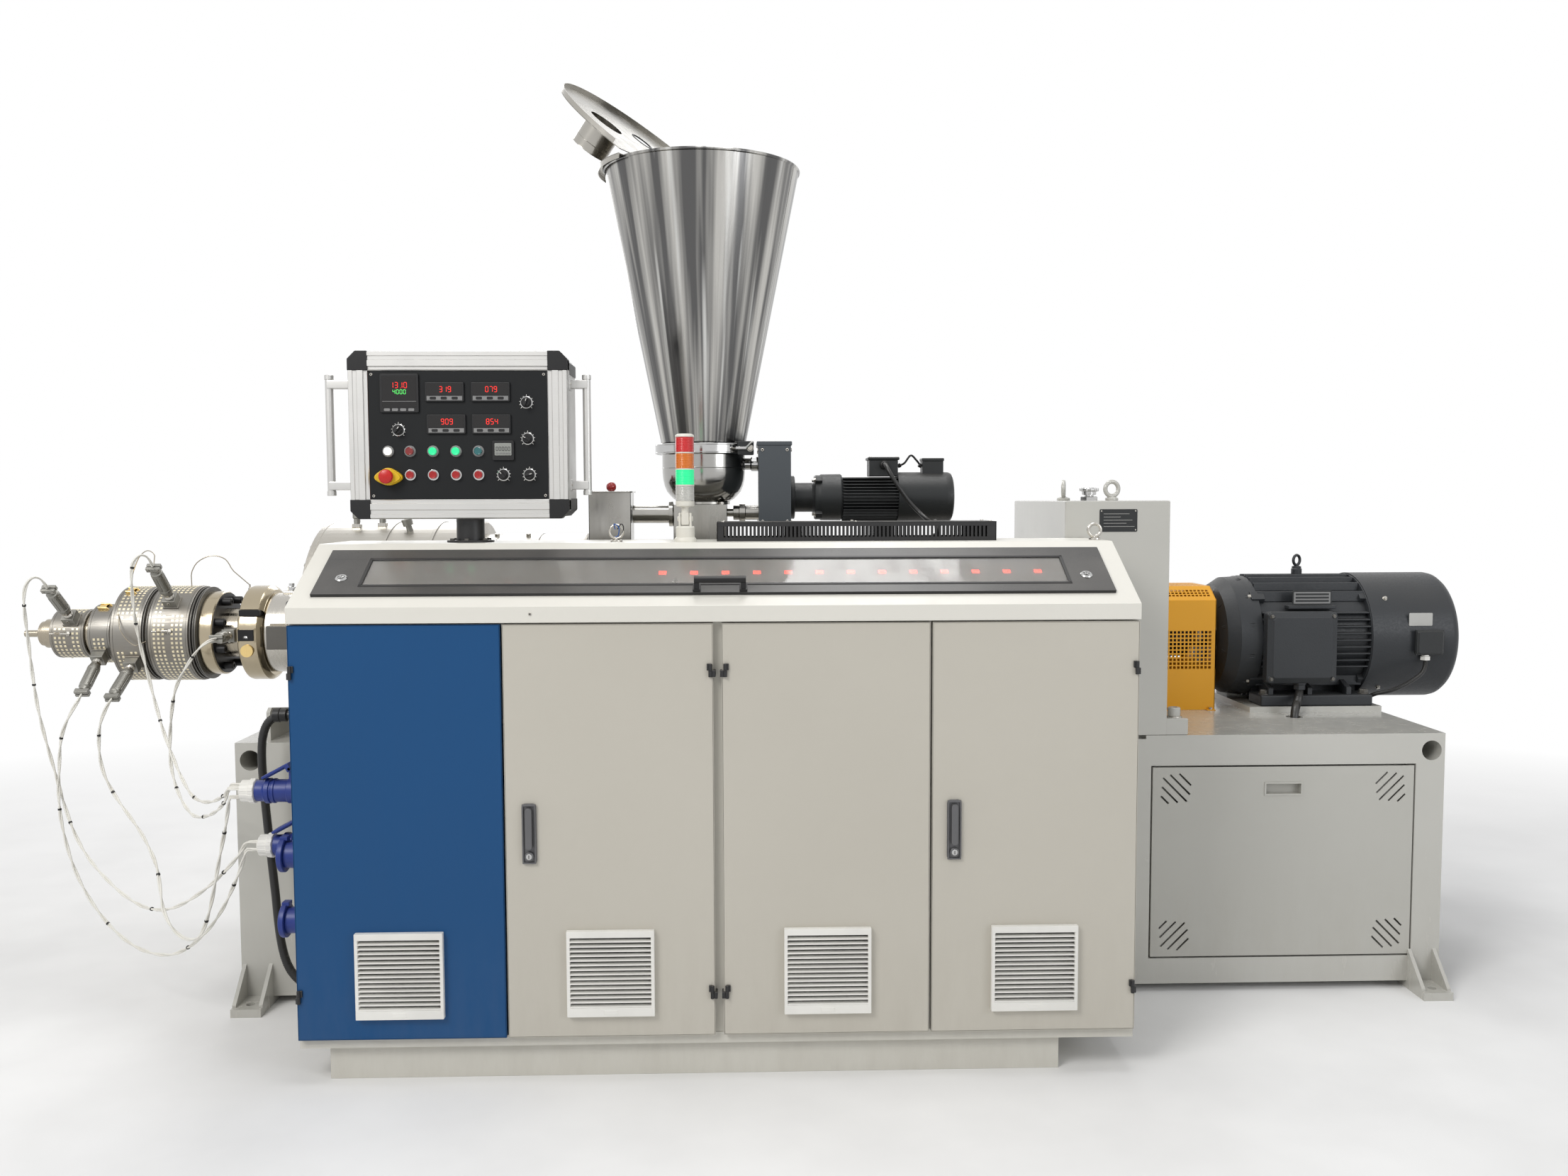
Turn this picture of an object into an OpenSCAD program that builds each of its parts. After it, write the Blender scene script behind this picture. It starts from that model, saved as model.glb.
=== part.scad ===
// Plastic extruder with a conical screw barrel, hopper feeder, drive and control cabinet.
// Lengths are in mm: X runs along the machine, Y away from the operator, Z up from the floor.

/* [Cabinet] */
// Width of one cabinet door
door_w = 483.5; // [440:0.5:484]
// Height of the doors
door_h = 972; // [900:1:972]
// Sheet thickness of the cabinet shell
sheet_t = 3; // [2:0.5:4]
// Side of a square door grille
grille_w = 204; // [180:1:220]
// Number of blades in a door grille
blade_count = 15; // [10:1:16]

/* [Hopper] */
// Outer radius of the hopper at its rim
rim_r = 292; // [285:0.5:292]
// Outer radius of the hopper at its foot
foot_r = 122; // [110:1:124]
// Sheet thickness of the hopper
hopper_t = 2.5; // [1.5:0.5:4]
// How far the lid flap stands open
flap_open = 139; // [100:1:139]

/* [Drive] */
// Radius over the cooling fins of the main motor
motor_r = 192; // [180:1:195]
// Number of cooling fins on each side of the main motor
fin_count = 9; // [6:1:10]

/* [Hidden] */
$fn = 48;
eps = 0.5;

// The whole machine's extents, measured from the left end of the doors and their front face
die_x0 = -1052;
cowl_x1 = 3220;
front_y = -15;
rear_y = 1410;
mid_x = (die_x0 + cowl_x1) / 2;
mid_y = (front_y + rear_y) / 2;

// Base frame
frame_x0 = -327;
frame_x1 = 2974;
frame_y0 = 513;
frame_y1 = 1313;
frame_z0 = 22;
frame_z1 = 718;
pipe_r = 27.5;
pipe_z = 670;
pipe_x = [-287, 2937];
panel_x0 = 2162;
panel_x1 = 2889;
panel_z0 = 98.5;
panel_z1 = 628.5;
panel_gap = 5;
pull_x0 = 2472;
pull_x1 = 2579;
pull_z0 = 548;
pull_z1 = 586;
foot_w = 80;
foot_reach = 97;
foot_hole_r = 11;
foot_x = [-283, 2925];

// Holes where the conduits of the main motor and its fan enter the frame
entry_x = 2672;
entry_y = 797;
entry_r = 24;
entry_deep = 42;
fan_end = [2961, 944];

// Gearbox, barrel and motor lines
line_y = 850;
line_z = 983;
gear_x0 = 1912;
gear_x1 = 2199;
gear_y1 = 1188;
gear_z1 = 1360;
motor_y = 1076;
motor_z = 935;
pad_z = 735;
guard_x1 = 2483;
cowl_x0 = 2943;
motor_body_r = 172;
fin_pitch = 20.5;
eye_x = 2787;

// Die and its split clamp; heater bands as start, end, radius
clamp_x0 = -393;
clamp_x1 = -325;
clamp_r = 137;
bands = [[-948, -852, 70], [-833, -771, 85], [-745, -658, 136], [-640, -528, 137]];

// Heater connectors as x, radius that they stand on, angle from straight up, radius of their end
heater_sets = [[-888, 70, 51, 230], [-805, 85, 129.6, 240], [-688, 136, 121.2, 301],
    [-582, 137, 46.3, 297], [-430, 71, 90, 185]];

// Cabinet
cab_x0 = -2;
cab_x1 = 1966;
cab_y0 = 20;
cab_z0 = 84;
cab_z1 = 1260;
fascia_y = -4;
fascia_z0 = 1086;
fascia_z1 = 1123;
slope_y1 = 250;
slope_a = atan2(cab_z1 - fascia_z1, slope_y1 - fascia_y);
door_z0 = 110;
door_t = 18;
lip_w = 20;
pair_x = 992;
door_pitch = 488.5;
door_x = [0, door_pitch, pair_x, pair_x + door_pitch];
hinge_d = 5;
hinge_z = [199, 958];
hinge_h = 31;
pin_x = [5, 965.5, 1000, pair_x + door_pitch + door_w - 6];
grille_z0 = 162;
grille_x = [138, 627, 1134, 1621];
grille_t = 15;
lock_x = [527, 1515.5];
lock_z0 = 524;
lock_w = 34;
lock_h = 142;

// Control box
post_x = 345.5;
post_y = 365;
box_x0 = 61;
box_x1 = 606;
box_y0 = 300;
box_y1 = 500;
box_z0 = 1320;
box_z1 = 1738;
box_cut = 20;

// Hopper and feeder
hop_x = 926;
feed_y = 800;
feed_z = 1372;
bowl_z = 1360;
flange_r = 136;
slot_count = 66;
hop_z1 = 2310;
lid_z = 2313;
lid_r = 297;
lid_t = 2;
lid_skirt = 15;
flap_turn = 63.5;
flap_off = 104;
flap_gap = 6;
flap_axis_z = 4;

// Moves the drawing frame's origin to the middle of the machine's footprint
module placed() translate([-mid_x, -mid_y, 0]) children();

// A box given by its low and high corners
module block(lo, hi) translate(lo) cube(hi - lo);

// A cylinder along X from x0 to x1
module rod_x(x0, x1, y, z, r) translate([x0, y, z]) rotate([0, 90, 0]) cylinder(h = x1 - x0, r = r);

// A cylinder along Y from y0 to y1
module rod_y(y0, y1, x, z, r) translate([x, y0, z]) rotate([-90, 0, 0]) cylinder(h = y1 - y0, r = r);

// A solid of revolution about a line along X, from a profile of x and radius
module turned_x(y, z) translate([0, y, z]) rotate([0, 90, 0]) rotate_extrude() children();

// A profile in Y and Z drawn along X
module drawn_x(x0, x1) translate([x0, 0, 0]) rotate([90, 0, 90])
    linear_extrude(height = x1 - x0) children();

// A cord swept along its route, with one ring of corners at each point of the smoothed route.
// The first and last stretches stay straight, as the cord leaves its plug or gland.
function midway(p, i) = (9 * (p[i] + p[i + 1]) - p[i - 1] - p[i + 2]) / 16;
function smooth(p) = [for (i = [0:len(p) - 1], k = [0, 1])
    if (k == 0 || (i > 0 && i < len(p) - 2)) k == 0 ? p[i] : midway(p, i)];
function unit(v) = v / norm(v);
function heading(p, i) = unit(p[min(i + 1, len(p) - 1)] - p[max(i - 1, 0)]);
function ring_point(p, i, r, a) =
    let (t = heading(p, i), side = unit(cross(t, [0.5, 1, 0])), up = cross(t, side))
    p[i] + r * (cos(a) * side + sin(a) * up);
module cord(route, r, sides) {
    p = smooth(route);
    n = len(p);
    polyhedron(
        points = [for (i = [0:n - 1], k = [0:sides - 1]) ring_point(p, i, r, 360 * k / sides)],
        faces = concat(
            [[for (k = [0:sides - 1]) k]],
            [[for (k = [sides - 1:-1:0]) (n - 1) * sides + k]],
            [for (i = [0:n - 2], k = [0:sides - 1])
                [i * sides + k, (i + 1) * sides + k, i * sides + (k + 1) % sides]],
            [for (i = [0:n - 2], k = [0:sides - 1])
                [(i + 1) * sides + k, (i + 1) * sides + (k + 1) % sides, i * sides + (k + 1) % sides]]));
}

// A box with its four edges along Y rounded
module soft_block_y(lo, hi, r) difference() {
    block(lo, hi);
    for (x = [lo[0], hi[0]], z = [lo[2], hi[2]])
        translate([x, 0, z]) difference() {
            block([-r, lo[1] - 1, -r], [r, hi[1] + 1, r]);
            rod_y(lo[1] - 2, hi[1] + 2, x == lo[0] ? r : -r, z == lo[2] ? r : -r, r);
        }
}

// The slots in one corner of the base panel, cut at 45 degrees
slot_len = [30, 62, 94, 78, 46];
module corner_slots(y, t, fx, fz) {
    cx = fx > 0 ? panel_x0 : panel_x1;
    cz = fz > 0 ? panel_z0 : panel_z1;
    for (i = [0:4])
        translate([cx + fx * (34 + 14 * i), y - 1, cz + fz * (34 + 14 * (4 - i))])
            rotate([0, fx * fz > 0 ? -45 : 45, 0])
                block([-slot_len[i] / 2, 0, -2.5], [slot_len[i] / 2, t + 2, 2.5]);
}

module base_frame() placed() color("gainsboro") difference() {
    union() {
        block([frame_x0, frame_y0, frame_z0], [frame_x1, frame_y1, frame_z1]);
        block([2570, 878, frame_z1 - eps], [frame_x1, 1274, pad_z]);
        drawn_x(-252, -242)
            polygon([[545, frame_z1 - eps], [545, 795], [560, 806], [760, 775], [760, frame_z1 - eps]]);
    }
    block([panel_x0 - panel_gap, frame_y0 - 1, panel_z0 - panel_gap],
        [panel_x1 + panel_gap, frame_y0 + 40, panel_z1 + panel_gap]);
    for (x = pipe_x) rod_y(frame_y0 - 1, frame_y1 + 1, x, pipe_z, pipe_r);
    translate([entry_x, entry_y, frame_z1 - entry_deep]) cylinder(h = entry_deep + 1, r = entry_r);
    block([2118, frame_y0 - 1, frame_z1 - 10], [2142, frame_y0 + 25, frame_z1 + 1]);
    translate([fan_end[0], fan_end[1], pad_z - 12]) cylinder(h = 13, r = 9);
}

module anchor_feet() placed() color("gainsboro")
    for (x = foot_x, side = [0, 1]) {
        face = side == 0 ? frame_y0 : frame_y1;
        dir = side == 0 ? -1 : 1;
        difference() {
            union() {
                translate([x - foot_w / 2, min(face + dir * foot_reach, face - dir * 100), 0])
                    cube([foot_w, foot_reach + 100, frame_z0]);
                for (k = [-1, 1])
                    drawn_x(x + k * (foot_w / 2 - 5) - 5, x + k * (foot_w / 2 - 5) + 5)
                        polygon([[face, frame_z0 - eps], [face + dir * (foot_reach - 14), frame_z0 - eps],
                            [face + dir * (foot_reach - 14), frame_z0 + 6], [face, 112]]);
            }
            translate([x, face + dir * 60, -1]) cylinder(h = frame_z0 + 2, r = foot_hole_r);
        }
    }

module base_panel() placed() color("silver") {
    difference() {
        union() {
            block([panel_x0, frame_y0, panel_z0], [panel_x1, frame_y0 + 3, panel_z1]);
            for (x = [panel_x0, panel_x1 - 12])
                block([x, frame_y0 + 3 - eps, panel_z0], [x + 12, frame_y0 + 40, panel_z1]);
        }
        for (fx = [-1, 1], fz = [-1, 1]) corner_slots(frame_y0, 3, fx, fz);
        block([pull_x0 + 4, frame_y0 - 1, pull_z0 + 4], [pull_x1 - 4, frame_y0 + 5, pull_z1 - 4]);
    }
    difference() {
        block([pull_x0, frame_y0 - 2, pull_z0], [pull_x1, frame_y0 + 22, pull_z1]);
        block([pull_x0 + 5, frame_y0 - 3, pull_z0 + 5], [pull_x1 - 5, frame_y0 + 19, pull_z1 - 5]);
    }
}

module gearbox() placed() color("gainsboro") {
    block([gear_x0, frame_y0, frame_z1], [gear_x1, gear_y1, gear_z1]);
    for (x = [gear_x0 - 59, gear_x1], y = [frame_y0, gear_y1 - 77])
        difference() {
            block([x, y, frame_z1], [x + 59, y + 77, 764.5]);
            translate([x + 29, y + 32, 750]) cylinder(h = 20, r = 12);
        }
    for (x = [gear_x0 - 30, gear_x1 + 29], y = [frame_y0 + 32, gear_y1 - 45])
        translate([x, y, 750]) cylinder(h = 35, r = 11.5);
}

module breather_caps() placed() color("silver")
    for (p = [[2040, 760], [2074, 880]]) translate([p[0], p[1], gear_z1]) {
        cylinder(h = 12, r = 24, $fn = 6);
        translate([0, 0, 12 - eps]) cylinder(h = 16, r = 19);
        translate([0, 0, 27]) cylinder(h = 11, r = 25);
    }

// Lifting eye: collar and ring, turned about its own axis
module lifting_eye(p, ring_r, wire_r, turn) translate(p) rotate([0, 0, turn]) {
    cylinder(h = wire_r * 1.4, r = ring_r * 0.9);
    translate([0, 0, wire_r * 1.4 - eps]) cylinder(h = ring_r * 0.5, r1 = ring_r * 0.75, r2 = wire_r);
    translate([0, 0, wire_r * 1.4 + ring_r * 1.2]) rotate([90, 0, 0])
        rotate_extrude() translate([ring_r, 0]) circle(r = wire_r, $fn = 16);
}

module lifting_eyes() placed() color("silver") {
    lifting_eye([1988, 850, gear_z1], 21, 6.5, 75);
    lifting_eye([2132, 850, gear_z1], 21, 6.5, 12);
    lifting_eye([1948, 350, cab_z1], 16, 4, 0);
    lifting_eye([eye_x, motor_y, motor_z + motor_r + 18], 15.5, 4.5, 30);
}

module coupling_guard() placed() color("gold") difference() {
    drawn_x(gear_x1, guard_x1) polygon([[936, frame_z1], [936, 1055], [996, 1095], [1156, 1095],
        [1216, 1055], [1216, frame_z1]]);
    drawn_x(gear_x1 - 1, 2481) polygon([[938, frame_z1 - 1], [938, 1054], [996.6, 1093],
        [1155.4, 1093], [1214, 1054], [1214, frame_z1 - 1]]);
    rod_x(2478, 2490, motor_y, motor_z, 90);
}

// Cooling fins on both sides and stepped ribs along the top, between x0 and x1
module motor_fins(x0, x1) intersection() {
    rod_x(x0, x1, motor_y, motor_z, motor_r);
    union() {
        for (i = [0:fin_count - 1], k = [-1, 1]) {
            z = motor_z + (i - (fin_count - 1) / 2) * fin_pitch;
            block([x0, motor_y + min(0, k * motor_r), z - 2.5],
                [x1, motor_y + max(0, k * motor_r), z + 2.5]);
        }
        for (y = [-126, -90, -54, -18, 18, 54, 90, 126])
            block([x0, motor_y + y - 5, motor_z], [x1, motor_y + y + 5, motor_z + motor_r]);
    }
}

// One foot rail of the main motor with its two slanted braces, on side k
module motor_foot(k) {
    drawn_x(2607, 2950) polygon([[motor_y + k * 191, pad_z], [motor_y + k * 191, pad_z + 22],
        [motor_y + k * 110, pad_z + 34], [motor_y + k * 90, pad_z]]);
    for (x = [2640, 2760, 2880])
        drawn_x(x, x + 12) polygon([[motor_y + k * 172, pad_z + 20], [motor_y + k * 124, motor_z - 118],
            [motor_y + k * 96, motor_z - 140], [motor_y + k * 100, pad_z + 20]]);
}

module main_motor() placed() color("dimgray") {
    difference() {
        union() {
            turned_x(motor_y, motor_z) polygon([[0, guard_x1], [72, guard_x1], [80, 2492], [132, 2500],
                [162, 2514], [181, 2546], [motor_r - 6, 2590], [motor_r - 6, 2612], [motor_body_r, 2618],
                [motor_body_r, cowl_x0], [0, cowl_x0]]);
            motor_fins(2612, cowl_x0);
            rod_x(gear_x1, guard_x1 + eps, motor_y, motor_z, 37.5);
            block([2618, motor_y - 60, motor_z - 150], [cowl_x0, motor_y + 60, motor_z - 100]);
            for (a = [45:90:315]) translate([0, motor_y, motor_z]) rotate([a, 0, 0])
                block([2590, -16, motor_r - 12], [2630, 16, motor_r - 1]);
            translate([eye_x, motor_y, motor_z + motor_body_r - 4])
                cylinder(h = motor_r - motor_body_r + 22, r = 15);
            rod_x(cowl_x0 - eps, cowl_x0 + 16, motor_y, motor_z, motor_r);
        }
        block([2640, motor_y - 200, 830], [2800, 912, 1003]);
        block([2608, motor_y - 200, 805], [2828, 891, 1028]);
    }
    for (k = [-1, 1]) motor_foot(k);
}

// Fan cowl, open towards the motor, with a rounded rear rim
module motor_cowl() placed() color("dimgray") turned_x(motor_y, motor_z)
    polygon([[motor_r + 3, cowl_x0 + 2], [motor_r + 3, cowl_x1 - 22], [motor_r - 3, cowl_x1 - 6],
        [motor_r - 18, cowl_x1], [0, cowl_x1], [0, cowl_x1 - 4], [motor_r - 20, cowl_x1 - 4],
        [motor_r - 6, cowl_x1 - 10], [motor_r + 0.3, cowl_x1 - 24], [motor_r + 0.3, cowl_x0 + 2]]);

// A tapered lid with its large face at the back, in X and Z
module lid_y(lo, hi, y, t) translate([(lo[0] + hi[0]) / 2, y, (lo[1] + hi[1]) / 2]) rotate([90, 0, 0])
    linear_extrude(height = t, scale = 0.84) square([hi[0] - lo[0], hi[1] - lo[1]], center = true);

module motor_boxes() placed() color("dimgray") {
    block([2640, 888, 830], [2800, 912, 1003]);
    soft_block_y([2611, 862, 809], [2824, 890, 1024], 10);
    lid_y([2624, 822], [2811, 1011], 862 + eps, 12);
    difference() {
        soft_block_y([3068, 866, 891], [3154, 960, 968], 8);
        rod_x(3060, 3160, motor_y, motor_z, motor_r + 3);
    }
    lid_y([3074, 897], [3148, 962], 866 + eps, 7);
    cord(fan_route, 6.5, 8);
}

module barrel() placed() color("silver") {
    rod_x(clamp_x1, 300, line_y, line_z, 115);
    rod_x(300 - eps, gear_x0, line_y, line_z, 150);
    block([-311, 718, 946], [-240, 760, 1013]);
    translate([-280, line_y, line_z + 110]) cylinder(h = 24, r = 13);
    translate([-280, line_y, line_z + 130]) cylinder(h = 12, r = 8);
}

module barrel_cover() placed() color("lightgray") difference() {
    turned_x(line_y, line_z)
        polygon([[117, -160], [320, -160], [320, 290], [284, 290], [284, 590], [151, 590], [151, 587],
            [281, 587], [281, 287], [317, 287], [317, -157], [117, -157]]);
    block([-200, line_y - 400, 600], [620, line_y + 400, frame_z1]);
}

module barrel_support() placed() color("dimgray") difference() {
    union() {
        block([-220, 720, frame_z1], [-170, 980, line_z]);
        block([1560, 680, frame_z1], [1660, 1020, line_z]);
    }
    rod_x(-300, -100, line_y, line_z, 115);
    rod_x(1550, 1670, line_y, line_z, 150);
}

// Split clamp round the joint of die and barrel, with its wedge gap, bolt window and spanner hole
module clamp_flange() placed() color("darkkhaki") difference() {
    turned_x(line_y, line_z) polygon([[71, clamp_x0], [clamp_r - 9, clamp_x0], [clamp_r, clamp_x0 + 10],
        [clamp_r, clamp_x1 - 12], [clamp_r - 12, clamp_x1], [71, clamp_x1]]);
    for (k = [-1, 1])
        block([clamp_x0 - 1, line_y + k * 115 - 35, line_z + 57],
            [clamp_x1 + 1, line_y + k * 115 + 35, line_z + 75]);
    rod_y(line_y - clamp_r - 5, line_y - 95, -364, line_z - 40, 17.5);
    block([-385, line_y - clamp_r - 5, line_z - 11], [-343, line_y - 105, line_z + 20]);
}

// Stepped die with its mandrel pin, cover rings and the ring of bolts behind its flange
module die_body() placed() color("darkkhaki") {
    turned_x(line_y, line_z)
        polygon([[0, die_x0], [10, die_x0], [10, -1001], [36, -1001], [42, -995], [42, -950], [65, -948],
            [65, -852], [62, -850], [62, -835], [80, -833], [80, -771], [84, -769], [84, -747], [131, -745],
            [131, -658], [124, -656], [124, -642], [132, -640], [132, -528], [131, -526], [131, -521],
            [125, -520], [125, -516], [131, -515], [131, -507], [121, -506], [121, -467], [71, -467],
            [71, clamp_x1], [0, clamp_x1]]);
    for (i = [0:7]) translate([0, line_y, line_z]) rotate([22.5 + 45 * i, 0, 0])
        rod_x(-467 - eps, -438, 0, 100, 11);
}

module heater_bands() placed() color("silver")
    for (b = bands)
        turned_x(line_y, line_z)
            polygon([[b[2] - 5, b[0]], [b[2], b[0]], [b[2], b[1]], [b[2] - 5, b[1]]]);

// Puts a piece that stands on a band at x, turned by a from straight up round the die's axis
module on_band(x, a) translate([x, line_y, line_z]) rotate([a, 0, 0]) children();
function band_point(x, a, r) = [x, line_y - r * sin(a), line_z + r * cos(a)];

// Heater connector: terminal block shaped to the band, threaded neck, and the plug with its clamp
module heater_plug(h) on_band(h[0], h[2]) {
    r = h[1];
    end = h[3];
    difference() {
        block([-19, -19, r - 10], [19, 19, r + 28]);
        rod_x(-30, 30, 0, 0, r);
    }
    translate([0, 0, r + 28 - eps]) cylinder(h = 18, r = 12, $fn = 24);
    translate([0, 0, r + 45]) cylinder(h = 12, r1 = 14, r2 = 17, $fn = 24);
    translate([0, 0, r + 57 - eps]) cylinder(h = end - r - 79, r = 17, $fn = 24);
    translate([0, 0, end - 23]) cylinder(h = 9, r = 13, $fn = 24);
    translate([-19, -11, end - 15]) cube([38, 22, 15]);
}

module heater_plugs() placed() color("silver") for (h = heater_sets) heater_plug(h);

// Outline of the cabinet's section, drawn in by t
function cabinet_outline(t) = [[cab_y0 + t, cab_z0 + t], [cab_y0 + t, fascia_z0 + t],
    [fascia_y + t, fascia_z0 + t], [fascia_y + t, fascia_z1 - t * 0.25],
    [slope_y1 + t * 0.25, cab_z1 - t], [frame_y0 - t, cab_z1 - t], [frame_y0 - t, cab_z0 + t]];

module cabinet() placed() color("ivory") {
    difference() {
        drawn_x(cab_x0, cab_x1) polygon(cabinet_outline(0));
        drawn_x(cab_x0 + sheet_t, cab_x1 - sheet_t) polygon(cabinet_outline(sheet_t));
        for (x = [door_x[0], door_x[2]])
            block([x + lip_w, cab_y0 - 1, door_z0 + lip_w],
                [x + door_pitch + door_w - lip_w, cab_y0 + 10, door_z0 + door_h - lip_w]);
    }
    block([60, frame_y0 - 30, 150], [1900, frame_y0 - sheet_t + eps, 1050]);
}

module cabinet_plinth() placed() color("ivory") block([60, 40, 0], [1794, 480, cab_z0]);

// Puts a flat piece on the sloping top: local x along the machine, y up the slope, z off its face
module on_slope() translate([0, fascia_y, fascia_z1]) rotate([slope_a, 0, 0]) children();

module window_frame() placed() color("black") on_slope() difference() {
    block([44, 45, 0], [1917, 246, 8]);
    block([150, 82, -1], [1815, 200, 9]);
}

module window_glass() placed() color("dimgray") on_slope() block([150, 82, 0], [1815, 200, 5]);

module window_handle() placed() color("black") on_slope() {
    for (x = [927, 1036]) block([x, 50, 8], [x + 14, 64, 40]);
    block([927, 50, 30], [1050, 64, 42]);
    for (x = [98.5, 1861]) translate([x, 114.5, 8]) cylinder(h = 5, r = 13);
}

// Fixed half of a door hinge: a knuckle on the pin and an arm back to the cabinet
module hinge_fixed(x, side, z) {
    half = hinge_h / 2 - 0.4;
    arm = x + side * 13;
    translate([x, -hinge_d, z]) difference() {
        cylinder(h = half, r = 4.5);
        translate([0, 0, -1]) cylinder(h = hinge_h, r = 2.5);
    }
    block([min(x + side * 4, arm), -hinge_d - 4, z], [max(x + side * 4, arm), -hinge_d, z + half]);
    block([min(x + side * 8, arm), -hinge_d - 4, z], [max(x + side * 8, arm), cab_y0, z + half]);
    translate([x, -hinge_d, z]) cylinder(h = hinge_h, r = 2.45);
}

module hinge_blocks() placed() color("black")
    for (z = hinge_z) {
        hinge_fixed(pin_x[0], -1, z);
        hinge_fixed(pin_x[1], 1, z);
        hinge_fixed(pin_x[2], -1, z);
        hinge_fixed(pin_x[3], 1, z);
    }

// One cabinet door: a folded sheet pan with its moving hinge halves and a cut-out for the grille
module door(i, side) placed() {
    x = door_x[i];
    difference() {
        block([x, 0, door_z0], [x + door_w, door_t, door_z0 + door_h]);
        block([x + sheet_t, sheet_t, door_z0 + sheet_t],
            [x + door_w - sheet_t, door_t + 1, door_z0 + door_h - sheet_t]);
        block([grille_x[i] + 14, -1, grille_z0 + 14],
            [grille_x[i] + grille_w - 14, sheet_t + 1, grille_z0 + grille_w - 14]);
    }
    for (z = hinge_z)
        difference() {
            union() {
                translate([pin_x[i], -hinge_d, z + hinge_h / 2]) cylinder(h = hinge_h / 2, r = 4.5);
                block([min(pin_x[i], pin_x[i] - side * 8), -hinge_d, z + hinge_h / 2],
                    [max(pin_x[i], pin_x[i] - side * 8), eps, z + hinge_h]);
            }
            translate([pin_x[i], -hinge_d, z]) cylinder(h = hinge_h + 1, r = 2.5);
        }
}
module door_a() color("royalblue") door(0, -1);
module door_b() color("silver") door(1, 1);
module door_c() color("silver") door(2, -1);
module door_d() color("silver") door(3, 1);

// Louvred filter grille: a frame with sloping blades drawn across it
blade_z0 = 22;
blade_z1 = grille_w - 16;
blade_pitch = (blade_z1 - blade_z0) / blade_count;
module grille(x) placed() color("white") translate([x, -grille_t, grille_z0]) {
    difference() {
        block([0, 0, 0], [grille_w, grille_t, grille_w]);
        block([8, -1, blade_z0], [grille_w - 8, grille_t + 1, blade_z1]);
    }
    for (i = [0:blade_count - 1])
        drawn_x(8 - eps, grille_w - 8 + eps)
            translate([0, blade_z0 + i * blade_pitch + 0.5])
                polygon([[1, 0], [grille_t - 1, 7], [grille_t - 1, 9], [1, 3]]);
}
module grille_a() grille(grille_x[0]);
module grille_b() grille(grille_x[1]);
module grille_c() grille(grille_x[2]);
module grille_d() grille(grille_x[3]);

// Swing-handle lock: dished base plate, lever and key cylinder
module door_lock(x) placed() color("dimgray") translate([x, 0, lock_z0]) {
    soft_block_y([0, -8, 0], [lock_w, 0, lock_h], 8);
    soft_block_y([7, -16, 34], [27, -8 + eps, lock_h - 10], 6);
    rod_y(-13, -8 + eps, lock_w / 2, 19, 10);
}
module lock_b() door_lock(lock_x[0]);
module lock_d() door_lock(lock_x[1]);

module control_post() placed() color("black") translate([post_x, post_y, cab_z1]) {
    cylinder(h = 5, r = 59);
    cylinder(h = box_z0 - cab_z1 - 1, r = 35);
}

// Front frame with cut corners, and the shell behind it
module control_box() placed() color("lightgray") difference() {
    union() {
        translate([0, box_y0 + 34, 0]) rotate([90, 0, 0]) linear_extrude(height = 34)
            polygon([[box_x0 + box_cut, box_z0], [box_x1 - box_cut, box_z0], [box_x1, box_z0 + box_cut],
                [box_x1, box_z1 - box_cut], [box_x1 - box_cut, box_z1], [box_x0 + box_cut, box_z1],
                [box_x0, box_z1 - box_cut], [box_x0, box_z0 + box_cut]]);
        soft_block_y([box_x0 + 7, box_y0 + 34 - eps, box_z0 + 7], [box_x1 - 7, box_y1, box_z1 - 7], 22);
    }
    block([109, box_y0 - 1, 1369], [555, box_y0 + 12, 1689]);
}

module control_panel() placed() color("black")
    block([109.5, box_y0 + 8, 1369.5], [554.5, box_y0 + 12, 1688.5]);

module control_handles() placed() color("silver")
    for (k = [0, 1]) {
        x = k == 0 ? -2 : 646;
        face = k == 0 ? box_x0 + 7 : box_x1 - 7;
        translate([x, 360, 1383]) cylinder(h = 296, r = 10);
        for (z = [1395, 1650])
            block([min(x, face), 350, z], [max(x, face), 370, z + 18]);
    }

// Instruments: meters as x, z, width, height; buttons as x, z, radius, depth
meters = [[140, 1585, 96, 96], [252, 1612, 96, 48], [366, 1612, 96, 48], [255, 1532, 96, 48],
    [367, 1532, 96, 48], [416, 1466, 54, 49]];
button_x = [157, 211, 268, 325, 381];
pots = [[183, 1542], [442, 1430], [502, 1610], [504, 1520], [507, 1430]];
buttons = concat([for (x = button_x) [x, 1489, 11, 16]],
    [for (x = [211, 268, 325, 381]) [x, 1430, 11, 16]], [for (p = pots) [p[0], p[1], 12, 24]],
    [[150, 1430, 20, 34]]);
module panel_instruments() placed() color("dimgray") {
    for (m = meters) block([m[0], box_y0 + 2, m[1]], [m[0] + m[2], box_y0 + 8, m[1] + m[3]]);
    for (b = buttons) rod_y(box_y0 + 8 - b[3], box_y0 + 8, b[0], b[1], b[2]);
}

module signal_stem() placed() color("ivory") translate([895, 330, 0]) {
    translate([0, 0, cab_z1]) cylinder(h = 10, r = 28.5);
    translate([0, 0, cab_z1 + 10 - eps]) cylinder(h = 30, r = 24);
    translate([-16.5, -10, 1299]) cube([33, 20, 35]);
    translate([0, 0, 1334 - eps]) cylinder(h = 16.5, r = 9.5);
}

module signal_lenses() placed() color("red") translate([895, 330, 1350]) {
    cylinder(h = 176, r = 24);
    translate([0, 0, 176 - eps]) cylinder(h = 7, r1 = 24, r2 = 18);
}

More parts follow.
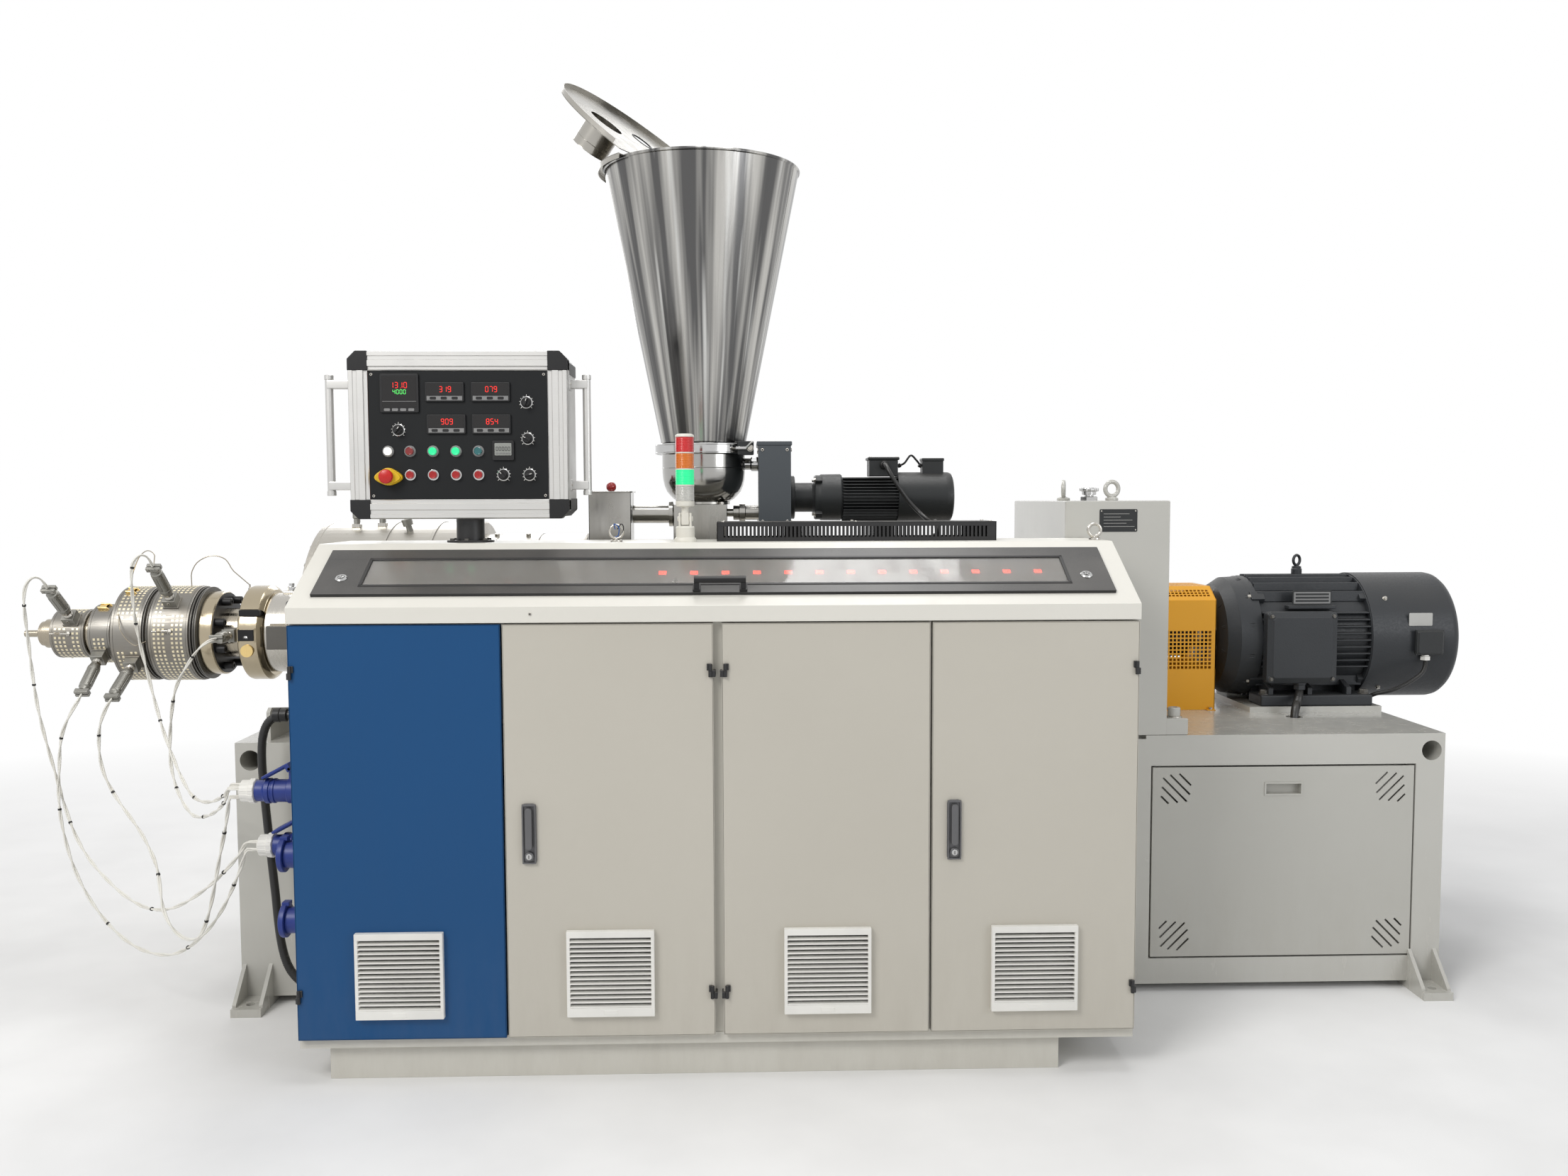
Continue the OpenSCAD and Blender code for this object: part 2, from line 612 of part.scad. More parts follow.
// Folded cover with a row of slots through its front and back
module vent_cover() placed() color("black") difference() {
    block([975, 330, cab_z1], [1690, 480, 1309]);
    block([977, 332, cab_z1 - 1], [1688, 478, 1307]);
    for (i = [0:slot_count - 1])
        block([992 + i * 10.3, 325, 1270], [996.5 + i * 10.3, 485, 1298]);
}

module drop_chute() placed() color("silver") {
    difference() {
        block([600, 750, 1100], [720, 850, 1388]);
        rod_x(590, 730, line_y, line_z, 150);
    }
    block([595, 745, 1386], [725, 855, 1391]);
    translate([660, 800, 1390]) cylinder(h = 6, r = 5);
    translate([660, 800, 1404]) sphere(r = 14.5);
}

// Feed block on the barrel with its bore down to the screws, and the tube from the chute
module feed_throat() placed() color("silver") {
    difference() {
        block([840, line_y - 77, line_z + 100], [994, line_y + 77, bowl_z]);
        rod_x(830, 1000, line_y, line_z, 150);
        translate([hop_x, line_y, line_z + 90]) cylinder(h = 400, r = 58);
    }
    rod_x(720, 840 + eps, 800, 1325, 26);
}

module feed_bowl() placed() color("silver") translate([hop_x, line_y, 0]) rotate_extrude()
    polygon([[60, bowl_z], [75, bowl_z], [88, bowl_z + 8], [108, 1390], [119, 1425], [121, 1460],
        [121, 1499], [flange_r, 1499], [flange_r, 1511], [118, 1511], [118, 1460], [116, 1426],
        [105, 1392], [86, bowl_z + 11], [74, bowl_z + 3], [60, bowl_z + 3]]);

// Clamp ring round the two flanges, with the swing bolt that closes it
module hopper_clamp() placed() color("dimgray") {
    translate([hop_x, line_y, 0]) rotate_extrude()
        polygon([[flange_r + 0.5, 1498], [flange_r + 5, 1498], [flange_r + 5, 1527],
            [flange_r + 0.5, 1527]]);
    difference() {
        block([hop_x + 100, line_y - 118, 1493], [hop_x + 146, line_y - 82, 1532]);
        translate([hop_x, line_y, 1480]) cylinder(h = 60, r = flange_r + 3);
    }
}

module hopper_cone() placed() color("silver") translate([hop_x, line_y, 0]) rotate_extrude()
    polygon([[foot_r, 1523], [rim_r - 13, hop_z1 - 4], [rim_r, hop_z1 - 4], [rim_r, hop_z1],
        [rim_r - 15, hop_z1], [foot_r - hopper_t, 1524], [foot_r - hopper_t, 1511],
        [flange_r, 1511], [flange_r, 1523]]);

// The lid in its own frame: origin on the hinge line, x along it, the flap on the side of low y
flap_x = hop_x - flap_off * sin(flap_turn);
flap_y = line_y + flap_off * cos(flap_turn);
module in_lid_frame() translate([flap_x, flap_y, lid_z]) rotate([0, 0, flap_turn]) children();

// Round lid with a skirt of which a part near the hinge line is cut away
module lid_disc() translate([0, -flap_off, 0]) difference() {
    translate([0, 0, -lid_skirt]) cylinder(h = lid_skirt, r = lid_r, $fn = 96);
    translate([0, 0, -lid_skirt - 1]) cylinder(h = lid_skirt + 1 - lid_t, r = lid_r - 2, $fn = 96);
}

// Hinge knuckle from s to s + l along the hinge line, joined to the plate on side k
module lid_knuckle(s, l, k) {
    translate([s, 0, flap_axis_z]) rotate([0, 90, 0]) cylinder(h = l, r = 4);
    block([s, min(k * 1, k * 24), -eps], [s + l, max(k * 1, k * 24), 2]);
}

module hopper_lid() placed() color("silver") in_lid_frame() {
    difference() {
        lid_disc();
        block([-700, -700, -50], [700, flap_gap / 2, 50]);
    }
    intersection() {
        translate([0, -flap_off, hop_z1 - lid_z]) difference() {
            cylinder(h = lid_z - hop_z1 - lid_t + eps, r = rim_r, $fn = 96);
            translate([0, 0, -1]) cylinder(h = 10, r = rim_r - 12, $fn = 96);
        }
        block([-700, flap_gap / 2 + 1, -50], [700, 700, 50]);
    }
    for (s = knuckle_s)
        difference() {
            lid_knuckle(s, knuckle_l, 1);
            translate([s - 1, 0, flap_axis_z]) rotate([0, 90, 0]) cylinder(h = knuckle_l + 2, r = 2.2);
        }
}

knuckle_s = [-170, 130];
knuckle_l = 40;
collar_s = -113;
collar_t = 197;
collar_r = 54;
collar_l = 90;
port_s = 60;
port_t = 178;
port_r = 32;
module hopper_flap() placed() color("silver") in_lid_frame() translate([0, 0, flap_axis_z])
    rotate([-flap_open, 0, 0]) translate([0, 0, -flap_axis_z]) {
        difference() {
            lid_disc();
            block([-700, -flap_gap / 2, -50], [700, 700, 50]);
            block([-700, -16, -50], [700, 1, -lid_t]);
            translate([collar_s, -collar_t, -10]) cylinder(h = 20, r = collar_r - 2);
            translate([port_s, -port_t, -10]) cylinder(h = 20, r = port_r);
        }
        translate([collar_s, -collar_t, -eps]) difference() {
            cylinder(h = collar_l, r = collar_r);
            translate([0, 0, -1]) cylinder(h = collar_l + 2, r = collar_r - 2);
        }
        for (s = knuckle_s) {
            lid_knuckle(s + knuckle_l + 1, 18, -1);
            translate([s, 0, flap_axis_z]) rotate([0, 90, 0]) cylinder(h = knuckle_l + 2, r = 2);
        }
    }

module feed_drive() placed() color("darkslategray") {
    block([1085, 700, 1290], [1177, 900, 1521]);
    drawn_x(1082, 1180) polygon([[697, 1521 - eps], [697, 1524], [712, 1530], [888, 1530], [903, 1524],
        [903, 1521 - eps]]);
    difference() {
        rod_x(1040, 1086, line_y, 1470, 17);
        translate([hop_x, line_y, 1400]) cylinder(h = 200, r = 122);
    }
    rod_x(1066, 1084, line_y, 1470, 21);
    rod_x(994, 1012, line_y, 1328, 12);
    rod_x(1011, 1086, line_y, 1328, 22);
    rod_x(1030, 1046, line_y, 1328, 27);
}

// Feeder motor: lantern, two-stage reducer, finned body and fan cowl, with its two terminal boxes
module feed_motor() placed() color("black") {
    rod_x(1177, 1190, feed_y, feed_z, 62);
    rod_x(1190 - eps, 1246 + eps, feed_y, feed_z, 42);
    turned_x(feed_y, feed_z) polygon([[0, 1246], [64, 1246], [67, 1250], [67, 1296], [64, 1300], [64, 1304],
        [67, 1306], [67, 1322], [58, 1328], [58, 1487], [0, 1487]]);
    intersection() {
        rod_x(1327, 1488, feed_y, feed_z, 70);
        union() {
            for (i = [-4:4], k = [-1, 1])
                block([1327, feed_y + min(0, k * 80), feed_z + i * 11 - 1.5],
                    [1487, feed_y + max(0, k * 80), feed_z + i * 11 + 1.5]);
            block([1327, feed_y - 34, feed_z], [1487, feed_y + 34, feed_z + 72]);
            block([1327, feed_y - 34, feed_z - 72], [1487, feed_y + 34, feed_z]);
        }
    }
    turned_x(feed_y, feed_z)
        polygon([[0, 1487 - eps], [72, 1487 - eps], [72, 1636], [68, 1644], [60, 1648], [0, 1648]]);
    block([1404, 762, feed_z + 65], [1487, 838, 1486]);
    block([1400, 758, 1478], [1491, 842, 1487]);
    block([1559, 775, feed_z + 68], [1620, 825, 1484]);
    rod_y(748, 763, 1446, 1464, 11);
}

// Power sockets on the cabinet's left side, as y and z
sockets = [[165, 665], [165, 531], [90, 527], [90, 369]];
plug_ends = [-177, -137];

// Round socket with its flange plate and two raised rings
module power_socket(y, z, x0) {
    translate([cab_x0 - 8, y - 37, z - 37]) cube([8, 74, 74]);
    rod_x(x0, cab_x0 - 8 + eps, y, z, 31);
}

// Hinged cover of a used socket, resting over its plug, with the arm that carries it
module socket_cover(x, y, z) {
    translate([x, y, z + 66]) rotate([0, -28, 0]) {
        block([-74, -24, 0], [0, 24, 7]);
        block([-12, -24, -14], [0, 24, 1]);
    }
    block([x - 5, y - 12, z + 27], [x + 12, y + 12, z + 56]);
}

module power_sockets() placed() color("royalblue") {
    power_socket(sockets[0][0], sockets[0][1], -62);
    power_socket(sockets[1][0], sockets[1][1], -44);
    for (i = [2, 3]) {
        power_socket(sockets[i][0], sockets[i][1], -46);
        rod_x(-60, -46 + eps, sockets[i][0], sockets[i][1], 41);
    }
    socket_cover(-54, sockets[0][0], sockets[0][1]);
    socket_cover(-33, sockets[1][0], sockets[1][1]);
}

// Plug in socket i: body with two raised rings and the white cap nut
module power_plug(i) {
    y = sockets[i][0];
    z = sockets[i][1];
    x1 = i == 0 ? -62 : -44;
    x0 = plug_ends[i];
    turned_x(y, z) polygon([[0, x0], [24, x0], [26, x0 + 3], [26, x0 + 22], [30, x0 + 24],
        [30, x0 + 36], [26, x0 + 38], [27, x0 + 58], [31, x0 + 62], [31, x0 + 74], [28, x0 + 76],
        [28, x1], [0, x1]]);
}
module power_plugs() placed() color("white") for (i = [0, 1]) power_plug(i);

// Routes of the heater leads: out of the plug's end along its axis, then over the listed points
lead_r = 5;
function lead_start(h) = [band_point(h[0], h[2], h[3]), band_point(h[0], h[2], h[3] + 24)];
route_a = [[-890, 637, 1155], [-896, 617, 1160], [-905, 602, 1147], [-913, 599, 1120],
    [-922, 612, 1075], [-932, 645, 970], [-925, 665, 790], [-885, 665, 610], [-815, 625, 440],
    [-700, 545, 345], [-560, 450, 295], [-430, 355, 320], [-300, 272, 405], [-212, 212, 488],
    [-168, 171, 538], [-137, 171, 538]];
route_b = [[-825, 640, 778], [-852, 642, 715], [-862, 642, 620], [-862, 638, 500],
    [-825, 628, 350], [-745, 598, 230], [-620, 520, 165], [-480, 425, 170], [-360, 330, 245],
    [-270, 262, 345], [-200, 200, 462], [-165, 159, 522], [-137, 159, 522]];
route_c = [[-710, 572, 762], [-722, 585, 690], [-705, 575, 620], [-655, 550, 550],
    [-575, 493, 482], [-502, 420, 405], [-466, 367, 310], [-412, 326, 258], [-345, 286, 262],
    [-300, 255, 345], [-265, 229, 465], [-232, 203, 575], [-204, 165, 650], [-177, 165, 650]];
route_d = [[-585, 603, 1217], [-592, 584, 1221], [-602, 571, 1207], [-609, 569, 1178],
    [-616, 582, 1120], [-620, 612, 1010], [-604, 633, 885], [-562, 610, 750], [-490, 535, 645],
    [-412, 445, 588], [-320, 335, 600], [-240, 232, 645], [-205, 178, 677], [-177, 178, 677]];
route_e = [[-438, 627, 978], [-458, 619, 961], [-492, 626, 918], [-538, 648, 845],
    [-560, 660, 740], [-558, 648, 640], [-515, 595, 562], [-425, 475, 530], [-310, 318, 574],
    [-234, 208, 632], [-204, 152, 674], [-177, 152, 674]];
module lead(i, route) placed() color("ivory") cord(concat(lead_start(heater_sets[i]), route), lead_r, 8);
module lead_a() lead(0, route_a);
module lead_b() lead(1, route_b);
module lead_c() lead(2, route_c);
module lead_d() lead(3, route_d);
module lead_e() lead(4, route_e);

// Corrugated conduits: from the cabinet's side to its plinth, from the main motor's terminal box
// into the frame, from the motor's fan box to the pad, and from the feeder motor to the cabinet
side_route = [[-2, 420, 808], [-60, 420, 808], [-150, 420, 808], [-196, 420, 795], [-218, 420, 745],
    [-220, 420, 650], [-210, 420, 500], [-196, 420, 330], [-186, 420, 210], [-162, 420, 125],
    [-100, 420, 68], [-20, 420, 45], [60, 420, 45]];
box_route = [[2720, 876, 809], [2720, 876, 803], [2717, 871, 781], [2708, 857, 762],
    [2696, 837, 752], [2684, 816, 743], [2675, 802, 724], [2672, 797, 700], [2672, 797, 676]];
fan_route = [[3104, 878, 891], [3104, 878, 880], [3101, 872, 860], [3085, 861, 836],
    [3045, 860, 808], [3003, 878, 782], [2974, 912, 768], [2962, 938, 753], [2961, 944, 738],
    [2961, 944, 725]];
feed_route = [[1446, 748, 1464], [1446, 730, 1464], [1449, 712, 1457], [1458, 701, 1438],
    [1478, 697, 1405], [1512, 700, 1358], [1544, 690, 1324], [1560, 655, 1306], [1562, 590, 1302],
    [1562, 540, 1306], [1562, 512, 1297], [1562, 500, 1278], [1562, 500, 1260]];
module side_conduit() placed() color("black") cord(side_route, 11.5, 8);
module motor_conduit() placed() color("black") cord(box_route, 12.5, 8);
module feed_conduit() placed() color("black") cord(feed_route, 6.5, 8);

base_frame();
anchor_feet();
base_panel();
gearbox();
breather_caps();
lifting_eyes();
coupling_guard();
main_motor();
motor_cowl();
motor_boxes();
barrel();
barrel_cover();
barrel_support();
clamp_flange();
die_body();
heater_bands();
heater_plugs();
cabinet();
cabinet_plinth();
window_frame();
window_glass();
window_handle();
hinge_blocks();
door_a();
door_b();
door_c();
door_d();
grille_a();
grille_b();
grille_c();
grille_d();
lock_b();
lock_d();
control_post();
control_box();
control_panel();
control_handles();
panel_instruments();
signal_stem();
signal_lenses();
vent_cover();
drop_chute();
feed_throat();
feed_bowl();
hopper_clamp();
hopper_cone();
hopper_lid();
hopper_flap();
feed_drive();
feed_motor();
power_sockets();
power_plugs();
lead_a();
lead_b();
lead_c();
lead_d();
lead_e();
side_conduit();
motor_conduit();
feed_conduit();
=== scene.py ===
"""Plastic extruder: the finish of every surface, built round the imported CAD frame.

Shapes are drawn in mm along the machine's own axes. The frame is in metres.
"""

from math import asin, atan2, cos, degrees, pi, radians, sin, sqrt

import bmesh
import bpy
from mathutils import Matrix, Vector


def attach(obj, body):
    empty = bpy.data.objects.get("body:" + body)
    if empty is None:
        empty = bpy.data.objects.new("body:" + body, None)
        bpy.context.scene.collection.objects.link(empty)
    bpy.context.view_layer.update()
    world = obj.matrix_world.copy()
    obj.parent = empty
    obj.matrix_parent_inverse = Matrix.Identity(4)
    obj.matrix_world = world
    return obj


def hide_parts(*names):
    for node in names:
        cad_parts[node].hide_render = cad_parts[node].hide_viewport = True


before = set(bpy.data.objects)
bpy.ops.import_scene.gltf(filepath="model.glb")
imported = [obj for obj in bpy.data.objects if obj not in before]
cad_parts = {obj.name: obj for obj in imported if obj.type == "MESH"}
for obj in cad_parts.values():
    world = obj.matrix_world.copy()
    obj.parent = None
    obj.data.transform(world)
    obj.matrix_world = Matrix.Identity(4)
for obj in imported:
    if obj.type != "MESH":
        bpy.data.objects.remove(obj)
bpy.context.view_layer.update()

# The drawing's origin is at the left end of the doors, on their front face and on the floor
MM = 0.001
DRAWING_X = 1084.0
DRAWING_Y = 697.5
LEFT, RIGHT, FRONT, BACK, UP = (-1, 0, 0), (1, 0, 0), (0, -1, 0), (0, 1, 0), (0, 0, 1)

# Middle lines, in mm: the screws', the main motor's, the feeder's and the hopper's
AXIS_Y, AXIS_Z = 850, 983
FRAME_TOP = 718
MOTOR_Y, MOTOR_Z = 1076, 935
FEED_Y, FEED_Z = 800, 1372
HOPPER_X, HOPPER_Y = 926, 850
LINE = (0, AXIS_Y, AXIS_Z)
MOTOR = (0, MOTOR_Y, MOTOR_Z)
FEED = (0, FEED_Y, FEED_Z)
HOPPER = (HOPPER_X, HOPPER_Y, 0)

# The camera's fit to the photograph: its width and focal length in pixels, its place in mm, its turns in radians
PHOTO_WIDTH = 2212
FOCAL_PIXELS = 1838.3
SENSOR_WIDTH = 36
CAMERA_PLACE = (1052.6, -2991.1, 1365.7)
CAMERA_TURN = 0.02796
CAMERA_DIP = 0.06773
CAMERA_ROLL = -0.00317


def at(x, y, z):
    """A point of the drawing, in mm, as a place in the frame."""
    return Vector(((x - DRAWING_X) * MM, (y - DRAWING_Y) * MM, z * MM))


# Camera and light


def place_camera():
    """The camera stands where the photograph was taken, at 1.37 m above the floor."""
    turn, dip, roll = CAMERA_TURN, CAMERA_DIP, CAMERA_ROLL
    forward = Vector((sin(turn) * cos(dip), cos(turn) * cos(dip), -sin(dip)))
    right = Vector((cos(turn), -sin(turn), 0))
    up = right.cross(forward)
    side = right * cos(roll) + up * sin(roll)
    top = up * cos(roll) - right * sin(roll)
    camera = bpy.data.objects.new("camera", bpy.data.cameras.new("camera"))
    bpy.context.scene.collection.objects.link(camera)
    camera.data.sensor_width = SENSOR_WIDTH
    camera.data.lens = SENSOR_WIDTH * FOCAL_PIXELS / PHOTO_WIDTH
    camera.data.clip_end = 200
    axes = Matrix((side, top, -forward)).transposed().to_4x4()
    camera.matrix_world = Matrix.Translation(at(*CAMERA_PLACE)) @ axes
    bpy.context.scene.camera = camera


def soft_lamp(name, place, target, size, watts, colour=(1, 1, 1)):
    """A rectangular soft box that points at a target."""
    lamp = bpy.data.lights.new(name, "AREA")
    lamp.shape = "RECTANGLE"
    lamp.size, lamp.size_y = size
    lamp.energy = watts
    lamp.color = colour
    box = bpy.data.objects.new(name, lamp)
    bpy.context.scene.collection.objects.link(box)
    box.location = place
    box.rotation_euler = (Vector(target) - Vector(place)).to_track_quat("-Z", "Y").to_euler()


# Effects that several finishes share


def effect_group(name, **inputs):
    """A new node group, from the values that its inputs start with: None for a colour, three numbers for a vector."""
    tree = bpy.data.node_groups.new(name, "ShaderNodeTree")
    for label, value in inputs.items():
        kind = "Color" if value is None else "Vector" if isinstance(value, tuple) else "Float"
        socket = tree.interface.new_socket(label, in_out="INPUT", socket_type="NodeSocket" + kind)
        if value is not None:
            socket.default_value = value
    for label, kind in (("Colour", "Color"), ("Roughness", "Float"), ("Height", "Float")):
        tree.interface.new_socket(label, in_out="OUTPUT", socket_type="NodeSocket" + kind)
    return tree, tree.nodes.new("NodeGroupInput").outputs, tree.nodes.new("NodeGroupOutput").inputs


def put(socket, value):
    """Joins an output to a socket, or sets the socket to a plain value."""
    if isinstance(value, bpy.types.NodeSocket):
        socket.id_data.links.new(value, socket)
    elif hasattr(socket.default_value, "__len__") and len(socket.default_value) == 4 and len(value) == 3:
        socket.default_value = (*value, 1)
    else:
        socket.default_value = value


def calculate(tree, operation, a, b=None, clamp=False):
    """One sum of two values."""
    node = tree.nodes.new("ShaderNodeMath")
    node.operation = operation
    node.use_clamp = clamp
    put(node.inputs[0], a)
    if b is not None:
        put(node.inputs[1], b)
    return node.outputs[0]


def mix_colour(tree, factor, a, b, blend="MIX"):
    """Colour a with as much of b laid over it as the factor says."""
    node = tree.nodes.new("ShaderNodeMix")
    node.data_type = "RGBA"
    node.blend_type = blend
    put(node.inputs["Factor"], factor)
    put(node.inputs[6], a)
    put(node.inputs[7], b)
    return node.outputs[2]


def spread(tree, value, low, high, to_low=0.0, to_high=1.0):
    """A value from low to high, drawn out to run from to_low to to_high."""
    node = tree.nodes.new("ShaderNodeMapRange")
    put(node.inputs["Value"], value)
    for label, number in (("From Min", low), ("From Max", high), ("To Min", to_low), ("To Max", to_high)):
        put(node.inputs[label], number)
    return node.outputs["Result"]


def noise(tree, vector, scale, detail=2.0, rough=0.5):
    """Soft noise, from 0 to 1."""
    node = tree.nodes.new("ShaderNodeTexNoise")
    put(node.inputs["Vector"], vector)
    put(node.inputs["Scale"], scale)
    node.inputs["Detail"].default_value = detail
    node.inputs["Roughness"].default_value = rough
    return node.outputs["Fac"]


def stretched(tree, vector, scale):
    """A vector times another, part by part."""
    node = tree.nodes.new("ShaderNodeVectorMath")
    node.operation = "MULTIPLY"
    put(node.inputs[0], vector)
    put(node.inputs[1], scale)
    return node.outputs["Vector"]


def object_place(tree):
    """The place on the object, in metres."""
    return tree.nodes.new("ShaderNodeTexCoord").outputs["Object"]


def parts_of(tree, vector):
    """The X, Y and Z of a vector."""
    node = tree.nodes.new("ShaderNodeSeparateXYZ")
    put(node.inputs[0], vector)
    return node.outputs


def facing_up(tree):
    """1 where the surface lies flat and faces up, 0 where it stands upright."""
    return parts_of(tree, tree.nodes.new("ShaderNodeNewGeometry").outputs["Normal"])["Z"]


# The studio


def path_mask(tree, *rays):
    """1 for the rays named, such as Is Camera Ray, and 0 for the rest."""
    path = tree.nodes.new("ShaderNodeLightPath")
    mask = path.outputs[rays[0]]
    for ray in rays[1:]:
        mask = calculate(tree, "MAXIMUM", mask, path.outputs[ray])
    return mask


SEEN_RAYS = ("Is Camera Ray", "Is Glossy Ray", "Is Transmission Ray")


def light_studio():
    """White surroundings with soft boxes: a large one over the front left, weaker ones round it."""
    scene = bpy.context.scene
    scene.view_settings.view_transform = "Standard"
    scene.world = bpy.data.worlds.new("studio")
    scene.world.use_nodes = True
    tree = scene.world.node_tree
    back = tree.nodes["Background"]
    back.inputs["Color"].default_value = (1, 1, 1, 1)
    put(back.inputs["Strength"], spread(tree, path_mask(tree, *SEEN_RAYS), 0, 1, 0.34, 1))
    soft_lamp("key_box", (-3.4, -4.6, 5.0), (0, 0, 0.9), (2.6, 2.6), 230, (1.0, 0.985, 0.96))
    soft_lamp("fill_box", (4.4, -4.2, 2.6), (0.6, 0, 0.9), (2.4, 2.4), 70, (0.95, 0.97, 1.0))
    soft_lamp("top_box", (0.3, 0.2, 5.6), (0.2, 0.2, 0), (4.5, 2.0), 130)
    soft_lamp("rear_box", (-1.5, 5.0, 3.6), (0, 0, 1), (3.0, 2.5), 90)


def lay_floor():
    """A pale floor that keeps the machine's shadow and fades to white far from it."""
    mesh = bmesh.new()
    bmesh.ops.create_circle(mesh, cap_ends=True, radius=60, segments=96)
    data = bpy.data.meshes.new("floor")
    mesh.to_mesh(data)
    mesh.free()
    floor = bpy.data.objects.new("floor", data)
    bpy.context.scene.collection.objects.link(floor)
    mat = bpy.data.materials.new("floor_paint")
    mat.use_nodes = True
    tree = mat.node_tree
    bsdf = tree.nodes["Principled BSDF"]
    bsdf.inputs["Roughness"].default_value = 0.7
    bsdf.inputs["Specular IOR Level"].default_value = 0.15
    place = object_place(tree)
    put(bsdf.inputs["Base Color"], spread(tree, noise(tree, place, 3, 3), 0.3, 0.7, 0.8, 0.86))
    length = tree.nodes.new("ShaderNodeVectorMath")
    length.operation = "LENGTH"
    put(length.inputs[0], stretched(tree, place, (0.8, 1, 1)))
    far = spread(tree, length.outputs["Value"], 1.9, 4.6)
    white = tree.nodes.new("ShaderNodeEmission")
    mixed = tree.nodes.new("ShaderNodeMixShader")
    put(mixed.inputs[0], calculate(tree, "MULTIPLY", far, path_mask(tree, *SEEN_RAYS)))
    put(mixed.inputs[1], bsdf.outputs[0])
    put(mixed.inputs[2], white.outputs[0])
    put(tree.nodes["Material Output"].inputs["Surface"], mixed.outputs[0])
    data.materials.append(mat)


place_camera()
light_studio()
lay_floor()


# Skins of paint, metal, castings, sheet and braid


def make_paint_skin():
    """Sprayed paint: soft shade changes, orange peel, rub marks, and dust towards the floor and on flat tops."""
    tree, given, out = effect_group("paint_skin", Colour=None, Shade=0.06, Dust=0.3, Roughness=0.35)
    place = object_place(tree)
    cloud = noise(tree, place, 1.7, 4)
    rubbed = noise(tree, stretched(tree, place, (9, 9, 2.2)), 2.1, 6, 0.65)
    peel = noise(tree, place, 380, 2)
    near_floor = spread(tree, parts_of(tree, place)["Z"], 0.02, 0.42, 1, 0)
    on_top = spread(tree, facing_up(tree), 0.75, 1.0, 0, 0.8)
    settled = calculate(tree, "MAXIMUM", near_floor, on_top)
    patchy = spread(tree, rubbed, 0.35, 0.75, 0, 1)
    dusty = calculate(tree, "MULTIPLY", calculate(tree, "MULTIPLY", settled, patchy), given["Dust"], True)
    darker = mix_colour(tree, 1.0, given["Colour"], (0.8, 0.79, 0.77), "MULTIPLY")
    shade = calculate(tree, "MULTIPLY", spread(tree, cloud, 0.3, 0.7), given["Shade"], True)
    shade = calculate(tree, "MULTIPLY", shade, 4, True)
    coloured = mix_colour(tree, shade, given["Colour"], darker)
    put(out["Colour"], mix_colour(tree, dusty, coloured, (0.36, 0.33, 0.28)))
    worn = calculate(tree, "ADD", given["Roughness"], spread(tree, rubbed, 0.3, 0.7, -0.05, 0.07))
    put(out["Roughness"], calculate(tree, "ADD", worn, calculate(tree, "MULTIPLY", dusty, 0.4), True))
    put(out["Height"], peel)
    return tree


def make_metal_grain():
    """Bare metal: marks drawn out along one direction, stains, and finger smears in the gloss."""
    tree, given, out = effect_group("metal_grain", Colour=None, Stretch=(300, 300, 8), Roughness=0.25, Grain=0.1,
                                    Stain=0.3)
    place = object_place(tree)
    lines = noise(tree, stretched(tree, place, given["Stretch"]), 1, 3, 0.6)
    smear = noise(tree, place, 9, 5, 0.6)
    stain = calculate(tree, "MULTIPLY", spread(tree, smear, 0.45, 0.75), given["Stain"], True)
    dulled = mix_colour(tree, stain, given["Colour"], (0.30, 0.24, 0.16))
    lined = mix_colour(tree, spread(tree, lines, 0.35, 0.65, 0, 0.35), dulled, (0.9, 0.9, 0.9), "MULTIPLY")
    put(out["Colour"], lined)
    rough = calculate(tree, "MULTIPLY", spread(tree, lines, 0.3, 0.7, -1, 1), given["Grain"])
    rough = calculate(tree, "ADD", rough, given["Roughness"])
    put(out["Roughness"], calculate(tree, "ADD", rough, spread(tree, smear, 0.35, 0.7, 0, 0.1), True))
    put(out["Height"], lines)
    return tree


def make_cast_skin():
    """Sand-cast iron or moulded plastic: a fine pebbled surface with dust in its hollows."""
    tree, given, out = effect_group("cast_skin", Colour=None, Grain=160, Roughness=0.5, Dust=0.3)
    place = object_place(tree)
    pebble = noise(tree, place, given["Grain"], 4, 0.6)
    cloud = noise(tree, place, 6, 4)
    on_top = spread(tree, facing_up(tree), 0.3, 1.0)
    dusty = calculate(tree, "MULTIPLY", calculate(tree, "MULTIPLY", on_top, cloud), given["Dust"], True)
    varied = mix_colour(tree, spread(tree, cloud, 0.3, 0.7, 0, 0.5), given["Colour"], (0.75, 0.75, 0.75), "MULTIPLY")
    put(out["Colour"], mix_colour(tree, dusty, varied, (0.33, 0.31, 0.28)))
    put(out["Roughness"], calculate(tree, "ADD", given["Roughness"],
                                    spread(tree, pebble, 0.3, 0.7, -0.08, 0.1), True))
    put(out["Height"], pebble)
    return tree


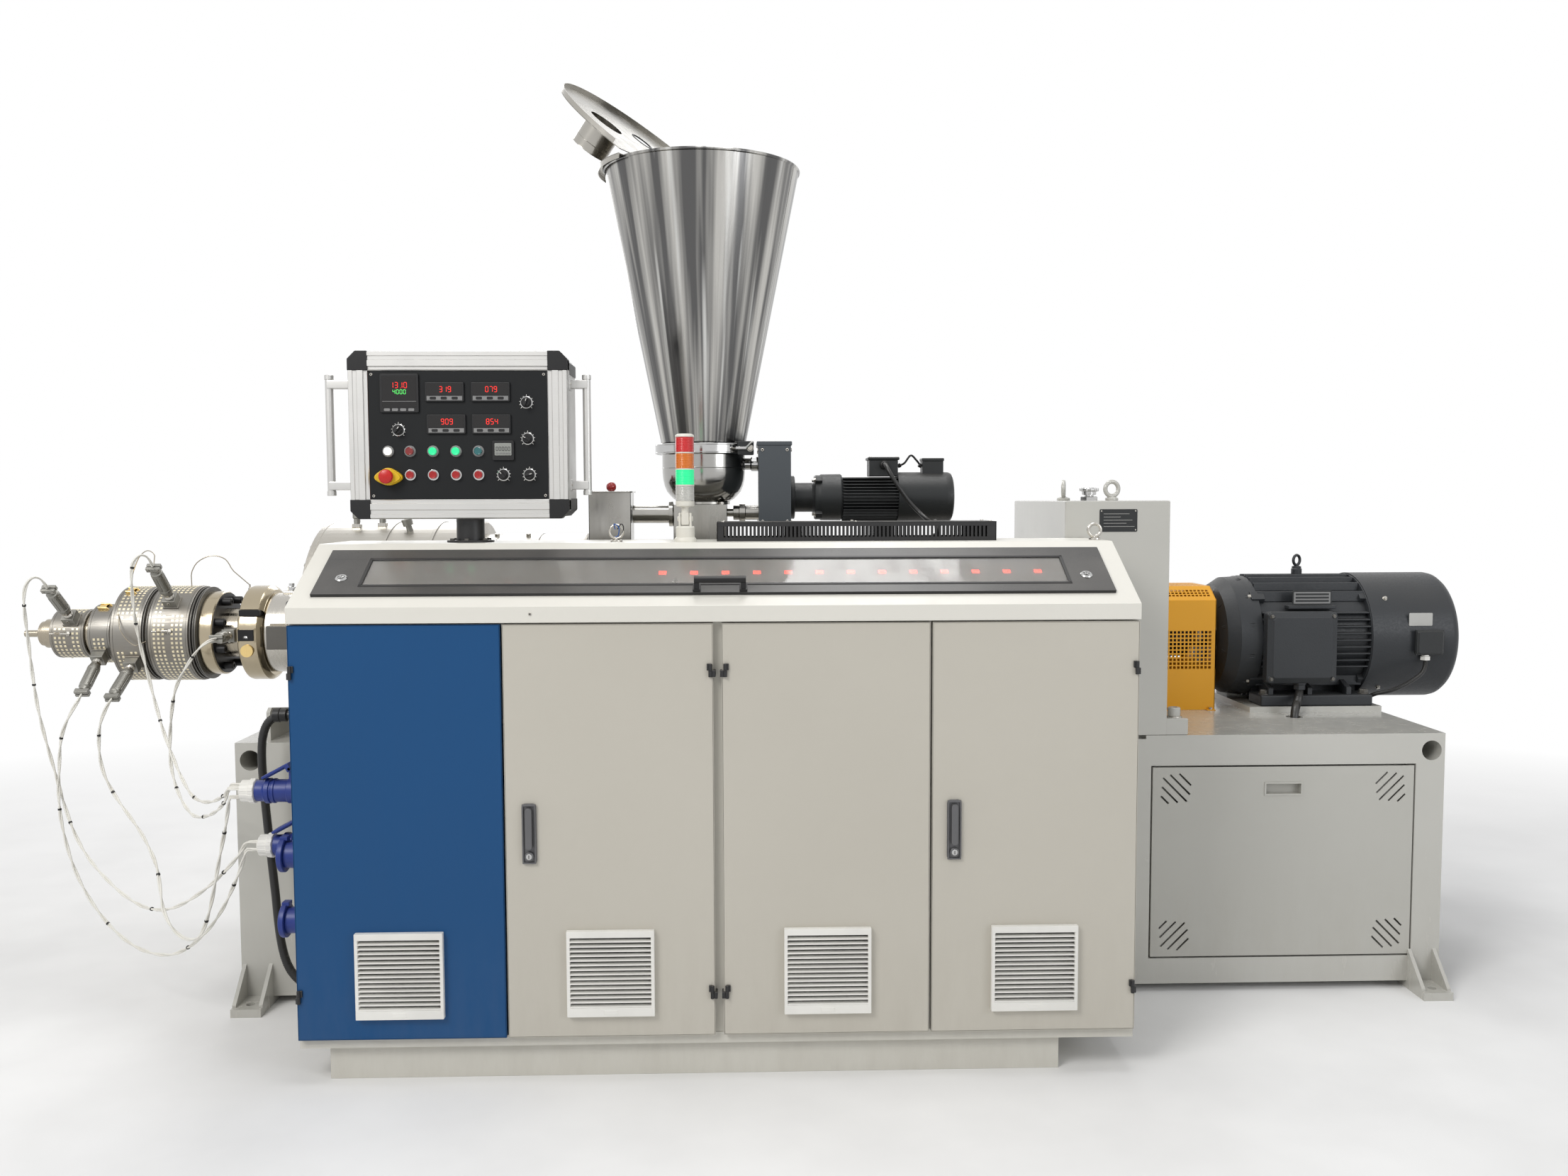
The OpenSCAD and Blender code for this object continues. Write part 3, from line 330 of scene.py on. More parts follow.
def make_rolled_sheet():
    """Polished rolled sheet: light and dark streaks that run up the cone, painted into its colour as reflections of
    what stands round it.
    """
    tree, given, out = effect_group("rolled_sheet", Colour=None, Roughness=0.2)
    parts = parts_of(tree, object_place(tree))
    along = calculate(tree, "SUBTRACT", parts["X"], at(*HOPPER).x)
    across = calculate(tree, "SUBTRACT", parts["Y"], at(*HOPPER).y)
    angle = calculate(tree, "ARCTAN2", across, along)
    joined = tree.nodes.new("ShaderNodeCombineXYZ")
    put(joined.inputs["X"], calculate(tree, "MULTIPLY", angle, 1.6))
    put(joined.inputs["Y"], calculate(tree, "MULTIPLY", parts["Z"], 0.22))
    streak = noise(tree, joined.outputs[0], 2.6, 3, 0.55)
    fine = noise(tree, joined.outputs[0], 26, 3, 0.6)
    # Painted reflections: dark, then bright streaks mixed into the colour in place of what the sheet mirrors
    dark = spread(tree, streak, 0.38, 0.56)
    with_painted_reflections = mix_colour(tree, calculate(tree, "MULTIPLY", dark, 0.9), given["Colour"], (0.07, 0.07, 0.073))
    bright = spread(tree, noise(tree, joined.outputs[0], 4.3, 2, 0.5), 0.6, 0.72)
    with_painted_reflections = mix_colour(tree, calculate(tree, "MULTIPLY", bright, 0.75), with_painted_reflections, (0.72, 0.72, 0.7))
    lined = mix_colour(tree, spread(tree, fine, 0.35, 0.7, 0, 0.25), with_painted_reflections, (0.8, 0.79, 0.76), "MULTIPLY")
    put(out["Colour"], lined)
    put(out["Roughness"], calculate(tree, "ADD", given["Roughness"], spread(tree, fine, 0.3, 0.7, -0.03, 0.08), True))
    put(out["Height"], fine)
    return tree


def make_braid_weave():
    """Glass-fibre braid: crossing yarns, a little grey where it has been handled."""
    tree, given, out = effect_group("braid_weave", Colour=None, Roughness=0.5)
    place = object_place(tree)
    left = noise(tree, stretched(tree, place, (700, 700, 2400)), 1, 2, 0.5)
    right = noise(tree, stretched(tree, place, (2400, 700, 700)), 1, 2, 0.5)
    yarns = calculate(tree, "MAXIMUM", left, right)
    soiled = noise(tree, place, 14, 4, 0.6)
    aged = mix_colour(tree, spread(tree, soiled, 0.45, 0.8, 0, 0.35), given["Colour"], (0.5, 0.46, 0.38))
    put(out["Colour"], mix_colour(tree, spread(tree, yarns, 0.45, 0.62, 0.45, 0), aged, (0.5, 0.48, 0.43),
                                  "MULTIPLY"))
    put(out["Roughness"], calculate(tree, "ADD", given["Roughness"],
                                    spread(tree, soiled, 0.3, 0.7, -0.08, 0.12), True))
    put(out["Height"], yarns)
    return tree


PAINT_SKIN = make_paint_skin()
METAL_GRAIN = make_metal_grain()
CAST_SKIN = make_cast_skin()
ROLLED_SHEET = make_rolled_sheet()
BRAID_WEAVE = make_braid_weave()


def finish(name, effect, metallic=0.0, bump=0.2, relief=0.0005, fixed=(), **values):
    """A material whose colour, gloss and bump come from one of the effects, with its own values."""
    mat = bpy.data.materials.new(name)
    mat.use_nodes = True
    tree = mat.node_tree
    bsdf = tree.nodes["Principled BSDF"]
    bsdf.inputs["Metallic"].default_value = metallic
    for label, value in dict(fixed).items():
        put(bsdf.inputs[label], value)
    group = tree.nodes.new("ShaderNodeGroup")
    group.node_tree = effect
    for label, value in values.items():
        put(group.inputs[label.capitalize()], value)
    raised = tree.nodes.new("ShaderNodeBump")
    raised.inputs["Strength"].default_value = bump
    raised.inputs["Distance"].default_value = relief
    put(bsdf.inputs["Base Color"], group.outputs["Colour"])
    put(bsdf.inputs["Roughness"], group.outputs["Roughness"])
    put(raised.inputs["Height"], group.outputs["Height"])
    put(bsdf.inputs["Normal"], raised.outputs["Normal"])
    return mat


def paint(name, colour, **values):
    """Sprayed paint."""
    return finish(name, PAINT_SKIN, colour=colour, **values)


def bare_metal(name, colour, metallic=1.0, **values):
    """Bare metal or glass, whose marks are drawn out as stretch says."""
    return finish(name, METAL_GRAIN, metallic, colour=colour, **values)


def cast(name, colour, **values):
    """Cast iron, or plastic out of a mould."""
    return finish(name, CAST_SKIN, colour=colour, **values)


# Finishes

DULL_GLOSS = {"Specular IOR Level": 0.35}
FRAME_PAINT = paint("frame_paint", (0.52, 0.515, 0.48), shade=0.08, dust=0.2, roughness=0.2, bump=0.12,
                    fixed={"Coat Weight": 0.35, "Coat Roughness": 0.12})
PANEL_PAINT = paint("panel_paint", (0.47, 0.465, 0.43), roughness=0.42)
CABINET_PAINT = paint("cabinet_paint", (0.6, 0.585, 0.53), shade=0.04, dust=0.25, roughness=0.4)
DOOR_PAINT = paint("door_paint", (0.52, 0.495, 0.435), shade=0.05, dust=0.35, roughness=0.42)
BLUE_PAINT = paint("blue_paint", (0.001, 0.06, 0.185), shade=0.05, dust=0.06, roughness=0.4, fixed=DULL_GLOSS)
GUARD_PAINT = paint("guard_paint", (0.86, 0.4, 0.008), dust=0.08, roughness=0.33)
MOTOR_GREY = cast("motor_grey", (0.028, 0.031, 0.035), grain=170, roughness=0.42, dust=0.15, bump=0.35, relief=0.0008,
                  fixed=DULL_GLOSS)
MOTOR_BLACK = cast("motor_black", (0.02, 0.022, 0.023), grain=170, roughness=0.42, dust=0.12, bump=0.3,
                   fixed=DULL_GLOSS)
DARK_STEEL = cast("dark_steel", (0.12, 0.115, 0.105), metallic=0.6, grain=260, roughness=0.45)
DRIVE_PAINT = paint("drive_paint", (0.06, 0.07, 0.08), dust=0.2)
STAINLESS = bare_metal("stainless", (0.42, 0.41, 0.385), stretch=(60, 60, 1.2), roughness=0.17, grain=0.06,
                       stain=0.06, bump=0.06)
BRIGHT_STEEL = bare_metal("bright_steel", (0.5, 0.48, 0.44), stretch=(900, 14, 14), roughness=0.22, stain=0.1,
                          bump=0.15)
COVER_STEEL = bare_metal("cover_steel", (0.46, 0.44, 0.4), stretch=(6, 260, 260), roughness=0.33, stain=0.1, bump=0.1)
MACHINED_STEEL = bare_metal("machined_steel", (0.4, 0.36, 0.29), stretch=(1200, 12, 12), roughness=0.2, grain=0.12,
                            stain=0.35)
BAND_STEEL = bare_metal("band_steel", (0.25, 0.24, 0.22), stretch=(14, 400, 400), roughness=0.36, stain=0.25,
                        bump=0.12)
PLUG_METAL = cast("plug_metal", (0.3, 0.295, 0.27), metallic=0.85, grain=420, roughness=0.42, dust=0.2)
CHROME = bare_metal("chrome", (0.52, 0.52, 0.515), stretch=(40, 40, 40), roughness=0.08, grain=0.04, stain=0.05,
                    bump=0.03)
ALUMINIUM = bare_metal("anodised_aluminium", (0.6, 0.595, 0.58), metallic=0.75, stretch=(5, 700, 700), roughness=0.36,
                       grain=0.05, stain=0.03, bump=0.05)
BLACK_PLASTIC = cast("black_plastic", (0.011, 0.011, 0.012), grain=900, roughness=0.4, dust=0.1, fixed=DULL_GLOSS)
PANEL_BLACK = cast("panel_black", (0.008, 0.009, 0.01), grain=1400, dust=0.0, bump=0.06,
                   fixed={"Specular IOR Level": 0.22})
HINGE_ZINC = cast("hinge_black", (0.01, 0.01, 0.011), grain=700, roughness=0.4, dust=0.2)
LOCK_ZINC = cast("lock_grey", (0.13, 0.13, 0.135), metallic=0.4, grain=900, roughness=0.4, dust=0.1)
WHITE_PLASTIC = cast("white_plastic", (0.82, 0.81, 0.77), grain=1100, roughness=0.45, dust=0.1, bump=0.1)
IVORY_PLASTIC = cast("ivory_plastic", (0.78, 0.76, 0.69), grain=900, roughness=0.4, dust=0.1, bump=0.1)
SOCKET_BLUE = cast("socket_blue", (0.008, 0.03, 0.22), grain=1000, roughness=0.4, dust=0.15, bump=0.1)
HOPPER_STEEL = finish("hopper_steel", ROLLED_SHEET, metallic=1.0, colour=(0.5, 0.49, 0.465), roughness=0.2, bump=0.05)
LID_STEEL = bare_metal("lid_steel", (0.42, 0.405, 0.37), stretch=(30, 30, 3), roughness=0.2, grain=0.05, stain=0.05,
                       bump=0.05)
MIRROR_STEEL = bare_metal("mirror_steel", (0.4, 0.395, 0.38), stretch=(8, 8, 500), roughness=0.1, grain=0.05,
                          stain=0.04, bump=0.04)
FLANGE_BRIGHT = bare_metal("flange_bright", (0.44, 0.38, 0.275), stretch=(1500, 10, 10), roughness=0.13, grain=0.08,
                           stain=0.12, bump=0.1)
WINDOW_BRIGHT = bare_metal("band_window", (0.8, 0.72, 0.52), stretch=(40, 40, 40), roughness=0.3, grain=0.05,
                           stain=0.1)
BRASS = bare_metal("brass", (0.78, 0.58, 0.25), stretch=(30, 400, 30), grain=0.08, stain=0.2)
# Near black: painted shade on the die flange's ring, in the clamp's gaps and window and in a valve's socket; also the
# own colour of the counter's figures and of the black cap screws on the die flange, which stand in that shade
BLACK_AND_PAINTED_SHADE = cast("black_and_painted_shade", (0.012, 0.012, 0.013), metallic=0.5, grain=500, roughness=0.42, dust=0.1)
GAP_SHADOW = cast("gap_shadow", (0.02, 0.02, 0.02), grain=300, roughness=0.8, dust=0.2)
OIL_GLASS = cast("oil_glass", (0.35, 0.22, 0.06), grain=300, roughness=0.08, dust=0.0, bump=0.02)
KNOB_RED = cast("knob_red", (0.5, 0.012, 0.01), grain=900, roughness=0.22, dust=0.05, bump=0.03,
                fixed={"Coat Weight": 0.5})
FASCIA_PAINT = paint("fascia_paint", (0.72, 0.705, 0.65), shade=0.04, dust=0.12, roughness=0.36)
BACK_PLATE = paint("back_plate", (0.6, 0.58, 0.5), shade=0.05, dust=0.2, roughness=0.4)
VENT_BLACK = paint("vent_black", (0.012, 0.012, 0.013), shade=0.05, dust=0.35, roughness=0.4)
RUST_LINE = paint("rust_line", (0.12, 0.045, 0.02), shade=0.2, dust=0.1, roughness=0.6)
CONDUIT_BLACK = cast("conduit_black", (0.012, 0.012, 0.012), grain=900, roughness=0.38, dust=0.2)
CABLE_BLUE = cast("cable_blue", (0.01, 0.09, 0.35), grain=900, roughness=0.35, dust=0.1)
KEY_GREY = cast("key_grey", (0.22, 0.22, 0.22), grain=900, roughness=0.42, dust=0.1, bump=0.06)
SCREEN_BLACK = cast("screen_black", (0.006, 0.005, 0.005), grain=300, roughness=0.12, dust=0.0, bump=0.02)
SCREEN_GREY = cast("screen_grey", (0.3, 0.31, 0.29), grain=300, roughness=0.15, dust=0.0, bump=0.02)
LEAD_BRAID = finish("lead_braid", BRAID_WEAVE, colour=(0.88, 0.87, 0.82), roughness=0.5, bump=0.3, relief=0.0003)
STOP_RED = cast("stop_red", (0.55, 0.012, 0.01), grain=900, roughness=0.3, dust=0.05, bump=0.04)
BUTTON_RED = cast("button_red", (0.38, 0.012, 0.012), grain=900, roughness=0.25, dust=0.0, bump=0.03)
GUARD_PLASTIC = cast("guard_plastic", (0.75, 0.48, 0.01), grain=900, roughness=0.35, dust=0.05, bump=0.05)
# Painted shade: the mat behind the grille blades is near black so that their gaps read as shade
FILTER_MAT_PAINTED_SHADE = cast("filter_mat_painted_shade", (0.03, 0.03, 0.029), grain=500, roughness=0.8, dust=0.2, bump=0.5)
WINDOW_BLACK = cast("window_black", (0.013, 0.013, 0.014), grain=700, roughness=0.33, dust=0.35, bump=0.06)
LAMP_STRIP = paint("lamp_strip", (0.42, 0.4, 0.37), shade=0.3)
LAMP_MARK = cast("lamp_mark", (0.5, 0.5, 0.48), grain=300)
SMOKED_PANE = bare_metal("smoked_pane", (0.6, 0.59, 0.57), metallic=0.0, stretch=(9, 3, 3), roughness=0.1, stain=0.2,
                         bump=0.02, fixed={"Transmission Weight": 0.8, "IOR": 1.45})


def lens(name, colour, roughness=0.1, clear=0.2):
    """Coloured lens plastic, smooth and a little see-through."""
    return cast(name, colour, grain=400, roughness=roughness, dust=0.0, bump=0.02,
                fixed={"Transmission Weight": clear, "Coat Weight": 0.5})


LENS_WHITE = lens("lens_white", (0.72, 0.72, 0.68), 0.12, 0.25)
LENS_AMBER = lens("lens_amber", (0.88, 0.22, 0.006))
LENS_RED = lens("lens_red", (0.3, 0.008, 0.008))
LENS_TEAL = lens("lens_teal", (0.01, 0.16, 0.17))
SIGNAL_RED = lens("signal_red", (0.72, 0.008, 0.012), clear=0.1)


def glowing(name, colour, strength, base):
    """A lamp's lens or a lit figure: coloured plastic that glows a little more at its middle."""
    mat = cast(name, base, grain=600, roughness=0.25, dust=0.0, bump=0.03)
    tree = mat.node_tree
    bsdf = tree.nodes["Principled BSDF"]
    facing = tree.nodes.new("ShaderNodeLayerWeight")
    facing.inputs["Blend"].default_value = 0.4
    inner = spread(tree, facing.outputs["Facing"], 0, 1, 1.0, 0.45)
    put(bsdf.inputs["Emission Color"], mix_colour(tree, inner, tuple(c * 0.3 for c in colour), colour))
    bsdf.inputs["Emission Strength"].default_value = strength
    return mat


GLOW_RED = glowing("figure_red", (1.0, 0.03, 0.02), 1.1, (0.3, 0.01, 0.01))
GLOW_GREEN = glowing("figure_green", (0.15, 1.0, 0.2), 0.9, (0.03, 0.3, 0.05))
LAMP_GREEN = glowing("lamp_green", (0.02, 0.75, 0.3), 0.9, (0.01, 0.35, 0.12))
GLOW_WHITE = glowing("lamp_white", (1.0, 0.97, 0.9), 0.9, (0.8, 0.8, 0.78))
LAMP_RED = glowing("lamp_red", (1.0, 0.04, 0.02), 9.0, (0.6, 0.02, 0.02))

NODE_FINISH = {
    FRAME_PAINT: ["base_frame", "anchor_feet", "gearbox", "lifting_eyes"],
    LEAD_BRAID: ["lead_a", "lead_b", "lead_c", "lead_d", "lead_e"],
    CONDUIT_BLACK: ["side_conduit", "motor_conduit", "feed_conduit"],
    PANEL_PAINT: ["base_panel"],
    CABINET_PAINT: ["cabinet", "cabinet_plinth"],
    DOOR_PAINT: ["door_b", "door_c", "door_d"],
    BLUE_PAINT: ["door_a"],
    GUARD_PAINT: ["coupling_guard"],
    MOTOR_GREY: ["main_motor", "motor_cowl", "motor_boxes"],
    MOTOR_BLACK: ["feed_motor", "hopper_clamp"],
    DARK_STEEL: ["barrel_support"],
    DRIVE_PAINT: ["feed_drive"],
    STAINLESS: ["hopper_cone", "hopper_lid", "hopper_flap", "feed_bowl", "feed_throat", "drop_chute"],
    BRIGHT_STEEL: ["barrel"],
    COVER_STEEL: ["barrel_cover"],
    MACHINED_STEEL: ["clamp_flange", "die_body"],
    BAND_STEEL: ["heater_bands"],
    PLUG_METAL: ["heater_plugs"],
    CHROME: ["breather_caps"],
    ALUMINIUM: ["control_box", "control_handles"],
    BLACK_PLASTIC: ["window_frame", "window_handle", "vent_cover"],
    PANEL_BLACK: ["control_panel", "panel_instruments", "window_glass"],
    HINGE_ZINC: ["hinge_blocks", "control_post"],
    LOCK_ZINC: ["lock_b", "lock_d"],
    WHITE_PLASTIC: ["grille_a", "grille_b", "grille_c", "grille_d", "power_plugs"],
    IVORY_PLASTIC: ["signal_stem", "signal_lenses"],
    SOCKET_BLUE: ["power_sockets"],
}
for node_finish, names in NODE_FINISH.items():
    for node_name in names:
        for material_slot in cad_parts[node_name].material_slots:
            material_slot.material = node_finish


# Making shapes


def turned(place, angle, axis):
    """A matrix that puts the origin at a place and turns by an angle in degrees about an axis."""
    return Matrix.Translation(place) @ Matrix.Rotation(radians(angle), 4, axis)


def aimed(base, direction, spin=0.0):
    """Puts a piece drawn up the z axis on a base point, along a direction."""
    turn = Vector(direction).to_track_quat("Z", "Y").to_matrix().to_4x4()
    return Matrix.Translation(base) @ turn @ Matrix.Rotation(spin, 4, "Z")


def spokes(place, count, start=0, axis="X"):
    """Matrices that stand evenly round an axis, the first at an angle in degrees."""
    return [turned(place, start + 360 * k / count, axis) for k in range(count)]


def half_chord(radius, off):
    """Half the width of a circle at a distance from its middle."""
    return sqrt(radius ** 2 - off ** 2)


def bevel(part, edge, steps):
    """Bevels every edge of a bmesh, unless the bevel's width is 0."""
    if edge:
        bmesh.ops.bevel(part, geom=part.edges[:], offset=edge, segments=steps, profile=0.5, affect="EDGES")


def bridge(part, near, far):
    """Faces between two closed rings of points."""
    for k in range(len(near)):
        n = (k + 1) % len(near)
        part.faces.new((near[k], near[n], far[n], far[k]))


def loft(part, rings):
    """Faces from ring to ring, and one over each end."""
    for near, far in zip(rings, rings[1:]):
        bridge(part, near, far)
    part.faces.new(rings[0])
    part.faces.new(rings[-1])


class Shape:
    """Solids gathered into one mesh, in mm along the drawing's axes, each with its own finish."""

    def __init__(self):
        self.mesh = bmesh.new()
        self.finishes = []

    def take(self, part, finish, turn=None):
        """Adds a bmesh with one finish, turned or moved by a matrix first."""
        if turn is not None:
            part.transform(turn)
        if finish not in self.finishes:
            self.finishes.append(finish)
        bmesh.ops.recalc_face_normals(part, faces=part.faces[:])
        for face in part.faces:
            face.material_index = self.finishes.index(finish)
            face.smooth = True
        data = bpy.data.meshes.new("part")
        part.to_mesh(data)
        part.free()
        self.mesh.from_mesh(data)
        bpy.data.meshes.remove(data)

    def block(self, low, high, finish, edge=1.0, steps=1, turn=None):
        """A box between two corners, its edges bevelled."""
        part = bmesh.new()
        bmesh.ops.create_cube(part, size=1)
        low, high = Vector(low), Vector(high)
        for vert in part.verts:
            vert.co = low + Vector(((high - low)[i] * (vert.co[i] + 0.5) for i in range(3)))
        bevel(part, edge, steps)
        self.take(part, finish, turn)

    def surround(self, outer, inner, axis, low, high, finish, lap=0, **more):
        """Four bars round an opening: two over the whole width, and two beside it that lap over those."""
        (x0, y0, x1, y1), (a0, b0, a1, b1) = outer, inner
        for near, far in (((x0, y0), (x1, b0)), ((x0, b1), (x1, y1)), ((x0, b0 - lap), (a0, b1 + lap)),
                          ((a1, b0 - lap), (x1, b1 + lap))):
            if axis == "y":
                self.block((near[0], low, near[1]), (far[0], high, far[1]), finish, **more)
            else:
                self.block((*near, low), (*far, high), finish, **more)

    def prism(self, outline, axis, low, high, finish, edge=0.0, steps=1, turn=None):
        """An outline drawn along an axis: of y and z along x, of x and z along y, or of x and y along z."""
        order = {"x": (2, 0, 1), "y": (0, 2, 1), "z": (0, 1, 2)}[axis]
        part = bmesh.new()
        rings = []
        for level in (low, high):
            corners = [(a, b, level) for a, b in outline]
            rings.append([part.verts.new((c[order[0]], c[order[1]], c[order[2]])) for c in corners])
        part.faces.new(rings[0])
        part.faces.new(reversed(rings[1]))
        count = len(outline)
        for i in range(count):
            j = (i + 1) % count
            part.faces.new((rings[0][j], rings[0][i], rings[1][i], rings[1][j]))
        bmesh.ops.recalc_face_normals(part, faces=part.faces[:])
        bevel(part, edge, steps)
        self.take(part, finish, turn)

    def lathe(self, profile, centre, axis, finish, sides=64, loop=False, turn=None):
        """A profile of (distance along the axis, radius) turned about a line through centre."""
        side = {"x": (Vector((0, 1, 0)), Vector((0, 0, 1)), Vector((1, 0, 0))),
                "y": (Vector((1, 0, 0)), Vector((0, 0, 1)), Vector((0, 1, 0))),
                "z": (Vector((1, 0, 0)), Vector((0, 1, 0)), Vector((0, 0, 1)))}[axis]
        part = bmesh.new()
        rings = []
        for along, radius in profile:
            if radius < 1e-6:
                rings.append([part.verts.new(Vector(centre) + side[2] * along)] * sides)
                continue
            rings.append([
                part.verts.new(Vector(centre) + side[2] * along
                               + (side[0] * cos(2 * pi * k / sides) + side[1] * sin(2 * pi * k / sides)) * radius)
                for k in range(sides)])
        pairs = list(zip(rings, rings[1:])) + ([(rings[-1], rings[0])] if loop else [])
        for near, far in pairs:
            for k in range(sides):
                corners = [near[k], near[(k + 1) % sides], far[(k + 1) % sides], far[k]]
                corners = list(dict.fromkeys(corners))
                if len(corners) > 2:
                    part.faces.new(corners)
        if not loop:
            for ring in (rings[0], rings[-1]):
                if ring[0] is not ring[1]:
                    part.faces.new(ring)
        self.take(part, finish, turn)

    def spin(self, profile, turn, finish, sides=24):
        """A profile turned about the z axis of a matrix."""
        self.lathe(profile, (0, 0, 0), "z", finish, sides, turn=turn)

    def rod(self, start, end, radius, finish, sides=24, edge=0.0):
        """A round bar between two points, with its ends chamfered."""
        along = Vector(end) - Vector(start)
        profile = [(0, radius), (along.length, radius)]
        if edge:
            profile = [(0, radius - edge), (edge, radius), (along.length - edge, radius),
                       (along.length, radius - edge)]
        self.spin(profile, aimed(start, along), finish, sides)

    def ring(self, centre, axis, radius, wire, finish, sides=48, wire_sides=12, turn=None):
        """A wire of round section bent into a ring."""
        profile = [(wire * sin(2 * pi * k / wire_sides), radius + wire * cos(2 * pi * k / wire_sides))
                   for k in range(wire_sides)]
        self.lathe(profile, centre, axis, finish, sides, loop=True, turn=turn)

    def tube(self, points, radius, finish, sides=10):
        """A round tube along the points, closed at its ends, of one radius or of one for each point."""
        part = bmesh.new()
        line = [Vector(p) for p in points]
        radii = radius if isinstance(radius, list) else [radius] * len(line)
        rings = []
        for (point, _, across, other), size in zip(line_frames(line), radii):
            rings.append([part.verts.new(point + (across * cos(2 * pi * k / sides)
                                                  + other * sin(2 * pi * k / sides)) * size) for k in range(sides)])
        loft(part, rings)
        self.take(part, finish)

    def build(self, name, body, nodes=(), sharp=32):
        """Makes the piece, in the frame's metres. It rides on its body and stands for the CAD nodes named."""
        self.mesh.transform(Matrix.Scale(MM, 4) @ Matrix.Translation((-DRAWING_X, -DRAWING_Y, 0)))
        data = bpy.data.meshes.new(name)
        self.mesh.to_mesh(data)
        self.mesh.free()
        data.set_sharp_from_angle(angle=radians(sharp))
        for finish in self.finishes:
            data.materials.append(finish)
        piece = bpy.data.objects.new(name, data)
        bpy.context.scene.collection.objects.link(piece)
        even = piece.modifiers.new("even_normals", "WEIGHTED_NORMAL")
        even.keep_sharp = True
        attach(piece, body)
        if nodes:
            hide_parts(*nodes)
        return piece


def smooth_line(points, steps=6):
    """Points along a Catmull-Rom line through the given ones."""
    knots = [Vector(p) for p in points]
    knots = [knots[0] * 2 - knots[1]] + knots + [knots[-1] * 2 - knots[-2]]
    line = []
    for a, b, c, d in zip(knots, knots[1:], knots[2:], knots[3:]):
        for k in range(steps):
            t = k / steps
            line.append(0.5 * (2 * b + (c - a) * t + (2 * a - 5 * b + 4 * c - d) * t * t
                               + (3 * b - a - 3 * c + d) * t ** 3))
    line.append(knots[-2])
    return line


def rounded(x0, y0, x1, y1, radius, steps=5):
    """The outline of a rectangle with round corners."""
    points = []
    for cx, cy, start in ((x1 - radius, y0 + radius, -90), (x1 - radius, y1 - radius, 0),
                          (x0 + radius, y1 - radius, 90), (x0 + radius, y0 + radius, 180)):
        for k in range(steps + 1):
            angle = radians(start + 90 * k / steps)
            points.append((cx + radius * cos(angle), cy + radius * sin(angle)))
    return points


# Leads and conduits, with the routes of the part's source: x, y and z in mm

HEATERS = {"a": (-888, 70, 51, 230), "b": (-805, 85, 129.6, 240), "c": (-688, 136, 121.2, 301),
           "d": (-582, 137, 46.3, 297), "e": (-430, 71, 90, 185)}
LEAD_ROUTES = {
    "a": [(-890, 637, 1155), (-896, 617, 1160), (-905, 602, 1147), (-913, 599, 1120), (-922, 612, 1075),
          (-932, 645, 970), (-925, 665, 790), (-885, 665, 610), (-815, 625, 440), (-700, 545, 345), (-560, 450, 295),
          (-430, 355, 320), (-300, 272, 405), (-212, 212, 488), (-168, 171, 538), (-137, 171, 538)],
    "b": [(-825, 640, 778), (-852, 642, 715), (-862, 642, 620), (-862, 638, 500), (-825, 628, 350), (-745, 598, 230),
          (-620, 520, 165), (-480, 425, 170), (-360, 330, 245), (-270, 262, 345), (-200, 200, 462), (-165, 159, 522),
          (-137, 159, 522)],
    "c": [(-710, 572, 762), (-722, 585, 690), (-705, 575, 620), (-655, 550, 550), (-575, 493, 482), (-502, 420, 405),
          (-466, 367, 310), (-412, 326, 258), (-345, 286, 262), (-300, 255, 345), (-265, 229, 465), (-232, 203, 575),
          (-204, 165, 650), (-177, 165, 650)],
    "d": [(-585, 603, 1217), (-592, 584, 1221), (-602, 571, 1207), (-609, 569, 1178), (-616, 582, 1120),
          (-620, 612, 1010), (-604, 633, 885), (-562, 610, 750), (-490, 535, 645), (-412, 445, 588),
          (-320, 335, 600), (-240, 232, 645), (-205, 178, 677), (-177, 178, 677)],
    "e": [(-438, 627, 978), (-458, 619, 961), (-492, 626, 918), (-538, 648, 845), (-560, 660, 740), (-558, 648, 640),
          (-515, 595, 562), (-425, 475, 530), (-310, 318, 574), (-234, 208, 632), (-204, 152, 674),
          (-177, 152, 674)],
}
SIDE_ROUTE = [(-2, 420, 808), (-60, 420, 808), (-150, 420, 808), (-196, 420, 795), (-218, 420, 745), (-220, 420, 650),
              (-210, 420, 500), (-196, 420, 330), (-186, 420, 210), (-162, 420, 125), (-100, 420, 68), (-20, 420, 45),
              (60, 420, 45)]
BOX_ROUTE = [(2720, 876, 809), (2720, 876, 803), (2717, 871, 781), (2708, 857, 762), (2696, 837, 752),
             (2684, 816, 743), (2675, 802, 724), (2672, 797, 700), (2672, 797, 676)]
FAN_ROUTE = [(3104, 878, 891), (3104, 878, 880), (3101, 872, 860), (3085, 861, 836), (3045, 860, 808),
             (3003, 878, 782), (2974, 912, 768), (2962, 938, 753), (2961, 944, 738), (2961, 944, 725)]
FEED_ROUTE = [(1446, 748, 1464), (1446, 730, 1464), (1449, 712, 1457), (1458, 701, 1438), (1478, 697, 1405),
              (1512, 700, 1358), (1544, 690, 1324), (1560, 655, 1306), (1562, 590, 1302), (1562, 540, 1306),
              (1562, 512, 1297), (1562, 500, 1278), (1562, 500, 1260)]


def with_midways(points):
    """The points with one more between each two, on a smooth line, apart from the straight first and last stretch."""
    line = []
    for i, point in enumerate(points):
        line.append(point)
        if 0 < i < len(points) - 2:
            line.append((9 * (point + points[i + 1]) - points[i - 1] - points[i + 2]) / 16)
    return line


def cord_line(route):
    """A route's points with three more between each two."""
    return with_midways(with_midways([Vector(p) for p in route]))


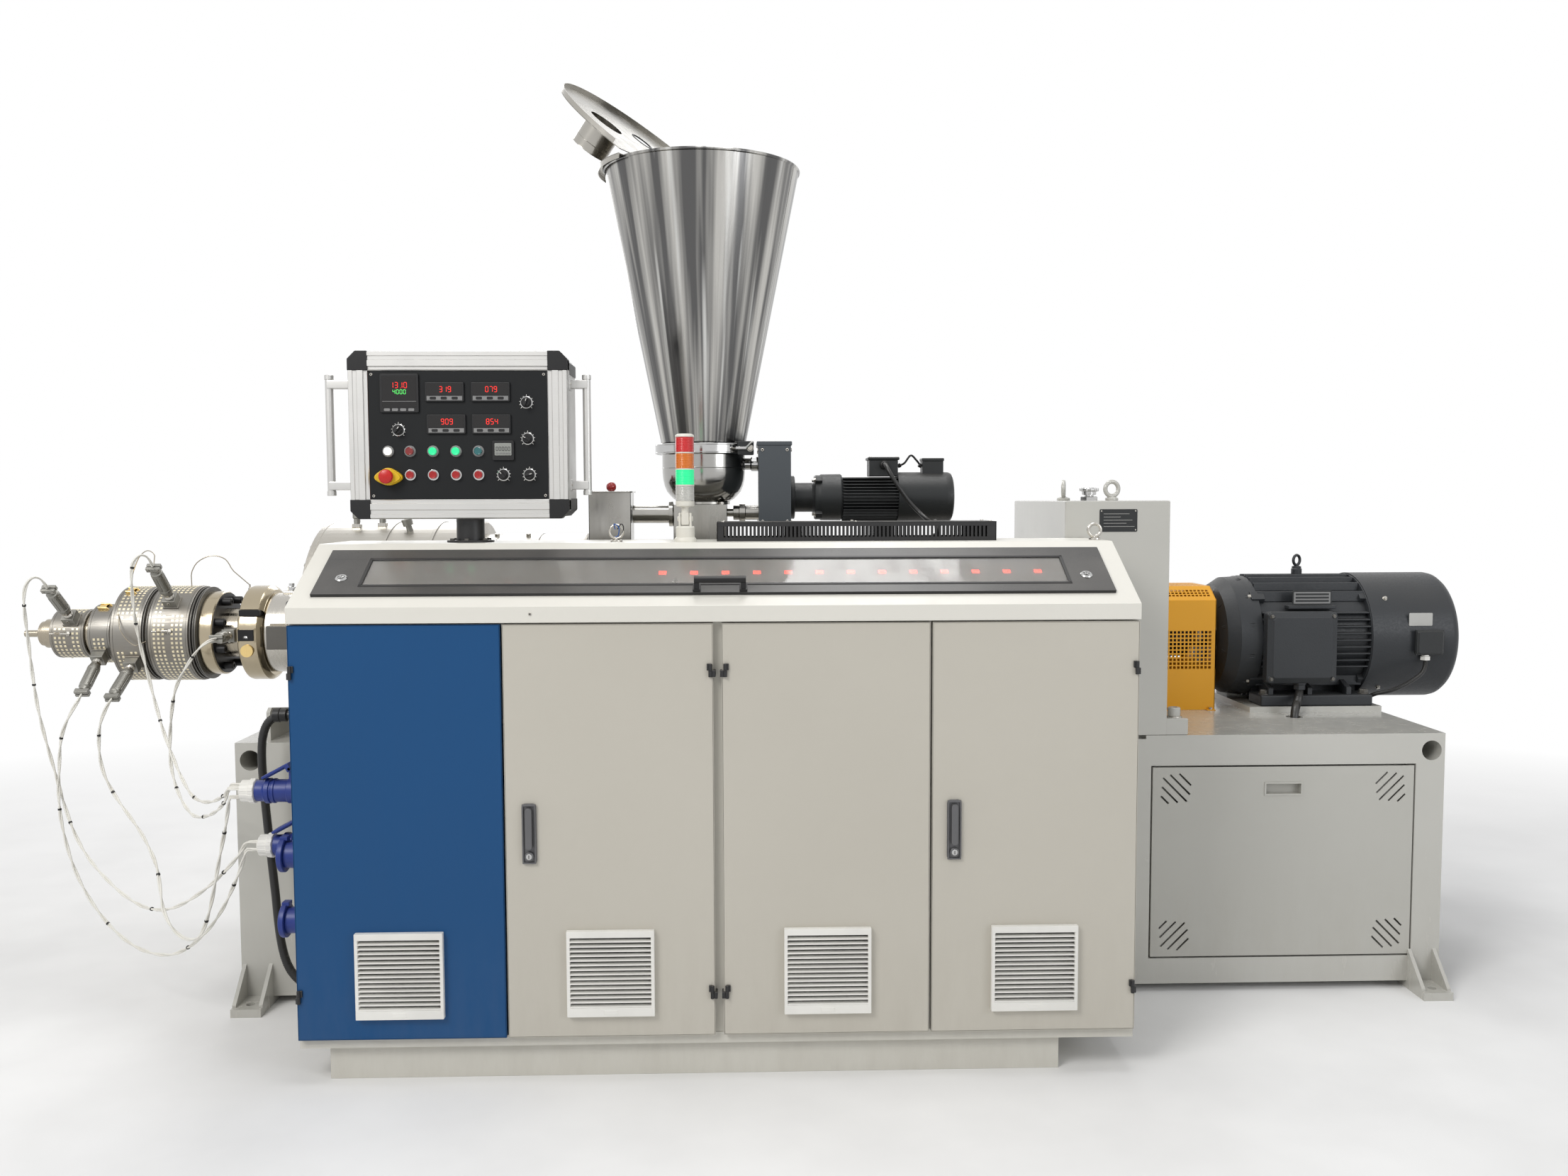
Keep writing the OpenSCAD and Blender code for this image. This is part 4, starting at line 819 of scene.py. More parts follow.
def even_line(line, step):
    """The same line with points a step apart, its two ends kept."""
    lengths = [(b - a).length for a, b in zip(line, line[1:])]
    count = max(2, round(sum(lengths) / step))
    spots, i, passed = [], 0, 0.0
    for k in range(count):
        goal = sum(lengths) * k / count
        while goal > passed + lengths[i]:
            passed += lengths[i]
            i += 1
        spots.append(line[i].lerp(line[i + 1], (goal - passed) / lengths[i]))
    return spots + [line[-1]]


def line_frames(line):
    """At each point of a line, its direction and two directions across it that turn as little as they can."""
    normal = None
    frames = []
    for i, point in enumerate(line):
        along = (line[min(i + 1, len(line) - 1)] - line[max(i - 1, 0)]).normalized()
        if normal is None:
            normal = along.orthogonal().normalized()
        normal = (normal - along * normal.dot(along)).normalized()
        frames.append((point, along, normal, along.cross(normal)))
    return frames


def heater_spot(name, radius):
    """A point on a heater connector's own line, at a radius from the die's axis."""
    x, _, angle, _ = HEATERS[name]
    return (x, AXIS_Y - radius * sin(radians(angle)), AXIS_Z + radius * cos(radians(angle)))


def make_lead(name):
    """A twin heater lead: two braided strands laid round each other, with black ties."""
    end = HEATERS[name][3]
    line = cord_line([heater_spot(name, end), heater_spot(name, end + 24)] + LEAD_ROUTES[name])
    shape = Shape()
    for side in (0, pi):
        strand, passed = [], 0.0
        frames = line_frames(even_line(line, 9))
        for i, (point, _, across, other) in enumerate(frames):
            passed += (point - frames[max(i - 1, 0)][0]).length
            twist = side + passed / 26
            strand.append(point + (across * cos(twist) + other * sin(twist)) * 2.35)
        shape.tube(strand, 2.55, LEAD_BRAID, 8)
    marks = even_line(line, 8)
    for share in (0.09, 0.22, 0.45, 0.7, 0.9):
        k = int(share * (len(marks) - 2))
        shape.tube([marks[k], marks[k].lerp(marks[k + 1], 0.6)], 5.1, BLACK_PLASTIC, 12)
    piece = shape.build("heater_lead_" + name, "machine", ["lead_" + name], sharp=60)


def make_conduit(name, route, radius, pitch=5):
    """A corrugated conduit, ribbed all along."""
    line = cord_line(route)
    spots = even_line(line, pitch / 2)
    shape = Shape()
    shape.tube(spots, [radius if k % 2 else radius * 0.88 for k in range(len(spots))], CONDUIT_BLACK, 14)
    shape.build(name + "_hose", "machine", [name], sharp=60)


def make_conduits():
    """The conduits with their gland nuts and couplings."""
    nuts = Shape()
    nuts.lathe([(-30, 13), (-28, 18), (-20, 20), (-12, 20), (-10, 17), (-2, 17)], (0, 420, 808), "x",
               BLACK_PLASTIC, 32)
    for turn in spokes((0, 420, 808), 8):
        nuts.block((-27, -3, 18), (-13, 3, 20.5), BLACK_PLASTIC, edge=0.8, turn=turn)
    nuts.lathe([(-188, 13), (-186, 18), (-170, 19), (-168, 17), (-152, 17), (-150, 13)], (0, 420, 808), "x",
               BLACK_PLASTIC, 32)
    nuts.lathe([(42, 13), (44, 17), (58, 17), (60, 20)], (0, 420, 45), "x", BLACK_PLASTIC, 32)
    nuts.build("side_conduit_nuts", "machine")
    make_conduit("side_conduit", SIDE_ROUTE, 11.5)

    collar = Shape()
    collar.lathe([(786, 13.5), (789, 18), (803, 18), (805, 21), (809, 21)], (2720, 876, 0), "z", MOTOR_GREY, 6)
    collar.build("motor_conduit_gland", "machine")
    make_conduit("motor_conduit", BOX_ROUTE, 12.5)

    feed_gland = Shape()
    feed_gland.rod((1446, 763, 1464), (1446, 746, 1464), 10.5, BLACK_PLASTIC, 6, 1)
    feed_gland.lathe([(1260, 14), (1266, 14), (1268, 10.5), (1274, 9.5)], (1562, 500, 0), "z", BLACK_PLASTIC, 24)
    feed_gland.build("feed_conduit_gland", "machine")
    make_conduit("feed_conduit", FEED_ROUTE, 6.5, 3.6)


for lead_name in "abcde":
    make_lead(lead_name)
make_conduits()


# Doors, grilles and locks

DOOR_W = 483.5
DOOR_T = 18
DOOR_Z = (110, 1082)
DOOR_X = (0, 488.5, 992, 1480.5)
GRILLE_X = (138, 627, 1134, 1621)
GRILLE_Z = 162
GRILLE_W = 204
GRILLE_T = 15
PIN_X = (5, 965.5, 1000, 1958)
PIN_Y = -5
HINGE_Z = (199, 958)
HINGE_H = 31
BLADES = 15


def make_door(index, side, paint):
    """A folded sheet door with two hat-section stiffeners inside, and its halves of the two hinges."""
    x0, x1 = DOOR_X[index], DOOR_X[index] + DOOR_W
    z0, z1 = DOOR_Z
    shape = Shape()
    gx, gz = GRILLE_X[index] + 14, GRILLE_Z + 14
    gw = GRILLE_W - 28
    shape.surround((x0, z0, x1, z1), (gx, gz, gx + gw, gz + gw), "y", 0, 3, paint, edge=0)
    shape.surround((x0, z0, x1, z1), (x0 + 3, z0 + 3, x1 - 3, z1 - 3), "y", 0, DOOR_T, paint, 3, edge=1.1, steps=2)
    for z in (470, 860):
        shape.prism([(x0 + 3, 3), (x1 - 3, 3)] + [(x1 - 3, 4.5), (x0 + 3, 4.5)], "z", z, z + 60, paint)
        shape.block((x0 + 12, 4, z + 14), (x1 - 12, 15, z + 46), paint, edge=1)
    for z in HINGE_Z:
        low, high = sorted((PIN_X[index], PIN_X[index] - side * 8))
        shape.block((low, PIN_Y, z + HINGE_H / 2), (high, 0.5, z + HINGE_H), HINGE_ZINC, edge=0.6)
        shape.rod((PIN_X[index], PIN_Y, z + HINGE_H / 2), (PIN_X[index], PIN_Y, z + HINGE_H), 4.4, HINGE_ZINC,
                  20, 0.6)
    letter = "abcd"[index]
    shape.build(f"door_sheet_{letter}", f"door_{letter}_leaf", [f"door_{letter}"])


def make_grille(index):
    """A snap-in filter grille: domed frame, sloping blades, a wide lower rail with its latch, and a mat behind them,
    painted near black as the shade between the blades.
    """
    shape = Shape()
    x0, z0, w, t = GRILLE_X[index], GRILLE_Z, GRILLE_W, GRILLE_T
    x1, z1 = x0 + w, z0 + w
    blade_low, blade_high = z0 + 22, z1 - 16
    shape.surround((x0, z0, x1, z1), (x0 + 8, blade_low, x1 - 8, blade_high), "y", -t, 0, WHITE_PLASTIC, 1, edge=1.6,
                   steps=2)
    shape.block((x0 + w / 2 - 16, -t - 0.6, z0 + 6), (x0 + w / 2 + 16, -t + 1, z0 + 16), WHITE_PLASTIC, edge=0.5)
    pitch = (blade_high - blade_low) / BLADES
    for k in range(BLADES):
        z = blade_low + k * pitch
        shape.prism([(-t + 0.6, z + 0.4), (-t + 1.6, z), (-2, z + 3.4), (-2, z + 5), (-t + 0.9, z + 3)],
                    "x", x0 + 7, x1 - 7, WHITE_PLASTIC)
    # Painted shade: the near-black mat behind the blades
    shape.block((x0 + 7, -2, blade_low - 1), (x1 - 7, -0.6, blade_high + 1), FILTER_MAT_PAINTED_SHADE, edge=0)
    letter = "abcd"[index]
    shape.build(f"grille_{letter}_front", f"door_{letter}_leaf", [f"grille_{letter}"])


def make_lock(x, letter):
    """A swing-handle lock: dished plate, the lever lying in it, and the key cylinder below."""
    shape = Shape()
    z, w, h = 524, 34, 142
    shape.prism(rounded(x, z, x + w, z + h, 9), "y", -3, 0, LOCK_ZINC, edge=0.8)
    for low, high in (((x + 1, -8, z + 1), (x + 5, -2, z + h - 1)),
                      ((x + w - 5, -8, z + 1), (x + w - 1, -2, z + h - 1)),
                      ((x + 3, -8, z + h - 6), (x + w - 3, -2, z + h - 1)),
                      ((x + 3, -8, z + 1), (x + w - 3, -2, z + 5))):
        shape.block(low, high, LOCK_ZINC, edge=1.4, steps=2)
    shape.prism(rounded(x + 9, z + 36, x + w - 9, z + h - 9, 6), "y", -16, -4, LOCK_ZINC, edge=2, steps=2)
    shape.prism(rounded(x + 11, z + 96, x + w - 11, z + h - 12, 5), "y", -15.6, -12, BLACK_PLASTIC, edge=0.5)
    shape.rod((x + w / 2, -3, z + 19), (x + w / 2, -12.5, z + 19), 10.5, LOCK_ZINC, 28, 1.2)
    shape.rod((x + w / 2, -12, z + 19), (x + w / 2, -13.5, z + 19), 7, CHROME, 24, 0.6)
    # Painted shade: a thin black bar on the cylinder face for the key slot
    shape.block((x + w / 2 - 0.8, -14, z + 15), (x + w / 2 + 0.8, -13, z + 23), BLACK_PLASTIC, edge=0)
    shape.build(f"swing_lock_{letter}", f"door_{letter}_leaf", [f"lock_{letter}"])


for door_index, hinge_side, door_paint in ((0, -1, BLUE_PAINT), (1, 1, DOOR_PAINT), (2, -1, DOOR_PAINT),
                                           (3, 1, DOOR_PAINT)):
    make_door(door_index, hinge_side, door_paint)
    make_grille(door_index)
make_lock(527, "b")
make_lock(1515.5, "d")


# Sloping window

ON_SLOPE = Matrix.Translation((0, -4, 1123)) @ Matrix.Rotation(atan2(137, 254), 4, "X")


def make_window():
    """Black hinged frame with its gasket, smoked pane, lamp strip behind it, bail handle and quarter-turn locks."""
    shape = Shape()
    gx0, gx1, gu0, gu1 = 150, 1815, 82, 200
    shape.surround((44, 45, 1917, 246), (gx0, gu0, gx1, gu1), "z", 0, 8, WINDOW_BLACK, 1, edge=0.9, steps=2,
                   turn=ON_SLOPE)
    shape.surround((gx0 - 5, gu0 - 5, gx1 + 5, gu1 + 5), (gx0 + 3, gu0 + 3, gx1 - 3, gu1 - 3), "z", 7, 9.4,
                   BLACK_PLASTIC, 7, edge=0.8, turn=ON_SLOPE)
    shape.build("window_surround", "machine", ["window_frame"])

    pane = Shape()
    pane.block((gx0 + 0.5, gu0 + 0.5, 4.4), (gx1 - 0.5, gu1 - 0.5, 6.4), SMOKED_PANE, edge=0, turn=ON_SLOPE)
    pane.block((gx0, gu0, 0.2), (gx1, gu1, 1.4), LAMP_STRIP, edge=0, turn=ON_SLOPE)
    first, last, count = 850, 1750, 13
    for k in range(count):
        x = first + (last - first) * k / (count - 1)
        pane.block((x - 9, 134, 1.3), (x + 9, 148, 2.6), LAMP_RED, edge=0.5, turn=ON_SLOPE)
        if k % 3:
            pane.block((x - 9, 98, 1.3), (x - 1, 101, 1.9), LAMP_MARK, edge=0, turn=ON_SLOPE)
    pane.build("window_pane", "machine", ["window_glass"])

    fittings = Shape()
    for x in (934, 1043):
        fittings.block((x - 9, 47, 8), (x + 9, 74, 14), BLACK_PLASTIC, edge=1.5, steps=2, turn=ON_SLOPE)
        fittings.prism([(50, 12), (68, 12), (66, 40), (56, 42)], "x", x - 6, x + 6, BLACK_PLASTIC, edge=1.5, steps=2,
                       turn=ON_SLOPE)
    fittings.prism(rounded(51, 28, 66, 42, 5), "x", 928, 1049, BLACK_PLASTIC, edge=1, turn=ON_SLOPE)
    for x in (98.5, 1861):
        centre = (x, 114.5, 0)
        fittings.lathe([(7.5, 0), (7.5, 14.5), (9.5, 14.5), (11.5, 12.5), (11.5, 8.5), (10, 8), (10, 0)], centre, "z",
                       CHROME, 40, turn=ON_SLOPE)
        for k in (0, 1):
            spin = turned(centre, 35 + 90 * k, "Z")
            fittings.block((-7.5, -1.6, 9.8), (7.5, 1.6, 13), CHROME, edge=0.5, turn=ON_SLOPE @ spin)
    fittings.build("window_fittings", "machine", ["window_handle"])


make_window()


# Die, its heaters and the barrel

# Each heater band's ends and radius, and the angles between which it has no windows
BANDS = ((-948, -852, 70), (-833, -771, 85), (-745, -658, 136), (-640, -528, 137))
PLAIN_ANGLES = ((28, 74), (8, 96), (70, 108), (30, 62))
SEAM_ANGLE = 200
WINDOW_PITCH = 12.5
WINDOW_ROW = 12.8


def on_line(x, angle):
    """Puts a piece drawn up the z axis on the screw line at x, turned by an angle in degrees from straight up."""
    return turned((x, AXIS_Y, AXIS_Z), angle, "X")


def hex_bolt(shape, base, direction, across, metal):
    """A hexagon bolt head with a chamfered top on its washer."""
    turn = aimed(base, direction, 0.3)
    shape.spin([(-0.5, across * 0.66), (across * 0.1, across * 0.66), (across * 0.13, across * 0.6)], turn, metal)
    shape.spin([(0, across * 0.57), (across * 0.5, across * 0.57), (across * 0.6, across * 0.48)], turn, metal, 6)


def socket_screw(shape, base, direction, radius, height, metal, lead=0.0):
    """A cap screw: round head with a chamfer, and a black hexagon in its socket as painted shade."""
    turn = aimed(base, direction)
    shape.spin([(-lead, radius), (height - radius * 0.12, radius), (height, radius * 0.86), (height, radius * 0.5),
                (height - radius * 0.6, radius * 0.48)], turn, metal)
    # Painted shade: a black hexagon stands in the socket's recess
    shape.spin([(height - radius * 0.7, radius * 0.6), (height - radius * 0.25, radius * 0.5)], turn,
               BLACK_PLASTIC, 6)


def make_die():
    """The turned die: mandrel pin, nose, cover rings, mirror-bright flange, and the cap screws behind it."""
    shape = Shape()
    shape.lathe([(-1052, 8.5), (-1050.5, 10), (-1004, 10), (-1001, 12), (-1001, 32), (-998, 35.5), (-986, 36),
                 (-984, 42), (-951, 42), (-948, 44), (-948, 63), (-946, 65), (-852, 65), (-850, 62), (-836, 62),
                 (-833, 65), (-833, 78), (-831, 80), (-771, 80), (-769, 84), (-750, 84), (-747, 90), (-745, 128),
                 (-743, 131), (-658, 131), (-656, 125), (-642, 125), (-640, 130), (-638, 132), (-528, 132),
                 (-526, 129)], LINE, "x", MACHINED_STEEL, 96)
    for low, high, radius in ((-657, -652, 133.5), (-649, -643, 131), (-527, -521, 134), (-519, -514, 132),
                              (-513, -507, 134)):
        shape.lathe([(low, radius - 3), (low + 1, radius), (high - 1, radius), (high, radius - 3)], LINE, "x",
                    DARK_STEEL, 96)
    shape.lathe([(-526, 124), (-506, 124)], LINE, "x", DARK_STEEL, 96)
    shape.lathe([(-507, 116), (-505.5, 119.5), (-503, 121), (-470, 121), (-467, 118), (-467, 72)], LINE, "x",
                FLANGE_BRIGHT, 128)
    # Painted shade: a near-black ring on the flange face behind the cap screws
    shape.lathe([(-468.5, 117), (-465, 117), (-464.5, 74)], LINE, "x", BLACK_AND_PAINTED_SHADE, 64)
    shape.lathe([(-467, 71), (-395, 71)], LINE, "x", MACHINED_STEEL, 96)
    # The cap screws: black, and painted near black for the shade they stand in
    for turn in spokes(LINE, 8, 22.5):
        socket_screw(shape, turn @ Vector((-466, 0, 100)), RIGHT, 11, 27.5, BLACK_AND_PAINTED_SHADE, 1)
    shape.build("die_turnings", "machine", ["die_body"])


def make_bands():
    """Heater bands: steel sheet with square windows, a folded seam, and a strap with its two clamp screws."""
    shape = Shape()
    for i, (low, high, radius) in enumerate(BANDS):
        shape.lathe([(low, radius - 4), (low, radius - 0.8), (low + 1, radius), (high - 1, radius),
                     (high, radius - 0.8), (high, radius - 4)], LINE, "x", BAND_STEEL, 96)
        for x in (low + 7, high - 7):
            shape.lathe([(x - 1.6, radius - 1), (x - 0.8, radius + 0.8), (x + 0.8, radius + 0.8),
                         (x + 1.6, radius - 1)], LINE, "x", BAND_STEEL, 96)
        columns = int((high - low - 26) / WINDOW_PITCH) + 1
        first = (low + high) / 2 - (columns - 1) * WINDOW_PITCH / 2
        rows = int(2 * pi * radius / WINDOW_ROW)
        for k in range(rows):
            angle = 360 * k / rows
            seam = abs((angle - SEAM_ANGLE + 180) % 360 - 180) < 7
            clear = PLAIN_ANGLES[i][0] < angle < PLAIN_ANGLES[i][1]
            for c in range(columns):
                middle = columns > 3 and c == columns // 2 and 60 < angle < 120
                if seam or (clear and (i != 3 or c > 1)) or middle:
                    continue
                turn = on_line(first + WINDOW_PITCH * c, angle)
                shape.block((-3.3, -3.3, radius - 1), (3.3, 3.3, radius + 0.45), WINDOW_BRIGHT, edge=0.25, turn=turn)
        turn = on_line((low + high) / 2, SEAM_ANGLE)
        shape.block((-(high - low) / 2 + 2, -7, radius - 2), ((high - low) / 2 - 2, 7, radius + 5), BAND_STEEL,
                    edge=1, turn=turn)
        for side in (-1, 1):
            base = turn @ Vector((side * (high - low) * 0.28, 7, radius + 1))
            socket_screw(shape, base, turn.to_3x3() @ Vector(BACK), 4, 6, BRIGHT_STEEL, 14)
    shape.build("heater_band_sheets", "machine", ["heater_bands"])


def make_heater_plugs():
    """Heater connectors: cast terminal block with its screws, threaded neck and nut, ribbed plug and lead clamp."""
    shape = Shape()
    for x, radius, angle, end in HEATERS.values():
        turn = on_line(x, angle)
        shape.block((-18, -18, radius - 3), (18, 18, radius + 28), PLUG_METAL, edge=1.6, steps=2, turn=turn)
        shape.block((-21, -21, radius - 4), (21, 21, radius + 4), BAND_STEEL, edge=0.8, turn=turn)
        socket_screw(shape, turn @ Vector((0, -17.5, radius + 18)), turn.to_3x3() @ Vector(FRONT), 4.5,
                     3, BRIGHT_STEEL)
        for side in (-1, 1):
            hex_bolt(shape, turn @ Vector((side * 14, -14, radius + 4)), turn.to_3x3() @ Vector(UP), 6, BRIGHT_STEEL)
        ridges = [(radius + 27, 12)]
        for k in range(7):
            ridges += [(radius + 29 + 2.4 * k, 12.2), (radius + 30.2 + 2.4 * k, 11.2)]
        shape.spin(ridges + [(radius + 47, 12)], turn, BRIGHT_STEEL, 32)
        shape.spin([(radius + 38, 12), (radius + 39, 14.5), (radius + 47, 14.5), (radius + 48, 12)], turn,
                   BRIGHT_STEEL, 6)
        shape.spin([(radius + 45, 13), (radius + 47, 14.5), (radius + 55, 16.5), (radius + 58, 17.2),
                    (radius + 64, 17.2), (radius + 65, 16.4), (end - 26, 16), (end - 23, 13.2), (end - 13, 12.6)],
                   turn, PLUG_METAL, 40)
        for rib in spokes((0, 0, 0), 10, axis="Z"):
            shape.block((-1.6, 15, radius + 68), (1.6, 17.2, end - 34), PLUG_METAL, edge=0.7, turn=turn @ rib)
        shape.block((-19, -10.5, end - 15), (19, -1, end), PLUG_METAL, edge=1.6, steps=2, turn=turn)
        shape.block((-19, 1, end - 15), (19, 10.5, end), PLUG_METAL, edge=1.6, steps=2, turn=turn)
        for side in (-1, 1):
            socket_screw(shape, turn @ Vector((side * 13, -10, end - 7.5)), turn.to_3x3() @ Vector(FRONT), 3.4,
                         2.5, BRIGHT_STEEL)
    shape.build("heater_connectors", "machine", ["heater_plugs"])


def make_probes():
    """Temperature probes screwed into the die, and the brass wedge clips on the bands."""
    shape = Shape()
    for x, angle, radius, lean in ((-894, 85, 70, -30), (-579, 83, 137, -26)):
        turn = on_line(x, angle)
        foot = turn @ Vector((0, 0, radius))
        out = (turn.to_3x3() @ Vector((lean / 20, 0, 1))).normalized()
        shape.spin([(-3, 8), (4, 8), (5, 6.5)], aimed(foot, out), BRIGHT_STEEL, 6)
        shape.rod(foot, foot + out * 22, 4.6, BRIGHT_STEEL, 20, 0.6)
        shape.rod(foot + out * 20, foot + out * 34, 3.4, MACHINED_STEEL, 16, 0.5)
        for k in range(6):
            shape.spin([(34 + 2.2 * k, 2.2), (35.1 + 2.2 * k, 2.8), (36.2 + 2.2 * k, 2.2)], aimed(foot, out),
                       BRIGHT_STEEL, 12)
    shape.lathe([(1052, 6), (1070, 6), (1071, 9), (1080, 9), (1081, 5), (1112, 4.5), (1114, 2.5), (1124, 2.2)],
                (-401, 850, 0), "z", BRIGHT_STEEL, 16)
    for wire in ([(-745, 835, 1090), (-715, 800, 1154), (-672, 750, 1207), (-624, 700, 1229), (-587, 660, 1216),
                  heater_spot("d", 291)], [(-563, 838, 1105), (-564, 838, 1151), (-548, 842, 1188), (-508, 846, 1208),
                                           (-469, 850, 1197), (-446, 850, 1162), (-401, 850, 1122)],
                 [(-734, 746, 1068), (-712, 704, 1016), (-692, 700, 980), (-666, 702, 962), (-645, 716, 972)]):
        shape.tube(cord_line(wire), 1.5, MACHINED_STEEL, 8)
    for x, radius in ((-802, 85), (-712, 136)):
        turn = on_line(x, 24)
        for y in (-13, 9):
            shape.prism([(-16, radius - 1), (16, radius - 1), (9, radius + 7), (-16, radius + 9)], "y", y, y + 4,
                        BRASS, edge=0.6, turn=turn)
        shape.block((-15, -12, radius + 3), (4, 12, radius + 6), BRASS, edge=0.6, turn=turn)
    shape.build("die_probes", "machine")


def make_clamp():
    """The split clamp: two halves with a wedge gap, the swing bolt in its window and the spanner hole below;
    near-black blocks in the gaps and the window are painted shade.
    """
    shape = Shape()
    section = [(71, -393), (128, -393), (135, -389), (137, -383), (137, -337), (133, -331), (125, -325), (71, -325)]
    for first, last in ((-56, 56), (66, 294)):
        steps = max(12, int((last - first) / 4))
        part = bmesh.new()
        rings = []
        for k in range(steps + 1):
            turn = on_line(0, first + (last - first) * k / steps)
            rings.append([part.verts.new(turn @ Vector((x, 0, r))) for r, x in section])
        loft(part, rings)
        shape.take(part, FLANGE_BRIGHT)
    # Painted shade: near-black blocks fill the wedge gaps between the halves, then the swing bolt's window
    for y in (AXIS_Y - 104, AXIS_Y + 104):
        shape.block((-388, y - 20, 1041), (-330, y + 20, 1058), BLACK_AND_PAINTED_SHADE, edge=1)
    shape.block((-386, 708, 972), (-343, 740, 1004), BLACK_AND_PAINTED_SHADE, edge=0)
    shape.rod((-364, 712, 943), (-364, 740, 943), 17.5, BRASS, 32)
    for x in (-390, -343):
        shape.block((x, 711.5, 968), (x + 4, 716, 1008), FLANGE_BRIGHT, edge=0.6)
    shape.rod((-366, 712, 975), (-362, 735, 998), 11, CHROME, 24, 2)
    shape.build("clamp_halves", "machine", ["clamp_flange"], sharp=25)


def make_barrel():
    """The ground barrel with its rings, the dark cooling block at its front and a small pipe fitting."""
    shape = Shape()
    shape.lathe([(-325, 100), (-325, 112), (-322, 115), (-230, 115), (-228, 112), (-222, 112), (-220, 115),
                 (300, 115)], LINE, "x", BRIGHT_STEEL, 96)
    shape.lathe([(300, 112), (300, 150), (1912, 150)], LINE, "x", BRIGHT_STEEL, 96)
    for x in (640, 1020, 1300, 1520, 1760):
        shape.lathe([(x - 22, 150), (x - 20, 156), (x + 20, 156), (x + 22, 150)], LINE, "x", BAND_STEEL, 96)
        for side in (-1, 1):
            socket_screw(shape, (x + side * 10, 850, 1138), UP, 6, 6, BRIGHT_STEEL)
    shape.block((-311, 718, 946), (-240, 765, 1013), DARK_STEEL, edge=2.5, steps=2)
    shape.block((-300, 722, 1008), (-250, 780, 1020), MACHINED_STEEL, edge=1.5)
    shape.lathe([(1090, 14), (1097, 14), (1099, 12), (1116, 12), (1118, 8), (1126, 8)], (-280, 850, 0), "z",
                CHROME, 6)
    shape.lathe([(1096, 10), (1112, 10), (1114, 7), (1122, 7)], (-252, 850, 0), "z", CHROME, 6)
    shape.rod((-300, 838, 1100), (-244, 838, 1100), 5, BRIGHT_STEEL, 16, 1)
    shape.build("barrel_turnings", "machine", ["barrel"])


def shell_outline(radius):
    """The outline of a round cover that ends on the frame, in y and z."""
    reach = AXIS_Z - FRAME_TOP
    low = degrees(asin(-reach / radius)) if radius > reach else -90
    angles = [radians(low + (180 - 2 * low) * k / 72) for k in range(73)]
    return [(AXIS_Y + radius * cos(a), AXIS_Z + radius * sin(a)) for a in angles]


def make_barrel_cover():
    """The rolled heat cover in two sizes, with its straps, end plate, screws and the valves on top."""
    shape = Shape()
    shape.prism(shell_outline(320), "x", -160, 290, COVER_STEEL, edge=2.5)
    shape.prism(shell_outline(284), "x", 289, 590, COVER_STEEL, edge=2.5)
    for x, radius in ((-148, 321.6), (40, 321.4), (168, 321.4), (282, 321.6), (330, 285.4), (452, 285.4),
                      (582, 285.6)):
        shape.prism(shell_outline(radius), "x", x - 5, x + 5, COVER_STEEL, edge=0.8)
    for x in (44, 172, 456):
        shape.prism(shell_outline(321.9 if x < 300 else 285.9), "x", x - 0.9, x + 0.9, DARK_STEEL)
    for k in range(12):
        angle = radians(15 + 13.6 * k)
        hex_bolt(shape, (-160, AXIS_Y + 304 * cos(angle), AXIS_Z + 304 * sin(angle)), LEFT, 10, BRIGHT_STEEL)
    shape.rod((-158, 556, 1085), (-192, 556, 1085), 12, HINGE_ZINC, 28, 2)
    for x, y in ((-62, 770), (8, 780)):
        z = AXIS_Z + half_chord(320, y - AXIS_Y)
        shape.block((x - 12, y - 12, z - 3), (x + 12, y + 12, z + 8), BRIGHT_STEEL, edge=1.2)
        shape.lathe([(z + 7, 9), (z + 22, 9), (z + 24, 12), (z + 44, 12), (z + 46, 8), (z + 54, 7)], (x, y, 0), "z",
                    PLUG_METAL, 24)
        shape.rod((x + 10, y, z + 30), (x + 24, y, z + 34), 3, BRIGHT_STEEL, 12, 0.5)
    turn = aimed((96, 735, 1284), (-0.28, -0.1, 1))
    shape.spin([(-14, 9), (12, 8.5), (12, 14), (30, 15), (32, 13.5), (32, 8), (22, 7.5)], turn, PLUG_METAL, 32)
    # Painted shade: a near-black hexagon in the valve's socket
    shape.spin([(14, 9), (23, 8.2)], turn, BLACK_AND_PAINTED_SHADE, 6)
    for x, y in ((260, 790), (330, 800), (420, 800)):
        z = AXIS_Z + half_chord(320 if x < 290 else 284, y - AXIS_Y)
        socket_screw(shape, (x, y, z - 2), (0, -0.17, 1), 7, 10, BRIGHT_STEEL)
    shape.build("barrel_heat_cover", "machine", ["barrel_cover"], sharp=25)


make_die()
make_bands()
make_heater_plugs()
make_probes()
make_clamp()
make_barrel()
make_barrel_cover()


# Hopper, its lid, the feeder and its drive

# How far the middle of the hopper's lid lies from the line of its hinges
LID_OFF = 104


def curved_band(shape, outline, thick, low, high, turn, clear=0.0):
    """A skirt along an arc of the lid, from one height to another, without its points within clear of the hinges."""
    part = bmesh.new()
    rows = []
    for x, y in outline:
        if abs(y) >= clear:
            inward = Vector((-x, -LID_OFF - y, 0)).normalized() * thick
            rows.append([part.verts.new((x, y, high)), part.verts.new((x, y, low)),
                         part.verts.new((x + inward.x, y + inward.y, low)),
                         part.verts.new((x + inward.x, y + inward.y, high))])
    loft(part, rows)
    shape.take(part, LID_STEEL, turn)


